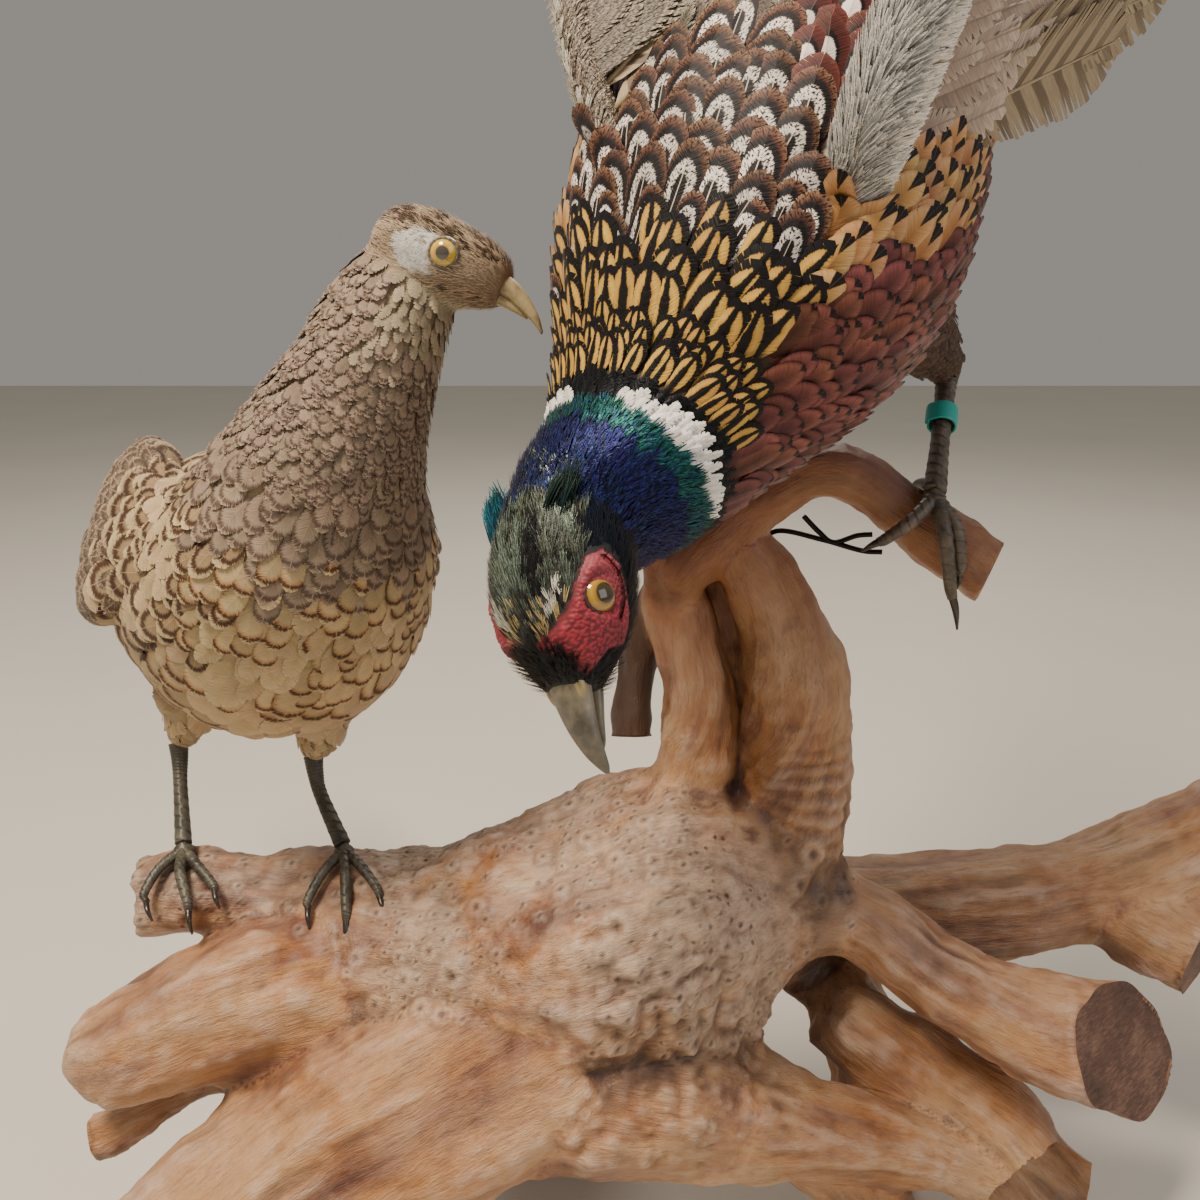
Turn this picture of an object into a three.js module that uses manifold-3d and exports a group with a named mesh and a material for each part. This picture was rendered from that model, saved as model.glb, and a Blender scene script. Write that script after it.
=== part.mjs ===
// A cock pheasant leaning head-down from a polished tree root, with a hen standing below it.
// Millimetres, +Z up, +Y away from the front. Places are given from a point on the floor under the burl.
// The cock is divided into head, bill, eyes, neck, trunk, wings, tail and legs. The hen is one solid.
// The root is divided into its burl, stems and arms, each trimmed by a thin cut where it meets the last.
import * as THREE from "three";
import { mergeVertices } from "three/addons/utils/BufferGeometryUtils.js";
import { ParametricGeometry } from "three/addons/geometries/ParametricGeometry.js";
import Module from "manifold-3d";

const wasm = await Module();
wasm.setup();

// ---------------------------------------------------------------- driving dimensions

const CUT = 0.35; // width of the thin cut between two pieces
const COCK_EYE_R = 5.4;
const HEN_EYE_R = 4.9;
const COCK_TARSUS_R = 3.7;
const HEN_TARSUS_R = 3.1;
const TOE_R = 3.0;
const CLAW_TIP_R = 0.7;
const WING_THICK = 5.5; // at the feather roots, thinning to the tips
const TAIL_THICK = 4.5;
const BAND_R = 6.2;
const BAND_HEIGHT = 9;
const WIRE_R = 1.3;

// The directions of the cock's body: forward to the breast, to its left, and to its back.
const COCK_FORWARD = new THREE.Vector3(-0.255, -0.609, -0.751);
const COCK_LEFT = new THREE.Vector3(0.859, -0.501, 0.114);
const COCK_BACK = new THREE.Vector3(-0.447, -0.616, 0.65);
// The same for its head, which hangs lower and is turned to show its left side.
const HEAD_CENTRE = new THREE.Vector3(-12, -141, 350);
const HEAD_FORWARD = new THREE.Vector3(0.015, -0.636, -0.771);
const HEAD_LEFT = new THREE.Vector3(0.737, -0.515, 0.438);
const HEAD_BACK = new THREE.Vector3(-0.676, -0.574, 0.461);

// The hen's head, in profile to the right.
const HEN_HEAD_CENTRE = new THREE.Vector3(-57, -38, 446);
const HEN_HEAD_FORWARD = new THREE.Vector3(0.883, -0.25, -0.397);
const HEN_HEAD_LEFT = new THREE.Vector3(0.245, 0.967, -0.064);
const HEN_HEAD_BACK = new THREE.Vector3(0.4, -0.041, 0.916);

// ---------------------------------------------------------------- solids

const v3 = (p) => (p.isVector3 ? p : new THREE.Vector3(...p));

/** A closed geometry as a manifold solid: vertices merged by place, and triangles with no area left out. */
function solidOf(geometry) {
  const bare = new THREE.BufferGeometry().setAttribute("position", geometry.getAttribute("position"));
  bare.setIndex(geometry.index);
  const merged = mergeVertices(bare, 1e-3);
  const corner = merged.index.array;
  const kept = [];
  for (let i = 0; i < corner.length; i += 3) {
    const [a, b, c] = [corner[i], corner[i + 1], corner[i + 2]];
    if (a !== b && b !== c && c !== a) kept.push(a, b, c);
  }
  const build = (triVerts) =>
    new wasm.Manifold(
      new wasm.Mesh({
        numProp: 3,
        vertProperties: Float32Array.from(merged.attributes.position.array),
        triVerts: Uint32Array.from(triVerts),
      }),
    );
  const made = build(kept);
  return made.volume() < 0 ? build(kept.reverse()) : made;
}

/** The largest single body of a solid, so that crumbs left by a cut are dropped. */
const largest = (solid) => solid.decompose().reduce((a, b) => (b.volume() > a.volume() ? b : a));

const join = (solids) => solids.reduce((a, b) => a.add(b));

/** Catmull-Rom curves through the stations' centres and section arms, read at the same parameter. */
function curvesOf(stations) {
  const through = (key) =>
    new THREE.CatmullRomCurve3(stations.map((s) => v3(s[key])), false, "catmullrom", 0.5);
  return { at: through("at"), side: through("side"), up: through("up"), down: through("down") };
}

/**
 * A closed skin over stations. Each station has a centre and three arms of its section: side, up and down.
 * A point is centre + side sin(a) + (up or down) cos(a), and both ends close on their centres.
 */
function loft(stations, { around = 16, along = 12, grow = 0, from = 0, to = 1, knobs = null } = {}) {
  const curve = curvesOf(stations);
  const [centre, side, arm, out] = [0, 1, 2, 3].map(() => new THREE.Vector3());
  const steps = along + 2;
  const skin = (u, v, target) => {
    const ring = Math.round(v * steps);
    const t = from + (to - from) * THREE.MathUtils.clamp((ring - 1) / along, 0, 1);
    const angle = 2 * Math.PI * (Math.round(u * around) % around) / around;
    curve.at.getPoint(t, centre);
    target.copy(centre);
    if (ring === 0 || ring === steps) {
      const ahead = curve.at.getTangent(t, out);
      target.addScaledVector(ahead, ring === 0 ? -grow : grow);
      return;
    }
    curve.side.getPoint(t, side);
    const upward = Math.cos(angle) >= 0;
    (upward ? curve.up : curve.down).getPoint(t, arm);
    out.copy(side).multiplyScalar(Math.sin(angle)).addScaledVector(arm, Math.abs(Math.cos(angle)));
    const length = out.length() || 1;
    const swell = knobs ? knobs(t, angle) : 1;
    target.addScaledVector(out, swell + grow / length);
    if (ring === 1 || ring === steps - 1) {
      const ahead = curve.at.getTangent(t, side);
      target.addScaledVector(ahead, ring === 1 ? -grow : grow);
    }
  };
  return solidOf(new ParametricGeometry(skin, around, steps));
}

/**
 * Stations square to a spine: rows of [point, half width, height above, depth below]. backs gives the way
 * up at each station, and its last way serves the stations after it.
 */
function spineStations(rows, backs) {
  const spine = new THREE.CatmullRomCurve3(rows.map((r) => v3(r[0])), false, "catmullrom", 0.5);
  return rows.map(([point, wide, above, below], i) => {
    const share = i / (rows.length - 1);
    const ahead = spine.getTangent(share);
    const wanted = v3(backs[Math.min(i, backs.length - 1)]).clone();
    const up = wanted.addScaledVector(ahead, -wanted.dot(ahead)).normalize();
    const side = new THREE.Vector3().crossVectors(ahead, up).normalize();
    return {
      at: v3(point),
      side: side.multiplyScalar(wide),
      up: up.clone().multiplyScalar(above),
      down: up.clone().multiplyScalar(-below),
    };
  });
}

/** A round limb through rows of [x, y, z, radius]. */
const limbStations = (rows) =>
  spineStations(
    rows.map(([x, y, z, r]) => [[x, y, z], r, r, r]),
    [[0.1, -0.3, 0.95]],
  );

const limb = (rows, options) => loft(limbStations(rows), options);

/** A ball, as an eye or the middle of a foot. */
function ball(centre, radius, grow = 0, around = 8) {
  const sphere = new THREE.SphereGeometry(radius + grow, around, around - 2);
  sphere.translate(...v3(centre).toArray());
  return solidOf(sphere);
}

/** A point given in a head's or body's own directions: forward, left and back. */
const placed = (origin, forward, left, back, [f, l, b]) =>
  origin.clone().addScaledVector(forward, f).addScaledVector(left, l).addScaledVector(back, b);

const material = (colour, roughness, metalness = 0) =>
  new THREE.MeshStandardMaterial({ color: colour, roughness, metalness });

const MATERIALS = {
  headFeather: material(0x16324a, 0.45),
  mantleFeather: material(0xb8892f, 0.6),
  wingFeather: material(0x8f8578, 0.7),
  tailFeather: material(0x8a6a44, 0.65),
  thighFeather: material(0x2b2119, 0.8),
  bill: material(0x6f6a5c, 0.4),
  eye: material(0xc98a12, 0.08),
  scaledLeg: material(0x4a433c, 0.55),
  legBand: material(0x1aa79a, 0.35),
  henFeather: material(0xa78f6a, 0.7),
  wood: material(0xa8743f, 0.35),
  wire: material(0x15130f, 0.5, 0.6),
};

const model = new THREE.Group();
const settled = []; // the room each placed piece takes, a cut's width larger all round

/** Whether two solids' boxes touch, so that pieces far apart aren't cut by one another. */
function boxesMeet(one, other) {
  const [a, b] = [one.boundingBox(), other.boundingBox()];
  return [0, 1, 2].every((k) => a.min[k] <= b.max[k] && b.min[k] <= a.max[k]);
}

/**
 * Adds a piece to the model. shape(grow) makes it, swollen by grow, and what was placed before is cut away
 * from it with a cut's width to spare.
 */
function place(name, look, shape) {
  const whole = shape(0);
  const near = settled.filter((room) => boxesMeet(room, whole));
  const piece = largest(trimmed(near.reduce((solid, room) => solid.subtract(room), whole)));
  const mesh = piece.getMesh();
  const position = new Float32Array(mesh.numVert * 3);
  for (let i = 0; i < mesh.numVert; i++) {
    position.set(mesh.vertProperties.subarray(i * mesh.numProp, i * mesh.numProp + 3), i * 3);
  }
  const geometry = new THREE.BufferGeometry();
  geometry.setAttribute("position", new THREE.BufferAttribute(position, 3));
  geometry.setIndex(new THREE.BufferAttribute(mesh.triVerts, 1));
  const shown = new THREE.Mesh(geometry, MATERIALS[look]);
  shown.name = name;
  model.add(shown);
  settled.push(shape(CUT));
}

// Everything below the floor is sawn off, which leaves the small flats that the root stands on.
const UNDERGROUND = solidOf(new THREE.BoxGeometry(1600, 1600, 400).translate(0, 0, -200));
const trimmed = (solid) => solid.subtract(UNDERGROUND);

// ---------------------------------------------------------------- the cock's body, neck and head

const TRUNK_ROWS = [
  [[-15, -134, 358], 18, 14, 20],
  [[-6, -117, 373], 25, 22, 29],
  [[8, -98, 383], 33, 29, 37],
  [[22, -80, 402], 46, 40, 50],
  [[39, -63, 427], 65, 54, 63],
  [[55, -43, 458], 73, 62, 75],
  [[74, -8, 505], 68, 58, 72],
  [[91, 28, 551], 48, 38, 50],
  [[104, 62, 590], 25, 15, 24],
];
const TRUNK_BACKS = [
  [-0.6, -0.5, 0.62],
  [-0.55, -0.5, 0.66],
  [-0.5, -0.56, 0.66],
  [-0.447, -0.616, 0.65],
];
const cockBody = spineStations(TRUNK_ROWS, TRUNK_BACKS);
const NECK_END = 2.9 / 8; // where the neck gives way to the trunk, as a share of the spine

const HEAD_ROWS = [
  [-43, 7, 5, 6, 3],
  [-34, 16, 13, 15, 1],
  [-16, 22.5, 19, 23, 0],
  [2, 23, 19.5, 23, -1],
  [14, 18.5, 15.5, 19.5, -2],
  [23, 12.5, 11, 13.5, -4],
  [29, 8, 8, 8, -6],
];
const headPoint = (f, l, b) => placed(HEAD_CENTRE, HEAD_FORWARD, HEAD_LEFT, HEAD_BACK, [f, l, b]);
const headStations = (rows, forward, left, back, centre) =>
  rows.map(([f, wide, above, below, lift]) => ({
    at: placed(centre, forward, left, back, [f, 0, lift]),
    side: left.clone().multiplyScalar(wide),
    up: back.clone().multiplyScalar(above),
    down: back.clone().multiplyScalar(-below),
  }));

/** Upper and lower bill rows: forward, half width, height above, depth below, lift of the centre. */
const UPPER_BILL = [
  [18, 8, 6.8, 1.5, -3],
  [28, 7, 6.6, 2.2, -5.8],
  [38, 4.9, 5, 2.4, -10.4],
  [46, 2.6, 2.6, 1.8, -16.4],
  [50.5, 0.8, 0.8, 0.8, -22],
];
const LOWER_BILL = [
  [17, 7, 1.2, 5.2, -8.5],
  [27, 5.8, 1, 4.4, -11],
  [36, 3.8, 0.9, 3, -14.8],
  [42, 1.6, 0.7, 1.2, -18.4],
];

const cockHead = (rows) => headStations(rows, HEAD_FORWARD, HEAD_LEFT, HEAD_BACK, HEAD_CENTRE);
const henHead = (rows) =>
  headStations(rows, HEN_HEAD_FORWARD, HEN_HEAD_LEFT, HEN_HEAD_BACK, HEN_HEAD_CENTRE);

const EYE_PLACE = { forward: 5.6, side: 18.2, up: 2.3 };
for (const [name, hand] of [
  ["cock_eye_left", 1],
  ["cock_eye_right", -1],
]) {
  const centre = headPoint(EYE_PLACE.forward, hand * EYE_PLACE.side, EYE_PLACE.up);
  place(name, "eye", (grow) => ball(centre, COCK_EYE_R, grow));
}
place("cock_bill_upper", "bill", (grow) => loft(cockHead(UPPER_BILL), { around: 8, along: 6, grow }));
place("cock_bill_lower", "bill", (grow) => loft(cockHead(LOWER_BILL), { around: 8, along: 4, grow }));

/** The ear tufts: short horns of feathers behind the crown, as [forward, left, back, radius]. */
const EAR_TUFTS = [
  [
    [-18, 11, 10, 6],
    [-28, 15, 11, 5],
    [-38, 17, 10, 1.5],
  ],
  [
    [-18, -11, 10, 6],
    [-30, -12, 11, 5],
    [-43, -11, 11, 1.5],
  ],
];
const earTuft = (rows, grow) =>
  limb(
    rows.map(([f, l, b, r]) => [...headPoint(f, l, b).toArray(), r]),
    { around: 5, along: 2, grow },
  );
place("cock_head", "headFeather", (grow) =>
  join([
    loft(cockHead(HEAD_ROWS), { around: 12, along: 7, grow }),
    ...EAR_TUFTS.map((rows) => earTuft(rows, grow)),
  ]),
);
place("cock_neck", "headFeather", (grow) => loft(cockBody, { around: 13, along: 3, grow, to: NECK_END }));
place("cock_trunk", "mantleFeather", (grow) =>
  loft(cockBody, { around: 16, along: 8, grow, from: NECK_END }),
);

// ---------------------------------------------------------------- the cock's wings and tail

/** A wing's outline in its own plane: where each feather starts and ends, along the arm and across it. */
const WING_ROWS = [
  { root: [0, 12], tip: [92, 116] },
  { root: [34, -3], tip: [150, 130] },
  { root: [70, -12], tip: [204, 124] },
  { root: [103, -17], tip: [252, 104] },
  { root: [128, -15], tip: [290, 78] },
  { root: [147, -9], tip: [316, 52] },
  { root: [160, 0], tip: [328, 32] },
  { root: [168, 8], tip: [318, 20] },
];
const WING_DROOP = 0.1; // how far the feather tips sink below the wing's plane, as a share of their reach
const WINGS = {
  left: { shoulder: [70, -112, 472], arm: [0.45, 0.05, 0.89], inner: [0.72, 0.58, 0.38], hand: 1 },
  right: { shoulder: [-8, -72, 466], arm: [-0.02, 0.5, 0.866], inner: [0.385, 0.245, 0.8], hand: -1 },
};
const HAND_FROM = 0.5; // where the hand's feathers start, as a share of the wing

/** A wing's own directions, and a way to place a point given along the arm, across it and above it. */
function wingFrame({ shoulder, arm, inner, hand }) {
  const along = v3(arm).clone().normalize();
  const across = v3(inner).clone();
  across.addScaledVector(along, -across.dot(along)).normalize();
  const above = new THREE.Vector3().crossVectors(along, across).multiplyScalar(hand);
  const point = ([x, y], lift) =>
    v3(shoulder).clone().addScaledVector(along, x).addScaledVector(across, y).addScaledVector(above, lift);
  return { above, place: point };
}

function wingStations(wing) {
  const { above, place: point } = wingFrame(wing);
  return WING_ROWS.map(({ root, tip }, i) => {
    const [start, end] = [point(root, 0), point(tip, -WING_DROOP * (tip[1] - root[1]))];
    const thick = WING_THICK * (1 - 0.45 * (i / WING_ROWS.length));
    return {
      at: start.clone().add(end).multiplyScalar(0.5),
      side: end.clone().sub(start).multiplyScalar(0.5),
      up: above.clone().multiplyScalar(thick),
      down: above.clone().multiplyScalar(-thick * 0.35),
    };
  });
}
/** The arm inside the leading edge, as a limb from the shoulder to the end of the hand. */
const WING_ARM = [
  [-16, 18, 7],
  [10, 8, 13],
  [45, -1, 14],
  [88, -7, 11.5],
  [130, -8, 8.5],
  [164, 4, 5],
];
const wingArm = (wing, grow) => {
  const { place: point } = wingFrame(wing);
  const rows = WING_ARM.map(([x, y, r]) => [...point([x, y], 0).toArray(), r]);
  return limb(rows, { around: 8, along: 6, grow });
};
for (const [side, wing] of Object.entries(WINGS)) {
  const stations = wingStations(wing);
  place(`cock_wing_${side}_inner`, "wingFeather", (grow) =>
    join([loft(stations, { around: 8, along: 4, grow, to: HAND_FROM }), wingArm(wing, grow)]),
  );
  place(`cock_wing_${side}_outer`, "wingFeather", (grow) =>
    loft(stations, { around: 8, along: 4, grow, from: HAND_FROM }),
  );
}

/** The tail: graduated feathers laid as one long low roof, given as [point, half width, height, depth]. */
const TAIL_ROWS = [
  [[104, 57, 586], 19, 9, 9],
  [[113, 88, 618], 30, TAIL_THICK + 2, TAIL_THICK],
  [[124, 132, 656], 38, TAIL_THICK, TAIL_THICK * 0.6],
  [[136, 190, 700], 34, TAIL_THICK, TAIL_THICK * 0.5],
  [[148, 258, 746], 25, TAIL_THICK, TAIL_THICK * 0.4],
  [[159, 332, 790], 17, 3, 1.5],
  [[168, 404, 828], 10, 2, 1],
  [[174, 462, 855], 2, 0.8, 0.6],
];
place("cock_tail", "tailFeather", (grow) =>
  loft(spineStations(TAIL_ROWS, [COCK_BACK]), { around: 8, along: 10, grow }),
);

// ---------------------------------------------------------------- legs

/** A leg is a feathered thigh, a scaled shank and four toes, each a list of [x, y, z, radius]. */
const COCK_LEGS = {
  left: {
    thigh: [
      [98, -18, 440, 30],
      [118, 2, 424, 21],
      [135, 17, 411, 12],
      [144, 25, 402, 7],
    ],
    shank: [
      [144, 25, 403, 5],
      [142, 20, 396, COCK_TARSUS_R + 0.5],
      [136, 1, 378, COCK_TARSUS_R],
      [130, -18, 360, COCK_TARSUS_R + 0.8],
    ],
    joint: [129.5, -20, 358],
    toes: [
      [[132, -28, 346, TOE_R], [136, -27, 325, TOE_R - 0.5], [142, -21, 305, CLAW_TIP_R]],
      [[119, -28, 350, TOE_R - 0.2], [110, -27, 343, TOE_R - 0.7], [102, -22, 337, CLAW_TIP_R]],
      [[137, -26, 347, TOE_R - 0.2], [140, -25, 332, TOE_R - 0.7], [141, -19, 321, CLAW_TIP_R]],
      [[130, -9, 361, TOE_R - 0.4], [129, 3, 359, TOE_R - 0.9], [128, 10, 352, CLAW_TIP_R]],
    ],
  },
  right: {
    thigh: [
      [62, -4, 444, 26],
      [54, 14, 430, 18],
      [44, 30, 417, 11],
      [38, 38, 409, 7],
    ],
    shank: [
      [38, 38, 410, 5],
      [37, 35, 403, COCK_TARSUS_R + 0.5],
      [31, 24, 382, COCK_TARSUS_R],
      [25, 13, 364, COCK_TARSUS_R + 0.8],
    ],
    joint: [24.5, 11, 361],
    toes: [
      [[24, -1, 356, TOE_R], [24, -4, 343, TOE_R - 0.5], [25, -3, 330, CLAW_TIP_R]],
      [[15, 3, 358, TOE_R - 0.2], [9, 1, 348, TOE_R - 0.7], [9, 3, 336, CLAW_TIP_R]],
      [[33, 1, 357, TOE_R - 0.2], [42, -4, 352, TOE_R - 0.7], [46, -7, 343, CLAW_TIP_R]],
      [[25, 22, 357, TOE_R - 0.4], [26, 28, 350, TOE_R - 0.9], [26, 29, 341, CLAW_TIP_R]],
    ],
  },
};

const foot = (joint, toes, grow) =>
  join([
    ball(joint, TOE_R + 1.4, grow, 6),
    ...toes.map((rows) => limb([[...joint, TOE_R + 0.3], ...rows], { around: 5, along: 3, grow })),
  ]);

for (const [side, leg] of Object.entries(COCK_LEGS)) {
  place(`cock_foot_${side}`, "scaledLeg", (grow) => foot(leg.joint, leg.toes, grow));
  place(`cock_shank_${side}`, "scaledLeg", (grow) => limb(leg.shank, { around: 7, along: 3, grow }));
  place(`cock_thigh_${side}`, "thighFeather", (grow) => limb(leg.thigh, { around: 9, along: 4, grow }));
}

/** A ring of plastic round the left shank, open only where the shank passes through it. */
const SHANK_DOWN = new THREE.Vector3(-6, -19, -18).normalize();
const BAND_CENTRE = new THREE.Vector3(138.4, 8.6, 385.2);
const bandTurn = new THREE.Quaternion().setFromUnitVectors(new THREE.Vector3(0, 1, 0), SHANK_DOWN);
place("cock_leg_band", "legBand", (grow) => {
  const wall = [
    [COCK_TARSUS_R + 1.1 - grow, -BAND_HEIGHT / 2 - grow],
    [BAND_R + grow, -BAND_HEIGHT / 2 - grow],
    [BAND_R + grow, BAND_HEIGHT / 2 + grow],
    [COCK_TARSUS_R + 1.1 - grow, BAND_HEIGHT / 2 + grow],
    [COCK_TARSUS_R + 1.1 - grow, -BAND_HEIGHT / 2 - grow],
  ].map(([r, h]) => new THREE.Vector2(r, h));
  const tube = new THREE.LatheGeometry(wall, 14).applyQuaternion(bandTurn);
  return solidOf(tube.translate(...BAND_CENTRE.toArray()));
});

// ---------------------------------------------------------------- the hen, one solid

const HEN_BODY_ROWS = [
  [[-205, 128, 302], 14, 10, 11],
  [[-194, 108, 306], 30, 24, 29],
  [[-172, 72, 310], 53, 46, 57],
  [[-151, 35, 315], 64, 56, 70],
  [[-129, 0, 324], 64, 56, 67],
  [[-113, -22, 346], 55, 48, 50],
  [[-102, -30, 376], 42, 36, 38],
  [[-87, -35, 405], 29, 27, 29],
  [[-73, -37, 429], 22, 20, 22],
  [[-63, -37, 445], 15, 14, 15],
];
const HEN_BACKS = [
  [-0.2, 0.3, 0.93],
  [-0.2, 0.3, 0.93],
  [-0.2, 0.3, 0.93],
  [-0.25, 0.35, 0.9],
  [-0.4, 0.5, 0.8],
  [-0.6, 0.5, 0.6],
  [-0.75, 0.4, 0.45],
  [-0.85, 0.3, 0.4],
];
const HEN_HEAD_ROWS = [
  [-24, 7, 7, 7, 0],
  [-19, 13.5, 13, 14, 0],
  [-8, 16.5, 16.5, 18, 0],
  [5, 16.5, 16, 17, 0],
  [16, 13, 12, 12.5, 0],
  [24, 8.5, 8, 8, 0],
];
const HEN_UPPER_BILL = [
  [18, 6, 5.4, 1.6, 1],
  [26, 5.2, 5.2, 2, 0.5],
  [34, 3.8, 4.2, 2, -1.5],
  [41, 2, 2.2, 1.4, -4.5],
  [45, 0.7, 0.7, 0.7, -7.5],
];
const HEN_LOWER_BILL = [
  [18, 5.2, 1, 4.2, -3.2],
  [28, 4, 0.9, 3, -3.6],
  [37, 1.5, 0.6, 1, -5.4],
];
const HEN_TAIL_ROWS = [
  [[-198, 116, 306], 18, 9, 8],
  [[-213, 144, 300], 24, 5, 4],
  [[-236, 188, 291], 24, 3.5, 3],
  [[-262, 240, 282], 18, 3, 2],
  [[-284, 284, 275], 11, 2.2, 1.4],
  [[-299, 316, 270], 3, 0.9, 0.7],
];
/** A folded wing lies on the flank as a shallow shell: [point, half width, thickness out, thickness in]. */
const HEN_WINGS = [
  [
    [[-166, -28, 342], 20, 11, 6],
    [[-189, 0, 340], 38, 14, 9],
    [[-210, 40, 332], 41, 13, 9],
    [[-221, 82, 320], 32, 10, 8],
    [[-228, 124, 307], 17, 6, 4],
    [[-234, 158, 296], 4, 2, 2],
  ],
  [
    [[-82, 12, 344], 20, 11, 6],
    [[-94, 44, 341], 38, 14, 9],
    [[-121, 85, 333], 41, 13, 9],
    [[-152, 119, 321], 32, 10, 8],
    [[-184, 149, 308], 17, 6, 4],
    [[-207, 172, 297], 4, 2, 2],
  ],
];
const HEN_WING_OUT = [
  [-0.8, -0.46, 0.42],
  [0.8, 0.46, 0.42],
];
const HEN_LEGS = [
  {
    shank: [
      [-180, 22, 268, 16],
      [-187, 30, 246, 10],
      [-191, 30, 232, 5],
      [-189, 22, 219, HEN_TARSUS_R],
      [-183, 3, 200, HEN_TARSUS_R + 0.6],
    ],
    joint: [-182.5, 1, 198],
    toes: [
      [[-180, -12, 194, 2.4], [-174, -23, 186, 2.1], [-171, -29, 174, CLAW_TIP_R]],
      [[-190, -9, 194, 2.2], [-194, -18, 187, 1.9], [-188, -27, 179, CLAW_TIP_R]],
      [[-174, -8, 195, 2.2], [-165, -16, 190, 1.9], [-161, -22, 182, CLAW_TIP_R]],
      [[-184, 10, 195, 2], [-186, 17, 189, 1.6], [-186, 21, 182, CLAW_TIP_R]],
    ],
  },
  {
    shank: [
      [-122, 18, 266, 17],
      [-126, 25, 244, 11],
      [-129, 25, 228, 5],
      [-125, 18, 216, HEN_TARSUS_R],
      [-113, 2, 200, HEN_TARSUS_R + 0.6],
    ],
    joint: [-112, 0, 198],
    toes: [
      [[-109, -13, 193, 2.4], [-107, -24, 183, 2.1], [-106, -30, 168, CLAW_TIP_R]],
      [[-119, -10, 193, 2.2], [-124, -20, 185, 1.9], [-122, -28, 176, CLAW_TIP_R]],
      [[-103, -9, 195, 2.2], [-95, -17, 189, 1.9], [-90, -24, 179, CLAW_TIP_R]],
      [[-114, 10, 195, 2], [-116, 18, 189, 1.6], [-117, 22, 182, CLAW_TIP_R]],
    ],
  },
];
const henEye = (hand) =>
  placed(HEN_HEAD_CENTRE, HEN_HEAD_FORWARD, HEN_HEAD_LEFT, HEN_HEAD_BACK, [6, hand * 13, 4.2]);
place("hen", "henFeather", (grow) =>
  join([
    loft(spineStations(HEN_BODY_ROWS, HEN_BACKS), { around: 13, along: 10, grow }),
    loft(henHead(HEN_HEAD_ROWS), { around: 9, along: 5, grow }),
    loft(henHead(HEN_UPPER_BILL), { around: 6, along: 4, grow }),
    loft(henHead(HEN_LOWER_BILL), { around: 6, along: 3, grow }),
    ball(henEye(1), HEN_EYE_R, grow),
    ball(henEye(-1), HEN_EYE_R, grow),
    loft(spineStations(HEN_TAIL_ROWS, [[-0.1, 0.2, 0.97]]), { around: 8, along: 5, grow }),
    ...HEN_WINGS.map((rows, i) =>
      loft(spineStations(rows, [HEN_WING_OUT[i]]), { around: 7, along: 5, grow }),
    ),
    ...HEN_LEGS.flatMap((leg) => [
      limb(leg.shank, { around: 6, along: 5, grow }),
      foot(leg.joint, leg.toes, grow),
    ]),
  ]),
);

// ---------------------------------------------------------------- the root

/** Slow swellings round a limb, so that it isn't a plain tube. */
const gnarl = (phase, depth) => (t, a) =>
  1 + depth * (Math.sin(3 * a + 9 * t + phase) * 0.6 + Math.sin(2 * a - 14 * t + 2 * phase) * 0.4);

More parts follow.
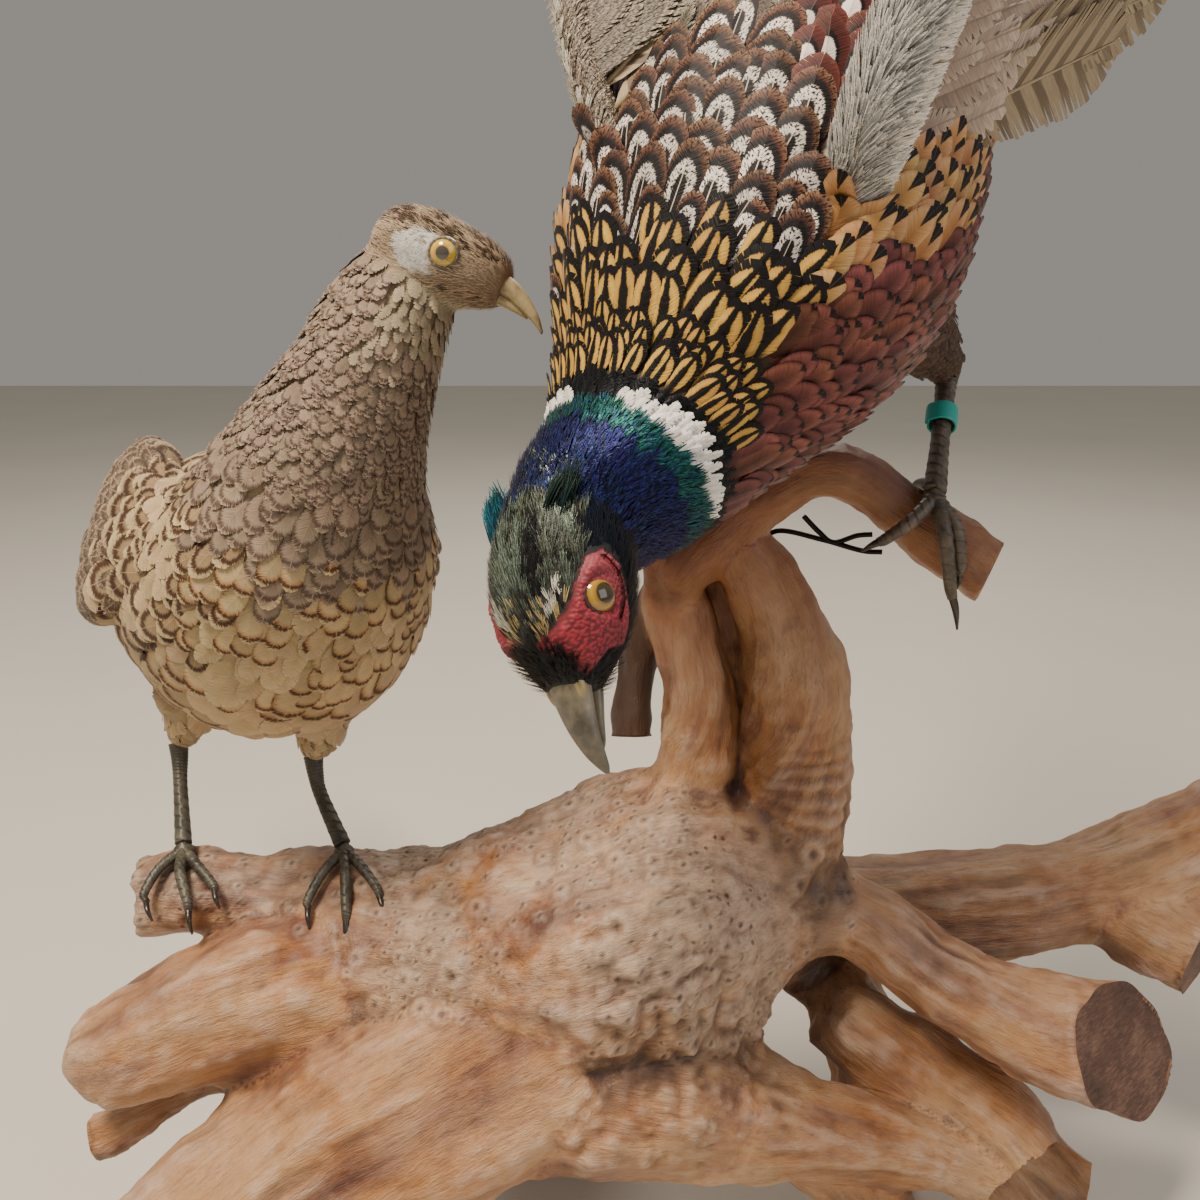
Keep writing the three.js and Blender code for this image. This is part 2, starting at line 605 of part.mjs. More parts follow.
/** The root's limbs: name, how gnarled each is, and rows of [x, y, z, radius]. */
const ROOT = [
  {
    name: "root_burl",
    gnarled: 0.09,
    around: 16,
    along: 8,
    rows: [
      [-152, 0, 152, 20],
      [-110, -6, 150, 34],
      [-66, -8, 148, 46],
      [-14, -4, 152, 62],
      [34, 2, 168, 64],
      [70, 6, 172, 44],
      [92, 8, 170, 26],
    ],
  },
  {
    name: "root_stem_right",
    gnarled: 0.07,
    around: 10,
    along: 7,
    rows: [
      [66, 8, 176, 34],
      [84, 10, 220, 27],
      [84, 10, 266, 23],
      [74, 8, 303, 16],
      [58, 6, 332, 12],
      [42, 8, 347, 10],
    ],
  },
  {
    name: "root_stem_left",
    gnarled: 0.08,
    rows: [
      [32, 4, 196, 30],
      [40, 8, 232, 18],
      [42, 10, 265, 14],
      [34, 12, 298, 13],
      [28, 12, 326, 11],
      [24, 14, 348, 8],
    ],
  },
  {
    name: "root_perch",
    gnarled: 0.05,
    rows: [
      [30, 6, 318, 12],
      [48, 4, 338, 12],
      [70, -1, 357, 11.5],
      [96, -6, 366, 11],
      [126, -8, 347, 11],
      [157, -10, 326, 11.5],
    ],
  },
  {
    name: "root_stub_hanging",
    gnarled: 0.04,
    along: 3,
    rows: [
      [26, 24, 312, 10],
      [18, 26, 282, 9],
      [14, 22, 243, 9],
    ],
  },
  {
    name: "root_leg_front",
    gnarled: 0.07,
    around: 12,
    along: 6,
    rows: [
      [-20, -22, 126, 50],
      [-72, -40, 104, 47],
      [-135, -58, 73, 43],
      [-180, -78, 38, 40],
      [-204, -90, 6, 38],
      [-212, -94, -22, 36],
    ],
  },
  {
    name: "root_lobe",
    gnarled: 0.08,
    rows: [
      [-104, -14, 150, 30],
      [-146, -26, 142, 31],
      [-180, -34, 131, 27],
      [-208, -40, 120, 20],
      [-221, -42, 113, 10],
    ],
  },
  {
    name: "root_splinter",
    gnarled: 0.05,
    rows: [
      [-120, -20, 118, 9],
      [-150, -22, 105, 8],
      [-185, -26, 92, 8],
      [-212, -30, 79, 9.5],
      [-222, -31, 75, 9],
    ],
  },
  {
    name: "root_ridge",
    gnarled: 0.09,
    rows: [
      [-204, 2, 174, 15],
      [-184, 4, 176, 18],
      [-146, 8, 172, 20],
      [-104, 10, 170, 21],
      [-58, 14, 170, 24],
      [-20, 14, 174, 32],
    ],
  },
  {
    name: "root_arm_flared",
    gnarled: 0.05,
    rows: [
      [76, 6, 172, 24],
      [112, 0, 166, 20],
      [142, -8, 146, 19],
      [176, -14, 127, 21],
      [205, -18, 118, 25],
      [229, -21, 112, 28],
    ],
  },
  {
    name: "root_arm_forked",
    gnarled: 0.06,
    rows: [
      [84, 34, 158, 20],
      [126, 36, 152, 21],
      [168, 42, 147, 26],
      [222, 46, 152, 26],
      [266, 50, 167, 24],
      [308, 55, 187, 21],
    ],
  },
  {
    name: "root_arm_stub",
    gnarled: 0.05,
    along: 3,
    rows: [
      [236, 44, 152, 20],
      [262, 36, 140, 22],
      [286, 29, 129, 21],
    ],
  },
  {
    name: "root_prop_back",
    gnarled: 0.06,
    rows: [
      [100, 32, 128, 26],
      [122, 34, 100, 18],
      [132, 34, 50, 17],
      [138, 32, 8, 19],
      [139, 31, -18, 20],
    ],
  },
  {
    name: "root_arm_low",
    gnarled: 0.06,
    rows: [
      [104, 4, 118, 20],
      [134, -2, 96, 21],
      [168, -6, 70, 24],
      [196, -10, 44, 24],
      [211, -12, 28, 23],
    ],
  },
  {
    name: "root_leg_right",
    gnarled: 0.05,
    rows: [
      [10, -24, 108, 40],
      [54, -32, 92, 32],
      [94, -36, 84, 21],
      [140, -32, 68, 15],
      [176, -26, 44, 13],
      [196, -22, 12, 15],
      [200, -22, -14, 16],
    ],
  },
  {
    name: "root_prop_front",
    gnarled: 0.05,
    along: 5,
    rows: [
      [84, -24, 70, 20],
      [108, -22, 54, 18],
      [130, -30, 24, 19],
      [138, -34, -14, 20],
    ],
  },
  {
    name: "root_leg_back",
    gnarled: 0.07,
    along: 6,
    rows: [
      [-10, 30, 142, 46],
      [-8, 72, 104, 36],
      [-6, 108, 58, 32],
      [-4, 128, 10, 34],
      [-4, 132, -20, 34],
    ],
  },
];
for (const [i, { name, rows, gnarled, around = 8, along = 5 }] of ROOT.entries()) {
  place(name, "wood", (grow) => limb(rows, { around, along, grow, knobs: gnarl(i, gnarled) }));
}

/** A wire that ties the perch to the stem: one long strand and the short tail of its twist. */
const WIRE_STRANDS = [
  [
    [66, 14, 330],
    [74, 12, 338],
    [92, 9, 335],
    [108, 6, 331],
    [116, 3, 331],
  ],
  [
    [84, 8, 345],
    [91, 8, 338],
    [97, 8, 334],
    [106, 7, 337],
    [112, 5, 338],
  ],
];
place("mount_wire", "wire", (grow) =>
  join(
    WIRE_STRANDS.map((points) =>
      limb(points.map((p) => [...p, WIRE_R]), { around: 5, along: 5, grow }),
    ),
  ),
);

// The origin is on the floor, under the middle of the whole model's box.
const box = new THREE.Box3().setFromObject(model);
const middle = box.getCenter(new THREE.Vector3());
for (const piece of model.children) {
  piece.geometry.translate(-middle.x, -middle.y, 0);
}

export default model;
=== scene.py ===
"""A mounted cock pheasant, head down on a polished root, with a hen below: the finish of every surface.

The birds are worked out in their maker's millimetres, from a point on the floor under the burl,
and moved into the frame's metres as the last step. Surfaces are numpy grids and lofts. Feathers are
mesh vanes laid over one skin for each bird. Nothing is random without a seed.
"""

from __future__ import annotations

import logging
import math
from collections.abc import Callable, Iterable
from dataclasses import dataclass, field
from enum import Enum

import bmesh
import bpy
import numpy as np
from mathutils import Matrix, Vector
from mathutils.bvhtree import BVHTree
from mathutils.kdtree import KDTree

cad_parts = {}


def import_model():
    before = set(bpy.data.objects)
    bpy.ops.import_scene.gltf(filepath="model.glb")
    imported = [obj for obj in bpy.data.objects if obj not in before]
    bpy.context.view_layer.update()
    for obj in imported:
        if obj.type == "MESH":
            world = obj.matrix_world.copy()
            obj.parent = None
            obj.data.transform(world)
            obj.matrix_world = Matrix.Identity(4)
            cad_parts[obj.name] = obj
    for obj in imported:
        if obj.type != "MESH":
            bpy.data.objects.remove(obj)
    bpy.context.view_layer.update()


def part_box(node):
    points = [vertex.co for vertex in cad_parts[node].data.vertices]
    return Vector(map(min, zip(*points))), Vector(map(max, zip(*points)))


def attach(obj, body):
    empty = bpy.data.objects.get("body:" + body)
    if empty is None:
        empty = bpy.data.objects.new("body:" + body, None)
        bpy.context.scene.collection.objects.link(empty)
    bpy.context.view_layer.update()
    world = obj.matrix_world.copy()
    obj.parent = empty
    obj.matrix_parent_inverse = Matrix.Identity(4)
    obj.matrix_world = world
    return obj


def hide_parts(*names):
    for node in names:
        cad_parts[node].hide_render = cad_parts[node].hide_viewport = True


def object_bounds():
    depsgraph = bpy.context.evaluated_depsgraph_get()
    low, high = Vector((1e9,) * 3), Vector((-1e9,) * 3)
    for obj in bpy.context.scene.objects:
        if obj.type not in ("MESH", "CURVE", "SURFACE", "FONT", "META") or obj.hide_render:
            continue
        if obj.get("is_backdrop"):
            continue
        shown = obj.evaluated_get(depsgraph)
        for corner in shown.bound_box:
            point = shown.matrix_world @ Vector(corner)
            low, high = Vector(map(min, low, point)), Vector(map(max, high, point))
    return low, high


Array = np.ndarray
Triple = tuple[float, float, float]
Socket = bpy.types.NodeSocket
Swell = Callable[[Array, Array], Array]
Value = Socket | float | str | tuple[float, ...]  # what a node's socket may be given
log = logging.getLogger("pheasants")

MM = 0.001
BODY = "root"  # the model has no joints, so it all rides on one body
BAKE = "OFBake"
TUFT_PATCH = 0.003  # side of one tuft's patch on the skin's unwrap
TURN = 2 * math.pi


# ---------------------------------------------------------------- arrays


def unit(vectors: Array) -> Array:
    """The vectors at length one."""
    return vectors / np.maximum(np.linalg.norm(vectors, axis=-1, keepdims=True), 1e-9)


def dot(a: Array, b: Array) -> Array:
    """The dot product along the last axis, kept as a column."""
    return np.sum(a * b, axis=-1, keepdims=True)


def square_to(axis: Array) -> tuple[Array, Array]:
    """Two directions square to an axis and to each other."""
    one = unit(np.cross(axis, (0.3, 0.2, 0.9)))
    return one, np.cross(axis, one)


def run_of(line: Array) -> Array:
    """The way covered along a line at each of its points."""
    return np.r_[0, np.cumsum(np.linalg.norm(np.diff(line, axis=0), axis=1))]


def ease(x: Array | float, low: float = 0.0, high: float = 1.0) -> Array:
    """A smooth step from 0 at low to 1 at high: three x squared less two x cubed."""
    s = np.clip((np.asarray(x, float) - low) / (high - low), 0, 1)
    return s * s * (3 - 2 * s)


def across_table(x: Array, table: Iterable[tuple[float, float]]) -> Array:
    """Straight-line values between the rows (x, value) of a table.

    Args:
        x: where to read it.
        table: rows in rising order of x.

    Returns:
        The value at each x.
    """
    keys, values = zip(*table)
    return np.interp(x, keys, values)


def curve(knots: Array, t: Array) -> Array:
    """A uniform Catmull-Rom curve with slopes of half the chord over two knots.

    Args:
        knots: (n, 3) points it passes through; the ends are carried on in a straight line.
        t: shares of the whole curve, 0 to 1, of any shape.

    Returns:
        Points, with t's shape and a last axis of 3.
    """
    knots = np.asarray(knots, float)
    last = len(knots) - 1
    x = np.clip(np.asarray(t, float), 0, 1) * last
    i = np.minimum(x.astype(int), last - 1)
    f = (x - i)[..., None]
    before = np.where((i > 0)[..., None], knots[np.maximum(i - 1, 0)], 2 * knots[0] - knots[1])
    after = np.where(
        (i + 2 <= last)[..., None], knots[np.minimum(i + 2, last)], 2 * knots[last] - knots[last - 1]
    )
    here, there = knots[i], knots[i + 1]
    out, into = (there - before) / 2, (after - here) / 2
    return (
        here + out * f + (3 * (there - here) - 2 * out - into) * f**2
        + (2 * (here - there) + out + into) * f**3
    )


def noise(points: Array, size: float, seed: float) -> Array:
    """Smooth value noise, -1 to 1: hashed heights on a cubic lattice, blended by smooth steps.

    Args:
        points: (..., 3) places.
        size: the lattice's cell, in the same unit.
        seed: moves the lattice.

    Returns:
        One value for each point.
    """
    p = np.asarray(points, float) / size + seed * 17.31
    cell = np.floor(p)
    f = p - cell
    f = f * f * (3 - 2 * f)
    total = np.zeros(p.shape[:-1])
    for corner in range(8):
        step = np.array([corner & 1, corner >> 1 & 1, corner >> 2 & 1])
        h = np.sin((cell + step) @ np.array([127.1, 311.7, 74.7])) * 43758.5453
        weight = np.prod(np.where(step == 1, f, 1 - f), axis=-1)
        total += weight * (2 * (h - np.floor(h)) - 1)
    return total


def inside(outline: list[tuple[float, float]], x: Array, y: Array) -> Array:
    """Whether each point lies in a closed outline, by counting the edges that a ray crosses."""
    hit = np.zeros(np.shape(x), bool)
    for (x0, y0), (x1, y1) in zip(outline, outline[1:] + outline[:1]):
        if y0 != y1:
            crosses = (y0 > y) != (y1 > y)
            hit ^= crosses & (x < (x1 - x0) * (y - y0) / (y1 - y0) + x0)
    return hit


def edge_distance(outline: list[tuple[float, float]], x: Array, y: Array, closed: bool = True) -> Array:
    """The distance from each point to the nearest edge of an outline, closed or open."""
    best = np.full(np.shape(x), 1e9)
    for (x0, y0), (x1, y1) in zip(outline, outline[1:] + outline[:1] * closed):
        dx, dy = x1 - x0, y1 - y0
        s = np.clip(((x - x0) * dx + (y - y0) * dy) / (dx * dx + dy * dy + 1e-12), 0, 1)
        best = np.minimum(best, np.hypot(x - x0 - s * dx, y - y0 - s * dy))
    return best


# ---------------------------------------------------------------- lofts


@dataclass(frozen=True)
class Axes:
    """A place and three directions: forward, left and back. It turns a head's own sizes into points."""

    centre: Triple
    forward: Triple
    left: Triple
    back: Triple

    @property
    def turn(self) -> Array:
        """The three directions as rows."""
        return np.array([self.forward, self.left, self.back], float)

    def point(self, local: Array) -> Array:
        """Points from rows of (forward, left, back)."""
        return np.asarray(self.centre, float) + np.asarray(local, float) @ self.turn

    def local(self, points: Array) -> Array:
        """(forward, left, back) of points."""
        return (points - np.asarray(self.centre, float)) @ np.linalg.inv(self.turn)


@dataclass(frozen=True)
class Loft:
    """A skin over stations, each a centre and three arms of its section: side, up and down.

    A point is centre + side sin(a) + (up or down) |cos(a)|, with all four carried along t by one curve.
    """

    centre: Array
    side: Array
    up: Array
    down: Array

    @classmethod
    def spine(cls, rows: list, backs: list) -> Loft:
        """Stations square to a spine, from rows of (point, half width, height above, depth below)."""
        points = np.array([row[0] for row in rows], float)
        share = np.linspace(0, 1, len(points))
        ahead = unit(curve(points, share + 1e-4) - curve(points, share - 1e-4))
        wanted = np.array([backs[min(i, len(backs) - 1)] for i in range(len(points))], float)
        up = unit(wanted - ahead * dot(wanted, ahead))
        side = unit(np.cross(ahead, up))
        wide, above, below = (np.array([row[k] for row in rows], float)[:, None] for k in (1, 2, 3))
        return cls(points, side * wide, up * above, -up * below)

    @classmethod
    def limb(cls, rows: list, back: Triple = (0.1, -0.3, 0.95)) -> Loft:
        """A round limb through rows of (x, y, z, radius)."""
        return cls.spine([((x, y, z), r, r, r) for x, y, z, r in rows], [back])

    @classmethod
    def head(cls, rows: list, axes: Axes) -> Loft:
        """Sections along a head, from rows of (forward, half width, above, below, lift)."""
        table = np.array(rows, float)
        zero = np.zeros(len(table))
        centre = axes.point(np.stack([table[:, 0], zero, table[:, 4]], axis=1))
        left, back = np.array(axes.left), np.array(axes.back)
        return cls(centre, left * table[:, 1:2], back * table[:, 2:3], -back * table[:, 3:4])

    def point(self, t: Array, angle: Array, grow: Array | float = 0.0) -> Array:
        """Points on the skin, grown outwards along each arm."""
        t, angle = np.broadcast_arrays(np.asarray(t, float), np.asarray(angle, float))
        cos = np.cos(angle)[..., None]
        arm = np.where(cos >= 0, curve(self.up, t), curve(self.down, t))
        out = curve(self.side, t) * np.sin(angle)[..., None] + arm * np.abs(cos)
        length = np.maximum(np.linalg.norm(out, axis=-1, keepdims=True), 1e-6)
        grow = np.broadcast_to(np.asarray(grow, float), t.shape)[..., None]
        return curve(self.centre, t) + out * np.maximum(1 + grow / length, 0.02)

    def lie(self, t: Array, angle: Array) -> Array:
        """The way along the skin towards t = 1."""
        step = 2e-3
        high, low = np.clip(t + step, 0, 1), np.clip(t - step, 0, 1)
        return unit(self.point(high, angle) - self.point(low, angle))

    def shell(
        self, along: int, around: int, grow: float = 0.0, swell: Swell | None = None,
        table: list | None = None
    ) -> Surface:
        """The closed skin as a grid of rings with a centre point at each end.

        Args:
            along: rings, less one.
            around: points on a ring.
            grow: how far out of the arms it lies.
            swell: a factor on the arms, from (t, angle).
            table: rows of (t, grow), in place of one grow.

        Returns:
            The surface, with its faces outwards.
        """
        t = np.linspace(0, 1, along + 1)[:, None]
        angle = TURN * np.arange(around)[None, :] / around
        out = across_table(t, table) if table else np.full_like(t, grow)
        grid = self.point(t, angle, out)
        centre = curve(self.centre, t[:, 0])
        if swell is not None:
            grid = centre[:, None] + (grid - centre[:, None]) * swell(t, angle)[..., None]
        first, last = unit(centre[1] - centre[0]) * out[0], unit(centre[-1] - centre[-2]) * out[-1]
        grid[0] -= first
        grid[-1] += last
        return tube_surface(grid, np.array([centre[0] - first, centre[-1] + last]))


@dataclass
class Surface:
    """Points and faces of one mesh, with what its finish reads at each point or face."""

    points: Array
    quads: Array = field(default_factory=lambda: np.zeros((0, 4), int))
    tris: Array = field(default_factory=lambda: np.zeros((0, 3), int))
    maps: dict[str, Array] = field(default_factory=dict)  # UV maps, a pair for each point
    paint: dict[str, Array] = field(default_factory=dict)  # colours or numbers for each point
    finish: Array | None = None  # the material slot of each quad, then of each triangle

    def flipped(self) -> Surface:
        """The same surface facing the other way."""
        self.quads, self.tris = self.quads[:, ::-1], self.tris[:, ::-1]
        return self


def joined(parts: list[Surface]) -> Surface:
    """Several surfaces as one, with their maps, paint and finishes kept."""
    starts = np.cumsum([0] + [len(p.points) for p in parts[:-1]])
    slots = [p.finish if p.finish is not None else np.zeros(len(p.quads) + len(p.tris), int) for p in parts]
    return Surface(
        np.concatenate([p.points for p in parts]),
        np.concatenate([p.quads + s for p, s in zip(parts, starts)]),
        np.concatenate([p.tris + s for p, s in zip(parts, starts)]),
        {k: np.concatenate([p.maps[k] for p in parts]) for k in parts[0].maps},
        {k: np.concatenate([p.paint[k] for p in parts]) for k in parts[0].paint},
        np.concatenate(
            [s[: len(p.quads)] for s, p in zip(slots, parts)]
            + [s[len(p.quads) :] for s, p in zip(slots, parts)]
        )
    )


def grid_faces(rings: int, around: int, closed: bool = False) -> Array:
    """The quads of a grid of rings, each ring joined to the next and, where closed, the last to the first."""
    i, j = (x.ravel() for x in np.meshgrid(np.arange(rings - (not closed)), np.arange(around), indexing="ij"))
    after, k = (i + 1) % rings, (j + 1) % around
    return np.stack([i * around + j, after * around + j, after * around + k, i * around + k], 1)


def tube_surface(grid: Array, ends: Array) -> Surface:
    """A ring grid closed by a fan at each end.

    Args:
        grid: (rings, around, 3) points.
        ends: the two middle points.

    Returns:
        The closed surface, its faces outwards where the rings run right-handed about the way ahead.
    """
    rings, around = grid.shape[:2]
    j = np.arange(around)
    k = (j + 1) % around
    first, last, top = rings * around, rings * around + 1, (rings - 1) * around
    tris = np.concatenate(
        [
            np.stack([np.full(around, first), j, k], -1),
            np.stack([np.full(around, last), top + k, top + j], -1)
        ]
    )
    surface = Surface(np.concatenate([grid.reshape(-1, 3), ends]), grid_faces(rings, around), tris)
    return surface if enclosed(surface) > 0 else surface.flipped()


def enclosed(surface: Surface) -> float:
    """Six times the volume that a closed surface holds, below nought where it faces inwards."""
    p = surface.points - surface.points.mean(0)
    q, t = surface.quads, surface.tris
    corners = np.concatenate([q[:, :3], q[:, [0, 2, 3]], t])
    a, b, c = (p[corners[:, k]] for k in range(3))
    return float(np.sum(a * np.cross(b, c)))


# ---------------------------------------------------------------- finishes


def linear(colour: str) -> tuple[float, float, float, float]:
    """An sRGB hex colour as linear light with an alpha of 1."""
    parts = [int(colour.lstrip("#")[i : i + 2], 16) / 255 for i in (0, 2, 4)]
    turned = [c / 12.92 if c <= 0.04045 else ((c + 0.055) / 1.055) ** 2.4 for c in parts]
    return (*turned, 1.0)


def linears(colours: Iterable[str]) -> Array:
    """Several hex colours as rows of linear light."""
    return np.array([linear(c) for c in colours])


def stops_of(text: str) -> list[tuple[float, str]]:
    """A ramp's (place, colour) rows from a text of places and colours in turn."""
    words = text.split()
    return [(float(place), colour) for place, colour in zip(words[::2], words[1::2])]


class Recipe:
    """A material's node tree, with one way to add a node."""

    def __init__(self, name: str) -> None:
        """Starts an empty material with its output."""
        self.material = bpy.data.materials.new(name)
        self.material.use_nodes = True
        self.tree = self.material.node_tree
        self.tree.nodes.clear()
        self.output = self.tree.nodes.new("ShaderNodeOutputMaterial")

    def add(
        self, kind: str, *values: Value, named: dict[str, Value] | None = None,
        stops: str | list[tuple[float, str]] = "", out: str | int | None = None, **settings: str | bool
    ) -> Socket:
        """Adds a node.

        Args:
            kind: the node's type without "ShaderNode", and after a colon its operation or data type.
            *values: a value, a colour or another node's output for each socket in use, in order.
            named: the same, by the socket's name.
            stops: a ramp's colours.
            out: the output wanted, by name or number, where it isn't the first in use.
            **settings: the node's other settings.

        Returns:
            The output.
        """
        kind, _, sort = kind.partition(":")
        node = self.tree.nodes.new("ShaderNode" + kind)
        if sort:
            settings["data_type" if kind == "Mix" else "operation"] = sort
        for key, value in settings.items():
            setattr(node, key, value)
        given = list(zip([s for s in node.inputs if s.enabled], values))
        given += [(node.inputs[key], value) for key, value in (named or {}).items()]
        for socket, value in given:
            if isinstance(value, Socket):
                self.tree.links.new(value, socket)
            else:
                socket.default_value = linear(value) if isinstance(value, str) else value
        if stops:
            ramp = node.color_ramp
            while len(ramp.elements) > 1:
                ramp.elements.remove(ramp.elements[-1])
            (place, colour), *rest = stops_of(stops) if isinstance(stops, str) else stops
            ramp.elements[0].position, ramp.elements[0].color = place, linear(colour)
            for place, colour in rest:
                ramp.elements.new(place).color = linear(colour)
        return next(s for s in node.outputs if s.enabled) if out is None else node.outputs[out]

    def surface(
        self, colour: Socket, rough: Value, bump: Socket | None = None, depth: float = 0.0, **fixed: float
    ) -> bpy.types.Material:
        """Ends the tree in a Principled surface.

        Args:
            colour: its base colour.
            rough: its roughness.
            bump: a height, or None.
            depth: the bump's height in metres.
            **fixed: other sockets, their names in words joined by underscores.

        Returns:
            The finished material.
        """
        named = {"Base Color": colour, "Roughness": rough}
        if bump is not None:
            named["Normal"] = self.add("Bump", named={"Height": bump, "Strength": 1.0, "Distance": depth})
        named |= {key.replace("_", " "): value for key, value in fixed.items()}
        shader = self.add("BsdfPrincipled", named=named)
        self.tree.links.new(shader, self.output.inputs["Surface"])
        return self.material


@dataclass(frozen=True)
class VaneFinish:
    """A feather's keratin vane: matt barbs with a silky sheen, and a glossier shaft.

    The bands run inside the outline of the tip. Their radius is 0 on the shaft where the tip's curve
    begins and 1 on the outline. Barbs are about 0.5 mm apart and drawn at barb_mm, so that they show.
    """

    name: str
    bands: str  # places and colours in turn
    shaft: str
    shaft_width: float = 0.05  # share of the half width
    shaft_to: float = 1.1  # how far along it shows
    bow: float = 0.55  # where the curve of the tip begins
    squeeze: float = 1.0  # how far the bands run up the sides
    ragged: float = 0.1  # how far the bands' edges wander along the barbs
    barb_mm: float = 0.7
    streak: float = 0.25  # light and dark between barbs
    tint: str = "#8a6a50"  # what some feathers lean towards
    tint_share: float = 0.25
    uneven: float = 0.3  # spread of lightness from feather to feather
    rough: float = 0.55
    metallic: float = 0.0
    sheen: float = 0.05
    bars: tuple[float, float, str] | None = None  # cross bars: period mm, share dark, colour
    bar_wave: float = 1.2  # how far a bar's line wanders, mm
    notch: str | None = None  # a dark wedge at the very tip
    notch_from: float = 0.86
    notch_side: float = 0.12  # how fast the wedge narrows away from the shaft
    core: str | None = None  # a wedge along the shaft
    core_width: float = 0.2
    core_taper: float = 1.0  # 1 draws the core to a point at the tip, 0 keeps its width
    speck: tuple[float, str] | None = None  # small spots: share covered, colour
    down: str = "#9a9288"  # the fluffy base
    down_to: float = 0.3

    def make(self) -> bpy.types.Material:
        """Builds the material from the vane's own maps and each feather's own numbers."""
        r = Recipe(self.name)
        vane = r.add("SeparateXYZ", r.add("UVMap", uv_map="Vane"))
        across = r.add("Math:MULTIPLY_ADD", vane, 2.0, -1.0)
        along = vane.node.outputs["Y"]
        barbs = r.add("UVMap", uv_map="Barbs")
        chance = r.add("Attribute", attribute_name="Chance", out="Fac")
        fine = r.add(
            "TexNoise", r.add("VectorMath:MULTIPLY", barbs, (0.12, 1 / self.barb_mm, 1.0)), 1.0, 2.0, 0.55
        )
        coarse = r.add("TexNoise", r.add("VectorMath:MULTIPLY", barbs, (0.1, 0.28, 1.0)), 1.0, 1.0, 0.55)
        wander = r.add("Math:MULTIPLY_ADD", fine, 2 * self.ragged, -self.ragged)
        rim = r.add("Math:DIVIDE", r.add("Math:SUBTRACT", along, self.bow), 1 - self.bow)
        rim = r.add("Math:MAXIMUM", rim, 0.0)
        flat = r.add("CombineXYZ", r.add("Math:MULTIPLY", across, self.squeeze), rim)
        radius = r.add("VectorMath:LENGTH", flat, out="Value")
        ring = r.add("Math:ADD", radius, wander)
        colour = r.add("ValToRGB", ring, stops=self.bands)
        side = r.add("Math:ABSOLUTE", across)
        layers = []  # how far inside each mark, how sharp its edge is, and its colour
        if self.speck:
            share, paint = self.speck
            spots = r.add("Math:ADD", r.add("TexNoise", barbs, 1.1, 2.0, 0.55), share - 0.62)
            layers.append((spots, 16.0, paint))
        if self.core:
            slope = self.core_taper * self.core_width / 0.5
            full = self.core_width * (1 - self.core_taper)
            reach = r.add("Math:MULTIPLY_ADD", r.add("Math:SUBTRACT", 1.04, along), slope, full)
            edge = r.add("Math:SUBTRACT", r.add("Math:ADD", reach, wander), side)
            layers.append((edge, 14.0, self.core))
        if self.bars:
            period, dark, paint = self.bars
            phase = r.add("Math:MULTIPLY", chance, 7.0)
            spot = r.add("SeparateXYZ", barbs, out=1)
            spot = r.add("Math:MULTIPLY_ADD", coarse, 2 * self.bar_wave, spot)
            turn = r.add("Math:MULTIPLY_ADD", spot, TURN / period, phase)
            wave = r.add("Math:SUBTRACT", r.add("Math:SINE", turn), math.cos(math.pi * dark))
            layers.append((wave, 3.5, paint))
        if self.notch:
            tip = r.add("Math:SUBTRACT", r.add("Math:ADD", along, wander), self.notch_from)
            tip = r.add("Math:SUBTRACT", tip, r.add("Math:MULTIPLY", side, self.notch_side))
            layers.append((tip, 22.0, self.notch))
        fluff = r.add("Math:SUBTRACT", self.down_to, r.add("Math:ADD", along, wander))
        quill = r.add("Math:SUBTRACT", self.shaft_width, side)
        before_tip = r.add("Math:SUBTRACT", self.shaft_to, along)
        quill = r.add("Math:MINIMUM", quill, before_tip)
        for within, sharp, paint in (*layers, (fluff, 6.0, self.down), (quill, 40.0, self.shaft)):
            share = r.add("Math:MULTIPLY", within, sharp, use_clamp=True)
            colour = r.add("Mix:RGBA", share, colour, paint)
        lean = r.add("Math:MULTIPLY", chance, self.tint_share)
        colour = r.add("Mix:RGBA", lean, colour, self.tint, blend_type="HUE")
        light = r.add("Math:MULTIPLY_ADD", fine, 2 * self.streak, 1 - self.streak)
        own = r.add("Math:FRACT", r.add("Math:MULTIPLY", chance, 7.31))
        light = r.add(
            "Math:MULTIPLY", light, r.add("Math:MULTIPLY_ADD", own, self.uneven, 1 - self.uneven / 2)
        )
        light = r.add(
            "Math:MULTIPLY_ADD", coarse, self.streak, r.add("Math:SUBTRACT", light, self.streak / 2)
        )
        shade = r.add("CombineColor", light, light, light)
        colour = r.add("Mix:RGBA", 1.0, colour, shade, blend_type="MULTIPLY")
        rough = r.add("Math:MULTIPLY_ADD", fine, 0.16, self.rough - 0.08)
        return r.surface(
            colour, rough, fine, 0.00025, Metallic=self.metallic, Specular_IOR_Level=0.22,
            Sheen_Weight=self.sheen, Sheen_Roughness=0.5
        )


# ---------------------------------------------------------------- pieces


def put_attribute(mesh: bpy.types.Mesh, name: str, values: Array) -> None:
    """Stores a number, a place or a colour for each point."""
    kinds = {1: ("FLOAT", "value"), 3: ("FLOAT_VECTOR", "vector"), 4: ("FLOAT_COLOR", "color")}
    kind, key = kinds[values[0].size]
    made = mesh.attributes.new(name, kind, "POINT")
    made.data.foreach_set(key, np.ascontiguousarray(values, np.float32).ravel())


def fetched(items: bpy.types.bpy_prop_collection, key: str, width: int, kind: type = np.float32) -> Array:
    """One property of many items, as rows of a width."""
    values = np.zeros(len(items) * width, kind)
    items.foreach_get(key, values)
    return values.reshape(-1, width)


def placed(name: str, data: bpy.types.ID) -> bpy.types.Object:
    """A new object in the scene."""
    made = bpy.data.objects.new(name, data)
    bpy.context.scene.collection.objects.link(made)
    return made


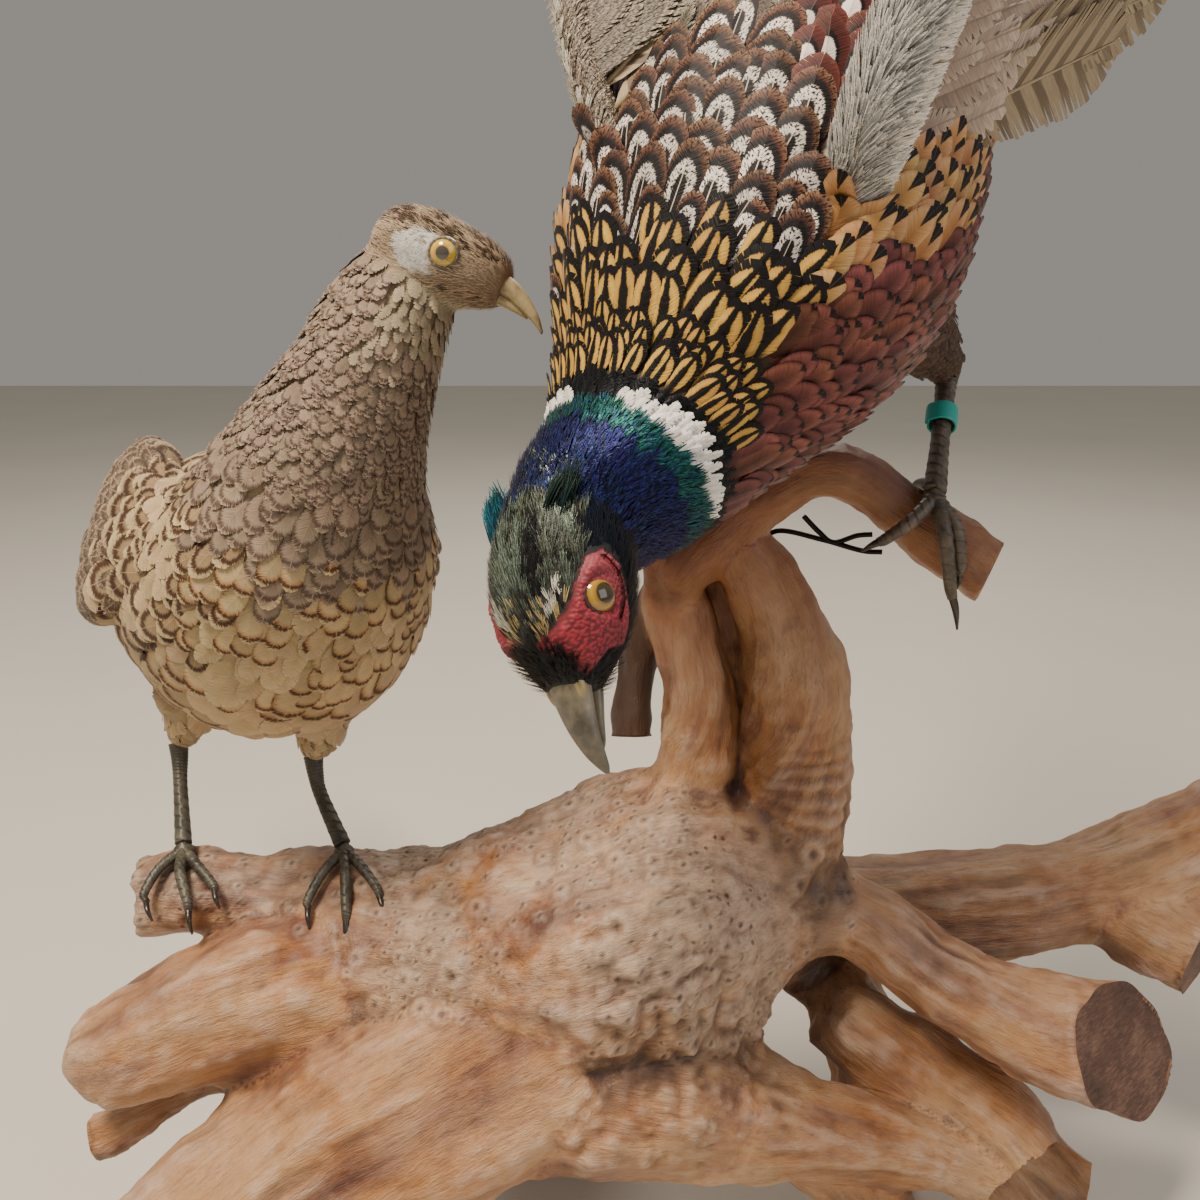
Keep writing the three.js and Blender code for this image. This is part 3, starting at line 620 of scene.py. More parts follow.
@dataclass(frozen=True)
class Maker:
    """Moves millimetres from the birds' own origin into the frame and makes each mesh there."""

    shift: Triple  # millimetres

    def metres(self, points: Array) -> Array:
        """Points in the frame."""
        return (points + np.array(self.shift)) * MM

    def read(self, mesh: bpy.types.Mesh) -> Array:
        """A mesh's points, back in millimetres."""
        return fetched(mesh.vertices, "co", 3) / MM - np.array(self.shift)

    def mesh(self, name: str, surface: Surface) -> bpy.types.Mesh:
        """A mesh with its maps and paint, its shading smooth."""
        mesh = bpy.data.meshes.new(name)
        loops = np.concatenate([surface.quads.ravel(), surface.tris.ravel()])
        sizes = np.repeat([4, 3], [len(surface.quads), len(surface.tris)])
        mesh.vertices.add(len(surface.points))
        mesh.vertices.foreach_set("co", self.metres(surface.points).astype(np.float32).ravel())
        mesh.loops.add(len(loops))
        mesh.loops.foreach_set("vertex_index", loops.astype(np.int32))
        mesh.polygons.add(len(sizes))
        mesh.polygons.foreach_set("loop_start", np.r_[0, np.cumsum(sizes)[:-1]].astype(np.int32))
        if surface.finish is not None:
            mesh.polygons.foreach_set("material_index", surface.finish.astype(np.int32))
        mesh.update(calc_edges=True)
        for key, pairs in surface.maps.items():
            layer = mesh.uv_layers.new(name=key)
            layer.data.foreach_set("uv", pairs[loops].astype(np.float32).ravel())
        for key, values in surface.paint.items():
            put_attribute(mesh, key, values)
        mesh.shade_smooth()
        return mesh

    def piece(
        self, name: str, surface: Surface, finishes: list[bpy.types.Material], slot: str,
        stands_for: Iterable[str] = ()
    ) -> bpy.types.Object:
        """Makes one piece of the model.

        Args:
            name: the piece's name.
            surface: its shape in millimetres.
            finishes: its materials, in the order that the surface's slots name them.
            slot: not used.
            stands_for: the frame's nodes that it replaces.

        Returns:
            The object, riding on the body.
        """
        return self.dress(placed(name, self.mesh(name, surface)), finishes, slot, stands_for)

    def dress(
        self, made: bpy.types.Object, finishes: list[bpy.types.Material], slot: str,
        stands_for: Iterable[str] = ()
    ) -> bpy.types.Object:
        """Gives an object its finishes, puts it on the body and hides the frame's parts that it stands for.
        """
        for finish in finishes:
            made.data.materials.append(finish)
        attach(made, BODY)
        names = list(stands_for)
        if names:
            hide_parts(*names)
        count = sum(len(p.vertices) - 2 for p in made.data.polygons)
        log.info("%s: %d triangles", made.name, count)
        return made


@dataclass
class Skin:
    """One closed skin fused from several shells, with a way to find a place on it."""

    made: bpy.types.Object
    points: Array
    tree: BVHTree
    corner_maps: Array  # the middle of each face on the unwrap

    @classmethod
    def fuse(cls, maker: Maker, name: str, shells: list[Surface], voxel_mm: float, smooth: int) -> Skin:
        """Fuses shells by voxels, smooths the joins away and unwraps the result.

        Args:
            maker: puts the shells in the frame.
            name: the skin's name.
            shells: closed surfaces that overlap.
            voxel_mm: the side of a voxel.
            smooth: rounds of smoothing.

        Returns:
            The skin, its object not dressed yet.
        """
        bare = [Surface(s.points, s.quads, s.tris) for s in shells]
        rough = placed(name, maker.mesh(name, joined(bare)))
        fused = rough.modifiers.new("fuse", "REMESH")
        fused.mode, fused.voxel_size = "VOXEL", voxel_mm * MM
        soft = rough.modifiers.new("soft", "SMOOTH")
        soft.factor, soft.iterations = 0.5, smooth
        made = bpy.data.meshes.new_from_object(rough.evaluated_get(bpy.context.evaluated_depsgraph_get()))
        rough.modifiers.clear()
        rough.data = made
        made.name = name
        made.shade_smooth()
        unwrap(rough)
        return cls.read(maker, rough)

    @classmethod
    def read(cls, maker: Maker, made: bpy.types.Object) -> Skin:
        """Reads a finished skin mesh back into millimetres."""
        mesh = made.data
        points = maker.read(mesh)
        tree = BVHTree.FromPolygons(points.tolist(), [tuple(p.vertices) for p in mesh.polygons])
        starts = np.array([p.loop_start for p in mesh.polygons])
        return cls(made, points, tree, fetched(mesh.uv_layers[BAKE].data, "uv", 2)[starts])

    def settle(self, points: Array) -> tuple[Array, Array, Array]:
        """The nearest place on the skin to each point.

        Returns:
            Places, outward normals and the places on the unwrap.
        """
        found = [self.tree.find_nearest(p) for p in points]
        place = np.array([f[0] for f in found])
        normal = np.array([f[1] for f in found])
        return place, unit(normal), self.corner_maps[[f[2] for f in found]]

    def holds(self, points: Array, reach: float) -> Array:
        """Whether each point is within reach of the skin."""
        return np.linalg.norm(self.settle(points)[0] - points, axis=1) < reach


def unwrap(made: bpy.types.Object) -> None:
    """Unwraps a mesh's own shape by the angles of its faces, as the map for its colours."""
    made.data.uv_layers.new(name=BAKE)
    view = bpy.context.view_layer
    view.objects.active = made
    made.select_set(True)
    bpy.ops.object.mode_set(mode="EDIT")
    bpy.ops.mesh.select_all(action="SELECT")
    bpy.ops.uv.smart_project(angle_limit=math.radians(60), island_margin=0.002)
    bpy.ops.object.mode_set(mode="OBJECT")
    made.select_set(False)


# ---------------------------------------------------------------- feathers


@dataclass(frozen=True)
class Vane:
    """The outline of one kind of feather, and how its barbs hang together.

    The half width is an ease from the base to 1 at the bow, then the rest of an oval to the tip.
    """

    bundles: int  # barbs that hang together, on each side
    bow: float = 0.55
    base: float = 0.35
    sweep: float = 0.16  # how far the barbs run forward, as a share of the length
    gap: float = 0.16  # how far a bundle's end is drawn in, as a share of its width
    fray: float = 0.1  # how far some bundles fall short of the outline
    point: float = 0.5  # the tip oval's power: 0.5 is round, 1 is pointed
    camber: float = 0.22  # droop of the edges, as a share of the half width
    middle: float = 0.55

    def half(self, v: Array) -> Array:
        """The half width at a share of the length."""
        tip = np.clip((v - self.bow) / (1 - self.bow), 0, 1)
        return (self.base + (1 - self.base) * ease(v, 0, self.bow)) * (1 - tip**2) ** self.point

    def template(self, chance: np.random.Generator) -> tuple[Array, Array, Array]:
        """One feather of this kind, flat.

        Args:
            chance: draws the gaps between bundles.

        Returns:
            (n, 2) places across and along, an (n,) droop, and the quads.
        """
        n = self.bundles
        share = np.linspace(0, 1, n + 1)
        shaft = share * 0.93
        edge = self.sweep + (1 - self.sweep) * share
        places, quads, start = [], [], 0
        for side in (-1.0, 1.0):
            low = edge[:-1] + (edge[1:] - edge[:-1]) * self.gap * chance.uniform(0, 1, n)
            high = edge[1:] - (edge[1:] - edge[:-1]) * self.gap * chance.uniform(0, 1, n)
            reach = chance.uniform(1 - self.fray, 1.0 + 0.2 * self.fray, n)
            ends = np.stack([low, high], 1).ravel()
            outer = self.half(ends) * np.repeat(reach, 2)
            lean = shaft + (edge - shaft) * self.middle**1.3
            inner = self.half(edge) * self.middle
            inner[-1] = 0.0
            lean[-1] = 0.965
            rows = [
                np.stack([np.zeros(n + 1), shaft], 1), np.stack([side * inner, lean], 1),
                np.stack([side * outer, ends], 1)
            ]
            k = np.arange(n)
            a, b, c = start, start + n + 1, start + 2 * n + 2
            near = np.stack([a + k, b + k, b + k + 1, a + k + 1], 1)
            far = np.stack([b + k, c + 2 * k, c + 2 * k + 1, b + k + 1], 1)
            both = np.concatenate([near, far])
            quads.append(both if side > 0 else both[:, ::-1])
            places += rows
            start += 4 * n + 2
        flat = np.concatenate(places)
        return flat, self.camber * np.abs(flat[:, 0]) ** 1.6, np.concatenate(quads)


@dataclass(frozen=True)
class Wisp:
    """A lock of loose hair-like barbs, each a narrow strip that tapers to a point."""

    blades: int = 3
    fan: float = 0.8  # how far the tips spread, in half widths
    thick: float = 0.22  # a blade's half width at its root
    joints: int = 3

    def template(self, chance: np.random.Generator) -> tuple[Array, Array, Array]:
        """One lock, flat: places across and along, droop and quads."""
        places, droop, quads = [], [], []
        for blade in range(self.blades):
            spread = (blade - (self.blades - 1) / 2) * 2 / max(self.blades - 1, 1)
            reach = chance.uniform(0.78, 1.0)
            v = np.linspace(0, 1, self.joints + 1)
            middle = spread * self.fan * v**0.8 + chance.uniform(-0.12, 0.12)
            half = self.thick * np.sqrt(1 - (v * 0.97) ** 2)
            rows = np.stack([middle - half, v * reach, middle + half, v * reach], 1).reshape(-1, 2)
            k = 2 * np.arange(self.joints) + blade * 2 * (self.joints + 1)
            places.append(rows)
            droop.append(np.full(len(rows), chance.uniform(-0.1, 0.35)))
            quads.append(np.stack([k, k + 1, k + 3, k + 2], 1))
        return np.concatenate(places), np.concatenate(droop), np.concatenate(quads)


@dataclass
class Plumes:
    """Many feathers of one kind: each has a shaft line with a normal at each joint, and a width.

    A point at (across, along) is shaft(along) + side × across × half width - normal × droop.
    """

    shafts: Array  # (n, joints, 3)
    normals: Array  # (n, joints, 3)
    half: Array  # (n,) half widths
    roots: Array  # (n, 2) places on the unwrap
    finish: Array  # (n,) material slots
    patch: float = TUFT_PATCH

    def pick(self, keep: Array) -> Plumes:
        """Only the feathers that are kept."""
        rest = (self.shafts, self.normals, self.half, self.roots, self.finish)
        return Plumes(*(part[keep] for part in rest), self.patch)

    def surface(self, kind: Vane | Wisp, seed: int, variants: int = 6) -> Surface:
        """The feathers as one mesh.

        Args:
            kind: the feather's shape.
            seed: for the gaps and for each feather's own number.
            variants: how many different cuts of the shape are dealt out.

        Returns:
            The surface with its Vane, Barbs and bake maps, and a Chance for each feather.
        """
        chance = np.random.default_rng(seed)
        count, joints = self.shafts.shape[:2]
        length = np.sum(np.linalg.norm(np.diff(self.shafts, axis=1), axis=-1), axis=1)
        own = chance.uniform(0, 1, count)
        deal = chance.integers(0, variants, count)
        parts = []
        for variant in range(variants):
            flat, droop, quads = kind.template(chance)
            pick = np.nonzero(deal == variant)[0]
            if not len(pick):
                continue
            spot = np.clip(flat[:, 1], 0, 1) * (joints - 1)
            low = np.minimum(spot.astype(int), joints - 2)
            part = (spot - low)[None, :, None]
            shaft, up = self.shafts[pick], self.normals[pick]
            middle = shaft[:, low] * (1 - part) + shaft[:, low + 1] * part
            ahead = unit(np.gradient(shaft, axis=1))
            ahead = unit(ahead[:, low] * (1 - part) + ahead[:, low + 1] * part)
            up = unit(up[:, low] * (1 - part) + up[:, low + 1] * part)
            side = unit(np.cross(ahead, up))
            up = np.cross(side, ahead)
            half = self.half[pick][:, None]
            over = (flat[:, 0][None] * half)[..., None]
            points = middle + side * over - up * (droop[None] * half)[..., None]
            n, m = len(pick), len(flat)
            vane = np.stack([0.5 + 0.5 * flat[:, 0], flat[:, 1]], 1)
            barb = flat[:, 1][None] * length[pick][:, None] - np.abs(over[..., 0]) * 0.8
            barbs = np.stack([np.broadcast_to(over[..., 0], (n, m)), barb], -1)
            barbs = barbs + own[pick][:, None, None] * 97.0
            bake = self.roots[pick][:, None] + (vane - 0.5)[None] * self.patch
            parts.append(
                Surface(
                    points.reshape(-1, 3), (quads[None] + (np.arange(n) * m)[:, None, None]).reshape(-1, 4),
                    maps={
                        BAKE: bake.reshape(-1, 2), "Vane": np.broadcast_to(vane, (n, m, 2)).reshape(-1, 2),
                        "Barbs": barbs.reshape(-1, 2)
                    },
                    paint={"Chance": np.repeat(own[pick], m)}, finish=np.repeat(self.finish[pick], len(quads))
                )
            )
        return joined(parts)


@dataclass(frozen=True)
class Lay:
    """How one tract of feathers lies: millimetres, and each measure's share of chance."""

    row: float  # between rows, along the lie
    across: float  # between feathers in a row
    length: float
    width: float
    rise: float  # height of the tip over the skin
    stand: float = 0.0  # how far a tip may stand out, as a share of the length
    turn: float = 0.1  # chance turn, radians
    jitter: float = 0.25  # of the spacing
    uneven: float = 0.12  # chance of length and width
    joints: int = 5

    def lattice(self, loft: Loft, seed: int, start: float = 0.0, end: float = 1.0) -> tuple[Array, Array]:
        """Rows of roots round a loft, each row half a step on from the last.

        Args:
            loft: the form.
            seed: for the jitter.
            start: share of the loft where the rows begin.
            end: where they end.

        Returns:
            Each root's share along the loft and its angle.
        """
        chance = np.random.default_rng(seed)
        fine = np.linspace(start, end, 400)
        spine = curve(loft.centre, fine)
        run = run_of(spine)
        rows = np.interp(np.arange(self.row / 2, run[-1], self.row), run, fine)
        angles = np.linspace(0, TURN, 181)
        found_t, found_a = [], []
        for i, t in enumerate(rows):
            ring = loft.point(np.full(181, t), angles)
            girth = run_of(ring)
            many = max(int(girth[-1] / self.across), 3)
            place = (np.arange(many) + 0.5 * (i % 2) + self.jitter * chance.uniform(-0.5, 0.5, many)) / many
            found_a.append(np.interp((place % 1) * girth[-1], girth, angles))
            wobble = self.jitter * self.row * chance.uniform(-0.5, 0.5, many)
            found_t.append(t + wobble / run[-1] * (end - start))
        return np.clip(np.concatenate(found_t), 0, 1), np.concatenate(found_a)

    def rooted(
        self, skin: Skin, loft: Loft, seed: int, span: tuple[float, float], grow: list | float,
        reach: float = 3.0
    ) -> tuple[Array, Array, Array]:
        """Roots on a loft that do lie on the skin.

        Args:
            skin: the skin.
            loft: the form.
            seed: for the jitter.
            span: start and end along the loft.
            grow: how far out of the loft's arms the skin lies, as rows of (t, grow) or one number.
            reach: how far a root may be from the skin.

        Returns:
            Shares along, angles and places.
        """
        t, angle = self.lattice(loft, seed, *span)
        roots = loft.point(t, angle, across_table(t, grow) if isinstance(grow, list) else grow)
        keep = skin.holds(roots, reach)
        return t[keep], angle[keep], roots[keep]

    def limbs(
        self, skin: Skin, legs: list[Loft], seed: int, span: tuple[float, float], grow: float, reach: float
    ) -> Surface:
        """Loose feathers down both thighs.

        Args:
            skin: the skin.
            legs: the thighs' forms.
            seed: for the jitter; the next ones are for the feathers.
            span: where along the thighs.
            grow: how far out of the forms the skin lies.
            reach: how far a root may be from it.

        Returns:
            The feathers of both.
        """
        parts = []
        for i, leg in enumerate(legs):
            t, angle, roots = self.rooted(skin, leg, seed + i, span, grow, reach)
            plumes = self.plumes(skin, roots, leg.lie(t, angle), seed + 2 + i)
            parts.append(plumes.surface(Vane(4, gap=0.6, sweep=0.3), seed + 4 + i))
        return joined(parts)

    def plumes(
        self, skin: Skin, roots: Array, ways: Array, seed: int, finish: Array | int = 0,
        scale: Array | float = 1.0, lift: Array | float = 0.0
    ) -> Plumes:
        """Lays a feather from each root, its shaft walked over the skin and rising to its tip.

        Args:
            skin: what they grow from.
            roots: (n, 3) places near the skin.
            ways: (n, 3) the lie at each.
            seed: for the chance parts.
            finish: the material slot of each.
            scale: a factor on each one's length and width.
            lift: a further height of the tip, as a share of the length.

        Returns:
            The feathers.
        """
        chance = np.random.default_rng(seed)
        n = len(roots)
        size = np.broadcast_to(np.asarray(scale, float), (n,))
        length = self.length * size * (1 + self.uneven * chance.uniform(-1, 1, n))
        half = self.width / 2 * size * (1 + self.uneven * chance.uniform(-1, 1, n))
        place, normal, patch = skin.settle(roots)
        way = unit(ways - normal * dot(ways, normal))
        turn = self.turn * chance.normal(0, 1, n)[:, None]
        way = unit(way * np.cos(turn) + np.cross(normal, way) * np.sin(turn))
        shafts, normals = [place], [normal]
        for _ in range(self.joints - 1):
            place, normal, _ = skin.settle(place + way * (length / (self.joints - 1))[:, None])
            way = unit(way - normal * dot(way, normal))
            shafts.append(place)
            normals.append(normal)
        shafts, normals = np.stack(shafts, 1), np.stack(normals, 1)
        v = np.linspace(0, 1, self.joints)[None]
        high = self.rise * (1 + 0.15 * chance.uniform(-1, 1, n))[:, None] * v**0.8
        stand = self.stand * chance.uniform(0, 1, n) + np.broadcast_to(lift, (n,))
        high = high + (stand * length)[:, None] * v**1.5
        slots = np.broadcast_to(np.asarray(finish, int), (n,))
        return Plumes(shafts + normals * (high - 0.25)[..., None], normals, half, patch, slots)


# ---------------------------------------------------------------- the cock


class CockTract(Enum):
    """The tracts of the cock's coat, each with its own feather finish."""

    VIOLET = 0
    GREEN = 1
    THROAT = 2
    RING = 3
    BLACK = 4
    GOLD = 5
    MANTLE = 6
    SCAPULAR = 7
    RUMP = 8
    BREAST = 9
    FLANK = 10
    BELLY = 11


NECK_FINISHES = (
    VaneFinish(
        "violet-blue keratin of the neck, dark with a metal sheen",
        "0 #0e0d2c 0.5 #151446 0.8 #211f66 1 #0d0c28", "#0a0b20", tint="#0b3052", tint_share=0.55, uneven=0.6,
        rough=0.42, metallic=0.5, sheen=0.1, down="#0e0e18", down_to=0.1
    ),
    VaneFinish(
        "green keratin above the collar, dark with a metal sheen",
        "0 #082b28 0.5 #125244 0.85 #216b58 1 #0b2f38", "#06201c", tint="#123c66", tint_share=0.7, rough=0.42,
        metallic=0.5, sheen=0.1, down="#14141c", down_to=0.1
    ),
    VaneFinish(
        "black keratin of the throat, with a faint green sheen", "0 #07090b 0.7 #0c1013 1 #10191c", "#060608",
        tint="#10203a", tint_share=0.5, rough=0.42, metallic=0.3, down="#0c0c10", down_to=0.1
    ),
    VaneFinish(
        "white keratin of the collar", "0 #d9d6cd 0.7 #f2f0ea 1 #e8e4da", "#cfcabb", tint="#b9b3a4",
        streak=0.14, down="#77726a"
    )
)
BODY_FINISHES = {
    CockTract.BLACK: VaneFinish(
        "black keratin under the collar", "0 #0c0b0c 0.75 #141216 1 #1d1a20", "#0a090a", tint="#2a2118",
        metallic=0.15, rough=0.45
    ),
    CockTract.GOLD: VaneFinish(
        "gold keratin with a black heart and edge",
        "0 #0f0c0c 0.24 #120f0f 0.29 #b08a3a 0.46 #cba950 0.68 #bb9342 0.73 #0d0b0e", "#0c0a0c",
        shaft_width=0.1, ragged=0.09, core="#0e0c0f", core_width=0.22, core_taper=0.2, notch="#0c0b10",
        notch_from=0.87, notch_side=0.05, tint="#c07a34", tint_share=0.35, rough=0.5, streak=0.2,
        down="#2e2822"
    ),
    CockTract.MANTLE: VaneFinish(
        "mantle keratin: a black heart, a speckled cream band, a black line and a tan to chestnut rim",
        "0 #0f0c0b 0.22 #130f0f 0.27 #d9d3c6 0.5 #e0dace 0.55 #0c0b10 0.69 #0f0d12 0.76 #4c3022 1 #846648",
        "#d8cfba", shaft_width=0.03, shaft_to=0.72, squeeze=0.92, ragged=0.1, notch="#100d10",
        notch_from=0.97, notch_side=0.16, speck=(0.11, "#1c1613"), tint="#6a241c", tint_share=0.42,
        uneven=0.6, down="#2e2822"
    ),
    CockTract.SCAPULAR: VaneFinish(
        "scapular keratin: a white oval in black on chestnut-maroon",
        "0 #d9d2c6 0.36 #ece6da 0.42 #100d0f 0.52 #151012 0.58 #41201b 0.85 #562c22 1 #6b3f2b", "#8a6c5c",
        shaft_width=0.02, ragged=0.08, tint="#5a2430", tint_share=0.4, rough=0.55, sheen=0.0, down="#3a2a24"
    ),
    CockTract.RUMP: VaneFinish(
        "rump keratin, hair-like, grey-brown with dark and pale flecks",
        "0 #6c6250 0.5 #5a5244 0.8 #8a8472 1 #a89f88", "#3e372c", ragged=0.3, streak=0.5,
        speck=(0.1, "#2a241d"), tint="#5a3f2a", tint_share=0.6
    ),
    CockTract.BREAST: VaneFinish(
        "breast keratin: coppery maroon with a dark tip",
        "0 #41251c 0.5 #61392c 0.8 #7b4c3b 0.93 #63392d 1 #1e1013", "#4c261d", shaft_width=0.02, ragged=0.08,
        notch="#141015", notch_from=0.85, notch_side=0.34, tint="#7c3c4c", tint_share=0.5, uneven=0.7,
        rough=0.42, metallic=0.2, streak=0.4, down="#3c211a"
    ),
    CockTract.FLANK: VaneFinish(
        "flank keratin: orange-gold with a black wedge at the tip",
        "0 #946834 0.5 #b08a4e 0.85 #c2a06a 1 #b58c52", "#a67a44", shaft_width=0.012, ragged=0.04,
        notch="#100e0d", notch_from=0.66, notch_side=0.8, tint="#b06a3c", tint_share=0.6, uneven=0.4,
        rough=0.5, metallic=0.05, streak=0.25, down="#8a6a44"
    ),
    CockTract.BELLY: VaneFinish(
        "belly keratin, soft and dark brown", "0 #3a2a22 0.7 #46342a 1 #5a4434", "#2a1e18", ragged=0.3,
        streak=0.4, tint="#241a16", tint_share=0.5, rough=0.7
    )
}

# Edges of the tracts: places along the body by degrees from the back, and degrees by place along.
RING_FRONT = ((0, 0.226), (12, 0.22), (30, 0.211), (58, 0.211), (84, 0.216), (130, 0.231), (180, 0.226))
RING_REAR = ((0, 0.222), (12, 0.228), (40, 0.241), (68, 0.246), (94, 0.238), (180, 0.24))
BAND_REAR = ((0, 0.256), (34, 0.261), (82, 0.266), (118, 0.25), (180, 0.25))
GOLD_REAR = ((0, 0.445), (24, 0.45), (40, 0.485), (60, 0.49), (90, 0.4))
BREAST_EDGE = (
    (0.211, 118), (0.307, 86), (0.342, 70), (0.427, 60), (0.472, 52), (0.593, 48), (0.673, 66), (1.0, 66)
)
FLANK_EDGE = ((0.457, 62), (0.497, 68), (0.538, 86), (0.608, 94), (0.714, 106), (1.0, 112))
SCAPULAR_EDGE = ((0.563, 60), (0.58, 38), (0.59, 26), (0.643, 16), (0.72, 22), (1.0, 30))


def first_rule(rules: list[tuple[Array, Enum]], otherwise: Enum) -> Array:
    """The number of the first rule's mark that holds at each place."""
    return np.select([r[0] for r in rules], [r[1].value for r in rules], otherwise.value)


def off_back(angle: Array) -> Array:
    """Degrees from the back, 0 to 180 on either side."""
    return np.degrees(np.abs((angle + math.pi) % TURN - math.pi))


def cock_tract(t: Array, angle: Array) -> Array:
    """Which tract each place on the body belongs to.

    Args:
        t: share along the body, from the head to the tail.
        angle: round it, from the back.

    Returns:
        The CockTract values as whole numbers.
    """
    side = off_back(angle)
    back = side < across_table(t, BREAST_EDGE)
    rules = [
        (t < across_table(side, RING_FRONT) - 0.045, CockTract.VIOLET),
        (t < across_table(side, RING_FRONT), CockTract.GREEN),
        (t < across_table(side, RING_REAR), CockTract.RING),
        (t < across_table(side, BAND_REAR), CockTract.BLACK),
        (back & (t < across_table(side, GOLD_REAR)), CockTract.GOLD), (back & (t < 0.565), CockTract.MANTLE),
        (back & (side > across_table(t, SCAPULAR_EDGE)), CockTract.SCAPULAR),
        (back & (t < 0.66), CockTract.MANTLE), (back, CockTract.RUMP),
        ((t > 0.43) & (side < across_table(t, FLANK_EDGE)), CockTract.FLANK),
        ((t > 0.6) & (side > 140), CockTract.BELLY), (t > 0.8, CockTract.BELLY)
    ]
    return first_rule(rules, CockTract.BREAST)


ARM_DEPTH = 2.6  # of the skin under a wing's arm
COCK_EYE = (5.6, 18.2, 2.3)
HEAD_AXES = Axes((-12, -141, 350), (0.015, -0.636, -0.771), (0.737, -0.515, 0.438), (-0.676, -0.574, 0.461))
WATTLE = [
    (-3.8, 8.7), (-6.6, 4.3), (-3.8, -1.5), (3.1, -5.8), (9.9, -9.5), (16.3, -11.0), (19.3, -4.8),
    (24.3, -3.3), (25.6, -1.8), (22.1, 4.2), (19.3, 8.6), (17.1, 10.1), (11.6, 9.8), (4.0, 10.1), (-0.1, 9.6)
]
BROW = [(-1.7, 13.9), (6.7, 11.5), (11.6, 11.2), (16.2, 11.0), (18.5, 10.2)]


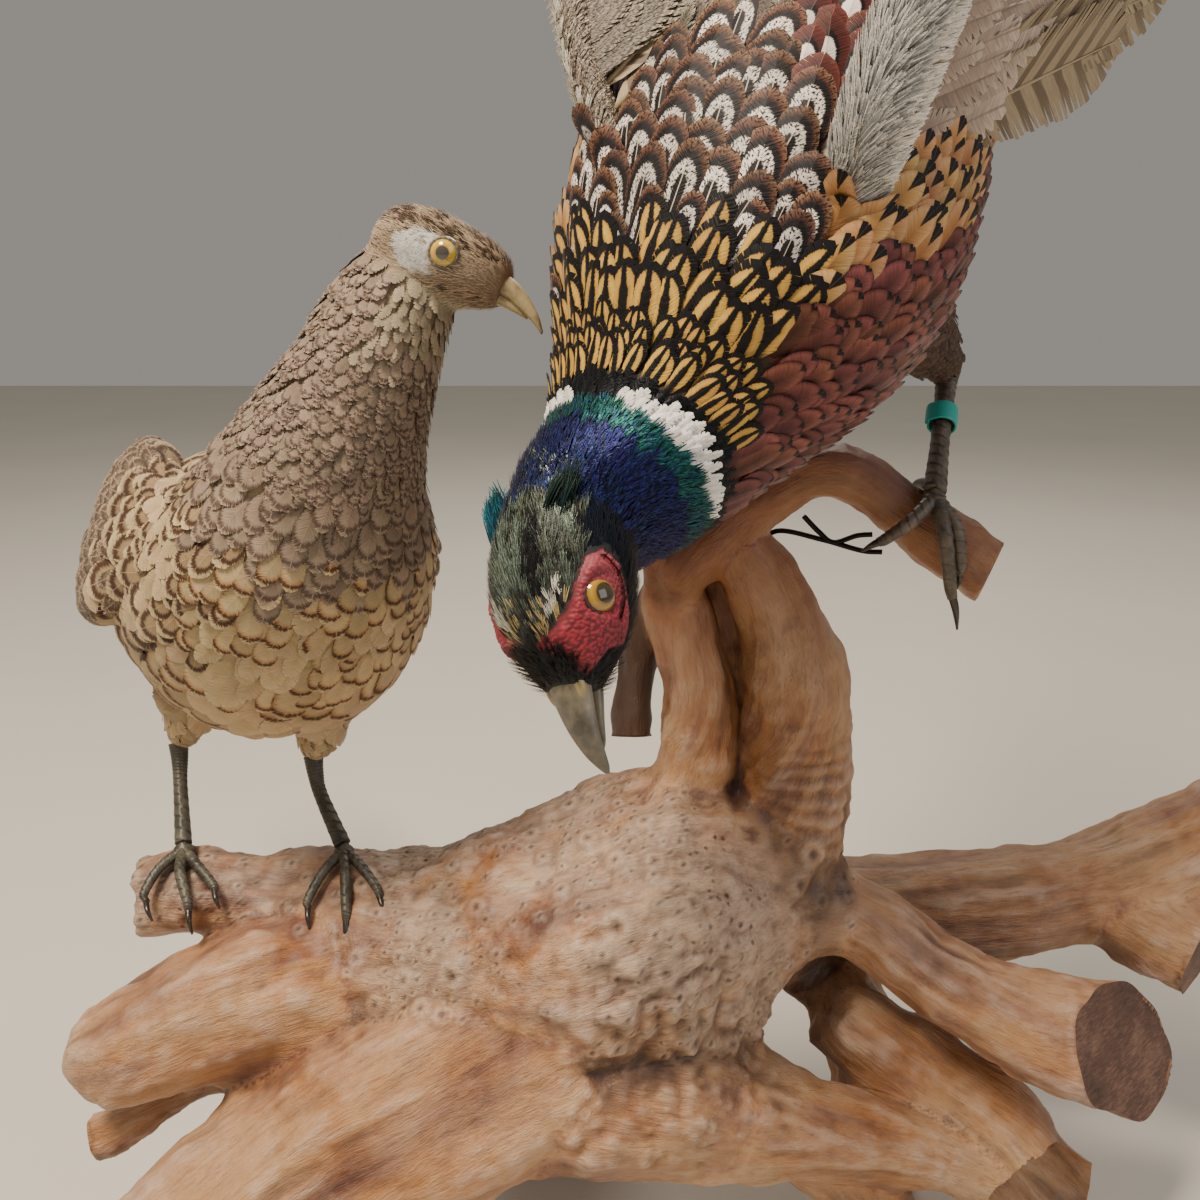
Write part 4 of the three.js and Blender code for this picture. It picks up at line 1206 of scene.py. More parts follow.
@dataclass
class CockBody:
    """The cock's head, neck, trunk and thighs: one skin with its coat over it."""

    maker: Maker
    rows: tuple = (
        ((-15, -134, 358), 18, 14, 20), ((-6, -117, 373), 25, 22, 29), ((8, -98, 383), 33, 29, 37),
        ((22, -80, 402), 46, 40, 50), ((39, -63, 427), 65, 54, 63), ((55, -43, 458), 73, 62, 75),
        ((74, -8, 505), 68, 58, 72), ((91, 28, 551), 48, 38, 50), ((104, 62, 590), 25, 15, 24)
    )
    backs: tuple = ((-0.6, -0.5, 0.62), (-0.55, -0.5, 0.66), (-0.5, -0.56, 0.66), (-0.447, -0.616, 0.65))
    head_rows: tuple = (
        (-43, 7, 5, 6, 3), (-34, 16, 13, 15, 1), (-16, 22.5, 19, 23, 0), (2, 23, 19.5, 23, -1),
        (14, 18.5, 15.5, 19.5, -2), (23, 12.5, 11, 13.5, -4), (29, 8, 8, 8, -6)
    )
    thighs: tuple = (
        ((98, -18, 440, 30), (118, 2, 424, 21), (135, 17, 411, 12), (144, 25, 402, 7)),
        ((62, -4, 444, 26), (54, 14, 430, 18), (44, 30, 417, 11), (38, 38, 409, 7))
    )
    depth: tuple = ((0.0, 1.6), (0.12, 2.2), (0.24, 3.0), (0.34, 4.6), (0.9, 4.6), (1.0, 3.4))
    head_depth: float = 1.3
    thigh_depth: float = 2.2
    voxel: float = 1.5

    def __post_init__(self) -> None:
        """Works out the forms that everything else lies on."""
        self.body = Loft.spine(self.rows, self.backs)
        self.head = Loft.head(self.head_rows, HEAD_AXES)
        self.legs = [Loft.limb(list(rows)) for rows in self.thighs]

    def fuse(self, arms: list[Loft]) -> None:
        """Fuses the skin from the body, the head, the thighs and the wings' arms."""
        shells = [
            self.body.shell(90, 72, table=[(t, -d) for t, d in self.depth]),
            self.head.shell(60, 56, -self.head_depth),
            *(leg.shell(24, 24, -self.thigh_depth) for leg in self.legs),
            *(arm.shell(40, 20, -ARM_DEPTH) for arm in arms)
        ]
        self.skin = Skin.fuse(self.maker, "cock_skin", shells, self.voxel, 3)
        self.paint_skin(arms)

    def paint_skin(self, arms: list[Loft]) -> None:
        """Paints the skin with the same tracts as the coat, read from the nearest ring of the body.

        Args:
            arms: the wings' arms, whose skin is pale.
        """
        t = np.linspace(0, 1, 120)[:, None]
        angle = TURN * np.arange(90)[None, :] / 90
        grid = self.body.point(t, angle).reshape(-1, 3)
        tract = cock_tract(*(x.ravel() for x in np.broadcast_arrays(t, angle)))
        # under the gold, mantle and scapular tracts the skin is darker than their feathers: painted shade
        # where it shows between them
        shades = linears(
            ["#15183c", "#0c3a34", "#0b0d10", "#b8b3a8", "#0c0b0c", "#3a2814", "#1f1713"]
            + ["#3a1c18", "#6c6450", "#6a3024", "#96663a", "#33261f"]
        )
        near = BVHTree.FromPolygons(grid.tolist(), grid_faces(120, 90)[:, [0, 3, 2, 1]].tolist())
        found = [near.find_nearest(p)[2] for p in self.skin.points]
        coat = shades[tract[np.array(found)]]
        local = HEAD_AXES.local(self.skin.points)
        on_head = np.linalg.norm(local / (44, 27, 27), axis=1) < 1
        coat[on_head] = linear("#14181a")
        flat = local[:, 0], local[:, 2]
        bare = on_head & np.where(local[:, 1] > 0, inside(WATTLE, *flat), inside(WATTLE_FAR, *flat))
        coat[bare] = linear("#8c2430")
        for arm in arms:
            line = curve(arm.centre, np.linspace(0.12, 1, 40))
            radius = np.linalg.norm(curve(arm.side, np.linspace(0.12, 1, 40)), axis=1)
            gap = np.linalg.norm(self.skin.points[:, None] - line[None], axis=2) - radius
            coat[gap.min(1) < -0.5] = linear("#a59a86")
        put_attribute(self.skin.made.data, "Coat", coat)

    def coat(self) -> None:
        """Makes and dresses the skin and each tract of the coat."""
        self.maker.dress(
            self.skin.made, [painted_skin("cock's skin, dry and thin over the body")], "cock_plumage",
            ("cock_head", "cock_neck", "cock_trunk", "cock_thigh_left", "cock_thigh_right")
        )
        self.neck_coat()
        self.body_coat()
        self.thigh_coat()
        self.head_coat()

    def tract_plumes(
        self, lay: Lay, wanted: list[CockTract], seed: int, finish: dict,
        span: tuple[float, float] = (0.0, 1.0), mingle: tuple[CockTract, CockTract, float] | None = None
    ) -> Plumes:
        """Feathers of one lay over the tracts that take it.

        Args:
            lay: the lay.
            wanted: the tracts.
            seed: for the chance parts.
            finish: the material slot of each tract.
            span: where along the body.
            mingle: a tract, the one whose pattern some of its feathers take, and their greatest share.

        Returns:
            The feathers, less those that would bend sharply over an edge.
        """
        t, angle = lay.lattice(self.body, seed, *span)
        tract = cock_tract(t, angle)
        keep = np.isin(tract, [w.value for w in wanted]) & (t > 0.02)
        t, angle, tract = t[keep], angle[keep], tract[keep]
        roots = self.body.point(t, angle, -across_table(t, self.depth))
        keep = self.skin.holds(roots, 3.5)
        t, angle, tract, roots = t[keep], angle[keep], tract[keep], roots[keep]
        if mingle:
            own, other, most = mingle
            chance = np.random.default_rng(seed + 7).uniform(0, 1, len(t))
            swap = (tract == own.value) & (chance < most * ease(t, span[0] + 0.02, span[1]))
            tract = np.where(swap, other.value, tract)
        slots = np.array([finish[CockTract(k)] for k in tract], int)
        depth = across_table(t, self.depth)
        plumes = lay.plumes(self.skin, roots, self.body.lie(t, angle), seed, slots)
        log.info("%d feathers, %.1f mm deep", len(t), depth.mean() if len(t) else 0)
        return plumes.pick(dot(plumes.normals[:, 0], plumes.normals[:, -1])[:, 0] > 0.5)

    def neck_coat(self) -> None:
        """The neck: hair-like tufts with a metal sheen, the white collar and the black below it."""
        made = [finish.make() for finish in NECK_FINISHES]
        wanted = [CockTract.VIOLET, CockTract.GREEN]
        slots = {CockTract.VIOLET: 0, CockTract.GREEN: 1}
        lay = Lay(2.1, 2.1, 7.2, 3.2, 2.4, stand=0.07, turn=0.22, jitter=0.7, joints=4, uneven=0.25)
        plumes = self.tract_plumes(lay, wanted, 11, slots)
        kind = Wisp(4, 0.9, 0.3)
        self.maker.piece("cock_neck_feathers", plumes.surface(kind, 12, 10), made[:2], "cock_plumage")
        wanted = [CockTract.RING, CockTract.BLACK]
        slots = {CockTract.RING: 1, CockTract.BLACK: 0}
        lay = Lay(2.6, 2.7, 9.0, 4.2, 2.8, stand=0.04, turn=0.16, jitter=0.5, joints=4)
        plumes = self.tract_plumes(lay, wanted, 13, slots)
        kind = Vane(6, bow=0.5, sweep=0.3, gap=0.5, camber=0.3)
        self.maker.piece("cock_collar_feathers", plumes.surface(kind, 14), made[2:], "cock_plumage")

    def body_coat(self) -> None:
        """The trunk, tract by tract, each with its own size of feather."""
        small = Lay(5.6, 5.4, 16, 7.8, 3.9, stand=0.03, turn=0.14, jitter=0.45)
        gold = Lay(8.2, 8.0, 24, 12.4, 4.4, stand=0.02, turn=0.15, jitter=0.45)
        mantle = Lay(11.0, 10.2, 31, 17.5, 4.8, stand=0.02, turn=0.15, jitter=0.4)
        scapular = Lay(10.0, 9.4, 28, 15.0, 5.4, stand=0.02)
        breast = Lay(6.0, 6.6, 20, 11.6, 4.4, stand=0.02, turn=0.13, jitter=0.4)
        flank = Lay(6.3, 6.5, 22, 12.2, 5.0, stand=0.02, turn=0.16, jitter=0.5)
        rump = Lay(5.0, 5.0, 22, 8.0, 5.0, stand=0.05, turn=0.2, jitter=0.5)
        round_tip = Vane(13, gap=0.05, fray=0.05, camber=0.22)
        square_tip = Vane(9, bow=0.68, gap=0.12, fray=0.08, camber=0.25)
        loose = Vane(7, gap=0.7, sweep=0.3, camber=0.2)
        near, far = (0.24, 0.34), (0.335, 0.5)
        tract = CockTract
        spot = (tract.GOLD, tract.MANTLE, 0.6)
        plan = [
            ("cock_nape_feathers", small, square_tip, [tract.GOLD], 21, near, None),
            ("cock_gold_feathers", gold, square_tip, [tract.GOLD, tract.MANTLE], 22, far, spot),
            ("cock_mantle_feathers", mantle, round_tip, [tract.MANTLE], 23, (0.4, 1.0), None),
            ("cock_scapular_feathers", scapular, round_tip, [tract.SCAPULAR], 25, (0.0, 1.0), None),
            ("cock_breast_feathers", breast, round_tip, [tract.BREAST], 27, (0.0, 1.0), None),
            ("cock_flank_feathers", flank, round_tip, [tract.FLANK], 29, (0.0, 1.0), None),
            ("cock_rump_feathers", rump, loose, [tract.RUMP, tract.BELLY], 31, (0.0, 1.0), None)
        ]
        for name, lay, kind, tracts, seed, span, mingle in plan:
            slots = {tract: i for i, tract in enumerate(tracts)}
            wanted = tracts[:1] if mingle else tracts
            plumes = self.tract_plumes(lay, wanted, seed, slots, span, mingle)
            made = [BODY_FINISHES[tract].make() for tract in tracts]
            self.maker.piece(name, plumes.surface(kind, seed + 1), made, "cock_plumage")

    def thigh_coat(self) -> None:
        """The thighs: loose dark brown feathers down to the shank."""
        lay = Lay(4.0, 4.2, 12, 5.4, 2.6, stand=0.05, turn=0.2, jitter=0.5, joints=4)
        made = lay.limbs(self.skin, self.legs, 41, (0.2, 0.97), -self.thigh_depth, 2.5)
        finish = BODY_FINISHES[CockTract.BELLY].make()
        self.maker.piece("cock_thigh_feathers", made, [finish], "thigh_plumage")

    def head_coat(self) -> None:
        """The head: fine hair-like tufts, bronze on the crown, black below, pale along the brow."""
        lay = Lay(1.35, 1.35, 6.2, 1.6, 1.4, stand=0.1, turn=0.2, jitter=0.8, joints=3, uneven=0.25)
        t, angle = lay.lattice(self.head, 51, 0.03, 0.99)
        roots = self.head.point(t, angle, -self.head_depth)
        local = HEAD_AXES.local(roots)
        f, left, b = local[:, 0], local[:, 1], local[:, 2]
        side = np.abs(left)
        mark = HeadMark
        chance = np.random.default_rng(52).uniform(0, 1, len(f))
        grain = noise(local * (0.22, 1.0, 1.0), 2.4, 3)
        brow = edge_distance(BROW, f - 4.5, b, False)
        streak = (edge_distance(CROWN_STREAK, f, left, False) < 2.6 + grain) & (b > 5) & (chance < 0.85)
        rules = [
            ((f > 19.0) & (b > -1.5), mark.BRISTLE),
            ((brow < 0.9) & (side > 6) & (f > 6) & (chance < 0.8), mark.WHITE),
            ((brow < 3.6) & (side > 2) & (f > 9) & (chance < 0.5), mark.YELLOW), (streak, mark.BRISTLE),
            # where the grain noise is high, crown tufts take the paler finish, a painted glint
            ((b > 7.5) & (side < 19) & (grain > 0.12), mark.GLINT),
            ((b > 7.5) & (side < 19) & (grain < -0.42), mark.BRISTLE), ((b > 7.5) & (side < 19), mark.CROWN),
            (b < -6, mark.BRISTLE)
        ]
        slots = first_rule(rules, mark.CHEEK)
        bare = np.where(left > 0, inside(WATTLE, f, b), inside(WATTLE_FAR, f, b)) & (side > 5)
        crease = (edge_distance(EYE_CREASE, f, b, False) < 1.2) & (left > 0) & (side > 5)
        slots = np.where(crease, mark.BRISTLE.value, slots)
        keep = self.skin.holds(roots, 2.5) & (~bare | crease)
        ways = -self.head.lie(t, angle)
        front = f > 18.5
        scale = np.where(front & (b > -1.5), 0.9, 0.75 + 0.5 * ease(-f, -20, 15))
        scale = np.where(crease, 0.42, scale)
        lift = np.where(front, 0.28, np.where(crease, 0.25, 0.0))
        plumes = lay.plumes(self.skin, roots[keep], ways[keep], 53, slots[keep], scale[keep], lift[keep])
        made = [finish.make() for finish in HEAD_FINISHES]
        self.maker.piece("cock_head_tufts", plumes.surface(Wisp(3), 54, 10), made, "cock_plumage")


class HeadMark(Enum):
    """The markings of the cock's head, each with its own finish."""

    CROWN = 0
    WHITE = 1
    BRISTLE = 2
    CHEEK = 3
    # paler, greener crown tufts: a painted glint
    GLINT = 4
    YELLOW = 5


HEAD_FINISHES = (
    VaneFinish(
        "crown keratin, bronze-olive hair-like barbs", "0 #2a2a20 0.6 #424436 1 #65685a", "#24241c",
        ragged=0.3, streak=0.5, tint="#1f4a3c", tint_share=0.8, uneven=0.6, rough=0.45, metallic=0.2,
        down_to=0.05
    ),
    VaneFinish(
        "brow keratin, white", "0 #c9c6b6 1 #e8e6da", "#c8c2ac", tint="#a8a894", tint_share=0.5, down_to=0.05
    ),
    VaneFinish(
        "bristle keratin, black", "0 #090909 1 #121214", "#080808", tint="#1a1c16", tint_share=0.6,
        rough=0.45, down_to=0.0
    ),
    VaneFinish(
        "cheek keratin, blue-black with a metal sheen", "0 #090b14 1 #10142a", "#080a12", tint="#0f2430",
        tint_share=0.8, rough=0.42, metallic=0.4, down_to=0.0
    ),
    VaneFinish(
        "crown keratin, paler grey-green for a painted glint", "0 #3f463a 0.6 #63705e 1 #8c9c88", "#3c4034",
        ragged=0.3, streak=0.45, tint="#1f8a68", tint_share=0.9, uneven=0.7, rough=0.42, metallic=0.35,
        down_to=0.05
    ),
    VaneFinish(
        "brow keratin, straw yellow", "0 #a8935a 1 #d2bf80", "#a08c50", tint="#6a5a34", tint_share=0.7,
        down_to=0.05
    )
)
EAR_METAL = {
    "tint_share": 0.8, "uneven": 0.6, "rough": 0.4, "metallic": 0.4, "down": "#14141c", "down_to": 0.15
}
EAR_FINISHES = (
    VaneFinish(
        "ear tuft keratin, black-green", "0 #0b1a1c 0.6 #122c30 1 #3a4a44", "#0b1a1c", tint="#20302a",
        **EAR_METAL
    ),
    VaneFinish(
        "ear tuft keratin, bright blue-green", "0 #07202e 0.6 #0f3e58 1 #1b6278", "#07202e", tint="#1a7a6c",
        **EAR_METAL
    )
)
EYE_CREASE = [(-4.2, 4.2), (0.0, -1.7), (5.5, -4.7), (10.0, -4.6)]  # black tufts behind the left eye
CROWN_STREAK = [(-6, 6), (6, 5.5), (13, 3.5), (19, 1.5), (24, 0)]
WATTLE_FAR = [
    (-3.8, 8.7), (-6.6, 4.3), (-3.8, -1.5), (3.1, -5.8), (9.9, -9.5), (14.0, -9.0), (15.5, -2.0), (15.8, 6.0),
    (15.9, 10.6), (11.6, 9.8), (4.0, 10.1), (-0.1, 9.6)
]


def painted_skin(name: str) -> bpy.types.Material:
    """Dry skin that carries the coat's colours, matt, with fine pores about 0.8 mm apart."""
    r = Recipe(name)
    coat = r.add("Attribute", attribute_name="Coat", out="Color")
    place = r.add("TexCoord", out="Object")
    pores = r.add("TexNoise", place, 1200.0, 2.0, 0.55)
    shade = r.add("Mix:RGBA", r.add("Math:MULTIPLY", pores, 0.35), coat, "#2c241c")
    return r.surface(shade, 0.75, pores, 0.0002)


# ---------------------------------------------------------------- eyes, bills and legs


@dataclass(frozen=True)
class GlassEye:
    """A blown glass eye, painted behind: pupil, iris and rim by the angle from where it looks."""

    centre: Array
    out: Array
    radius: float

    def surface(self, rings: int = 48, around: int = 64) -> Surface:
        """The ball, with the angle from its axis as a number."""
        axis = unit(self.out)
        one, two = square_to(axis)
        polar = np.linspace(0.02, math.pi - 0.02, rings)[:, None, None]
        turn = (TURN * np.arange(around) / around)[None, :, None]
        ring = np.sin(polar) * (np.cos(turn) * one + np.sin(turn) * two)
        grid = self.centre + self.radius * (np.cos(polar) * axis + ring)
        made = tube_surface(grid, self.centre + self.radius * np.array([axis, -axis]))
        made.paint["Polar"] = np.r_[np.repeat(polar.ravel(), around), 0.0, math.pi]
        return made

    def lid(self, thick: float, angle: float = 0.98, around: int = 72) -> Surface:
        """The fleshy rim round the eye: a ring of round section, thinner in front, with fine folds."""
        axis = unit(self.out)
        one, two = square_to(axis)
        turn = (TURN * np.arange(around) / around)[:, None]
        out = np.cos(turn) * one + np.sin(turn) * two
        middle = self.centre + self.radius * (math.cos(angle) * axis + math.sin(angle) * out)
        section = (TURN * np.arange(14) / 14)[None, :, None]
        folds = 1 + 0.16 * np.sin(17 * turn)[:, None]
        size = thick * folds * (np.cos(section) * out[:, None] + np.sin(section) * axis)
        return loop_surface(middle[:, None] + size)

    @staticmethod
    def finish(name: str, colours: str, pupil: float, iris: float) -> bpy.types.Material:
        """Painted glass under a clear dome: glossy all over, its colours fixed to the ball.

        Args:
            name: the material's name.
            colours: those of the pupil, the iris, its middle and its rim.
            pupil: the angle that the pupil reaches to, radians.
            iris: and the iris.

        Returns:
            The material.
        """
        r = Recipe(name)
        polar = r.add("Attribute", attribute_name="Polar", out="Fac")
        whole = 1.4  # the angle at the ramp's end
        share = r.add("Math:DIVIDE", polar, whole)
        dark, gold, pale, rim = colours.split()
        p, i = pupil / whole, iris / whole
        stops = [
            (0.0, dark), (p - 0.02, dark), (p + 0.015, gold), (i * 0.72, pale), (i - 0.05, gold), (i, rim)
        ]
        colour = r.add("ValToRGB", share, stops=stops)
        threads = r.add("TexNoise", r.add("TexCoord", out="Object"), 2500.0, 2.0, 0.55)
        colour = r.add("Mix:RGBA", r.add("Math:MULTIPLY", threads, 0.3), colour, "#7a5a10")
        return r.surface(colour, 0.08, IOR=1.5, Coat_Weight=1.0, Coat_Roughness=0.02)


def loop_surface(grid: Array) -> Surface:
    """A ring of rings: a grid that closes on itself both ways."""
    made = Surface(grid.reshape(-1, 3), grid_faces(*grid.shape[:2], closed=True))
    return made if enclosed(made) > 0 else made.flipped()


def horn(name: str, pale: str, dark: str, tip: str) -> bpy.types.Material:
    """Bill horn: keratin with long growth lines about 1 mm apart, waxy."""
    r = Recipe(name)
    place = r.add("TexCoord", out="Object")
    cloud = r.add("TexNoise", place, 90.0, 4.0, 0.55)
    lines = r.add("TexNoise", r.add("VectorMath:MULTIPLY", place, (1.0, 0.25, 0.2)), 900.0, 2.0, 0.55)
    colour = r.add("ValToRGB", cloud, stops=[(0.35, dark), (0.5, pale), (0.68, tip)])
    colour = r.add("Mix:RGBA", r.add("Math:MULTIPLY", lines, 0.3), colour, dark)
    rough = r.add("Math:MULTIPLY_ADD", lines, 0.25, 0.28)
    return r.surface(colour, rough, lines, 0.00015, IOR=1.55, Coat_Weight=0.3, Coat_Roughness=0.2)


def scaled_leg(name: str, pale: str, dark: str) -> bpy.types.Material:
    """Leg scutes: dry keratin plates, darker in the joints between them, which are their own shape."""
    r = Recipe(name)
    place = r.add("TexCoord", out="Object")
    joint = r.add("Attribute", attribute_name="Joint", out="Fac")
    cloud = r.add("TexNoise", place, 160.0, 4.0, 0.55)
    fine = r.add("TexNoise", place, 1500.0, 2.0, 0.55)
    colour = r.add("ValToRGB", cloud, stops=[(0.3, dark), (0.7, pale)])
    colour = r.add("Mix:RGBA", r.add("Math:MULTIPLY", joint, 0.75, use_clamp=True), colour, "#17130f")
    rough = r.add("Math:MULTIPLY_ADD", fine, 0.3, 0.3)
    return r.surface(colour, rough, fine, 0.00012, IOR=1.5)


def scutes(loft: Loft, plates: int, along: int, around: int, depth: float = 0.11) -> Surface:
    """A scaled limb: rows of overlapping plates, each lifting to its lower edge.

    The radius is 1 + depth × the saw of (plates × t), softened, and the saw's foot is the joint.
    """

    def swell(t: Array, angle: Array) -> Array:
        """The factor on the radius."""
        phase = plates * t + 0.35 * np.sin(angle) + 0.3 * np.sin(5 * angle) * 0.3
        saw = phase - np.floor(phase)
        return 1 + depth * (saw**1.5 - 0.5) * (0.55 + 0.45 * np.cos(angle)) + 0.02 * np.sin(9 * angle)

    made = loft.shell(along, around, 0.0, swell)
    t = np.repeat(np.linspace(0, 1, along + 1), around)
    angle = np.tile(TURN * np.arange(around) / around, along + 1)
    phase = plates * t + 0.35 * np.sin(angle)
    saw = phase - np.floor(phase)
    made.paint["Joint"] = np.r_[(1 - ease(saw, 0.0, 0.16)) + ease(saw, 0.94, 1.0), 0.5, 0.5]
    return made


@dataclass(frozen=True)
class Foot:
    """A bird's shank, its toes and their claws, from rows of (x, y, z, radius)."""

    shank: tuple
    joint: tuple
    toes: tuple
    palm: float = 4.4

    def flesh(self) -> list[Surface]:
        """The scaled shank, the palm and the toes, each toe with its pads."""
        parts = [scutes(Loft.limb(list(self.shank)), 16, 150, 32)]
        palm = [(*self.joint, self.palm * k) for k in (0.2, 1.0, 0.2)]
        for row, lift in zip(range(3), (-3.6, 0.0, 3.6)):
            x, y, z, r = palm[row]
            palm[row] = (x, y, z + lift, r)
        parts.append(scutes(Loft.limb(palm), 3, 24, 24))
        for rows in self.toes:
            line = [(*self.joint, rows[0][3] + 0.3), *rows[:-1]]
            last, tip = rows[-2:]
            stub = tuple(a + (b - a) * 0.3 for a, b in zip(last[:3], tip[:3]))
            line.append((*stub, last[3] * 0.8))
            parts.append(scutes(Loft.limb(line), 11, 110, 24, 0.14))
        return parts

    def claws(self) -> list[Surface]:
        """A curved claw on the end of each toe, hooking down to its point."""
        parts = []
        for rows in self.toes:
            start, tip = np.array(rows[-2][:3], float), np.array(rows[-1][:3], float)
            from_here = start + (tip - start) * 0.22
            middle = (from_here + tip) / 2 + np.array([0, -1.6, 0.8])
            line = [(*from_here, rows[-2][3] * 0.74), (*middle, rows[-2][3] * 0.56), (*tip, 0.45)]
            parts.append(Loft.limb(line).shell(24, 16))
        return parts


def claw_finish() -> bpy.types.Material:
    """Claw horn: black-brown keratin, polished by wear towards the point."""
    r = Recipe("claw keratin, black-brown and glossy")
    place = r.add("TexCoord", out="Object")
    lines = r.add("TexNoise", place, 700.0, 3.0, 0.55)
    colour = r.add("Mix:RGBA", lines, "#15110e", "#3a2f27")
    return r.surface(colour, r.add("Math:MULTIPLY_ADD", lines, 0.2, 0.2), lines, 0.00008, IOR=1.55)


# ---------------------------------------------------------------- wings and tail


@dataclass(frozen=True)
class Wing:
    """A spread wing in its own plane: x along the arm, y across it towards the feather tips."""

    shoulder: Triple
    arm: Triple
    inner: Triple
    hand: int
    upper: str = "covert"  # the finish of its upper coverts
    edge: tuple[float, float] = (-112, -52)  # the cream band, degrees from the leading edge upward
    bare: float = 0.0  # how much of the inner end the coverts leave free
    outline: tuple = (  # root x, y and tip x, y of the feathers, from the inner end out
        ((0, 12), (90, 106)),
        ((34, -3), (150, 121)),
        ((70, -12), (204, 124)),
        ((103, -17), (252, 104)),
        ((128, -15), (290, 78)),
        ((147, -9), (316, 52)),
        ((160, 0), (328, 32)),
        ((168, 8), (318, 20)),
    )
    bones: tuple = ((-16, 18, 7), (10, 8, 13), (45, -1, 14), (88, -7, 11.5), (130, -8, 8.5), (164, 4, 5))
    droop: float = 0.1
    quills: int = 23

    @property
    def axes(self) -> tuple[Array, Array, Array]:
        """Along, across and above."""
        along = unit(np.array(self.arm))
        across = np.array(self.inner)
        across = unit(across - along * float(dot(across, along)[0]))
        return along, across, np.cross(along, across) * self.hand

    def place(self, x: Array, y: Array, lift: Array | float = 0.0) -> Array:
        """Points from (along, across, above)."""
        along, across, above = self.axes
        x, y, lift = np.broadcast_arrays(x, y, lift)
        out = x[..., None] * along + y[..., None] * across + lift[..., None] * above
        return np.array(self.shoulder) + out

    def limb(self) -> Loft:
        """The arm inside the leading edge."""
        rows = [(*self.place(np.array(x), np.array(y)), r) for x, y, r in self.bones]
        return Loft.limb([tuple(float(v) for v in row) for row in rows])

    def ends(self, k: Array) -> tuple[Array, Array]:
        """Root and tip of the feather at a share of the wing, in the wing's plane."""
        root = curve([(*a, 0) for a, _ in self.outline], k)[..., :2]
        tip = curve([(*b, 0) for _, b in self.outline], k)[..., :2]
        return root, tip

    def fan(
        self, count: int, span: tuple[float, float], width: float, lift: float, seed: int, tilt: float = 0.09,
        joints: int = 9, shares: tuple[float, float] = (0.0, 1.0), finish: Array | int = 0
    ) -> Plumes:
        """One layer of feathers side by side, each a little over the next.

        Args:
            count: how many.
            span: where each starts and ends, as shares from its root to its tip.
            width: of a feather, in spacings.
            lift: height over the wing's plane, below it where negative.
            seed: for the uneven ends.
            tilt: how far each one turns about its shaft, radians.
            joints: points on a shaft.
            shares: the stretch of the wing that the layer covers.
            finish: material slots.

        Returns:
            The feathers.
        """
        chance = np.random.default_rng(seed)
        above = self.axes[2]
        k = shares[0] + (shares[1] - shares[0]) * (np.arange(count) + 0.5) / count
        k = k + chance.uniform(-0.2, 0.2, count) / count
        root, tip = self.ends(k)
        reach = chance.uniform(0.95, 1.02, count)[:, None]
        v = np.linspace(0, 1, joints)[None]
        low = root + (tip - root) * span[0]
        high = root + (tip - root) * span[1] * reach
        flat = low[:, None] + (high - low)[:, None] * v[..., None]
        depth = (flat - root[:, None])[..., 1]
        bend = chance.uniform(-1.5, 1.5, count)[:, None] * v**2 * np.sign(lift or 1)
        arch = lift * (1 - 0.35 * v) - self.droop * depth + bend
        shafts = self.place(flat[..., 0], flat[..., 1], arch)
        facing = above if lift >= 0 else -above
        way = unit(shafts[:, -1] - shafts[:, 0])
        side = np.cross(way, facing)
        lean = (tilt * self.hand * np.sign(lift or 1)) * (1 + 0.3 * chance.uniform(-1, 1, count))
        normal = unit(facing * np.cos(lean)[:, None] + side * np.sin(lean)[:, None])
        middle = flat[:, joints // 2]
        gap = np.linalg.norm(np.gradient(middle, axis=0), axis=1)
        slots = np.broadcast_to(np.asarray(finish, int), (count,))
        normals = np.repeat(normal[:, None], joints, axis=1)
        return Plumes(shafts, normals, np.maximum(gap, 4.0) * width / 2, strip(count), slots, 0.9 / count)


WING_FINISHES = {
    "flight": VaneFinish(
        "flight feather keratin, grey-brown with buff bars", "0 #6b5c4a 0.6 #75654f 1 #8a7a62", "#4c4034",
        shaft_width=0.045, ragged=0.12, bars=(11.0, 0.62, "#a39274"), tint="#564838", tint_share=0.35,
        down_to=0.0, barb_mm=0.9
    ),
    "covert": VaneFinish(
        "wing covert keratin, blue-grey with pale lines", "0 #6e6f6e 0.45 #898a88 0.75 #a9a7a0 1 #c6c0b2",
        "#dcd8cc", shaft_width=0.1, ragged=0.25, streak=0.4, tint="#7a6450", tint_share=0.45, down_to=0.1
    ),
    "marbled": VaneFinish(
        "wing covert keratin, marbled grey, brown and cream",
        "0 #5a5046 0.4 #8d8474 0.55 #4c4036 0.72 #a89c86 0.86 #5e5042 1 #bdb19a", "#8a7c68", ragged=0.25,
        streak=0.4, speck=(0.12, "#3a3028"), tint="#6a4e38", tint_share=0.5, down_to=0.1
    ),
    "edge": VaneFinish(
        "leading edge keratin, cream", "0 #c9c0ac 0.6 #dcd5c4 1 #e8e3d6", "#cfc6b2", ragged=0.2,
        tint="#a9977a", tint_share=0.4, down_to=0.05
    ),
    "lining": VaneFinish(
        "wing lining keratin, downy pinkish brown", "0 #8d7a6c 0.6 #9f8c7c 1 #b8a794", "#8a7868", ragged=0.35,
        streak=0.4, tint="#6e5c50", tint_share=0.5, rough=0.7, down_to=0.1
    ),
    "tail": VaneFinish(
        "tail keratin, olive-buff with black bars and a russet fringe",
        "0 #a08a5e 0.6 #a88c60 0.85 #8f6a4c 1 #8a5a48", "#5c4a34", shaft_width=0.035, ragged=0.2,
        bars=(15.0, 0.3, "#221a14"), bar_wave=2.2, tint="#6d5a44", tint_share=0.3, down_to=0.0, barb_mm=0.9
    )
}


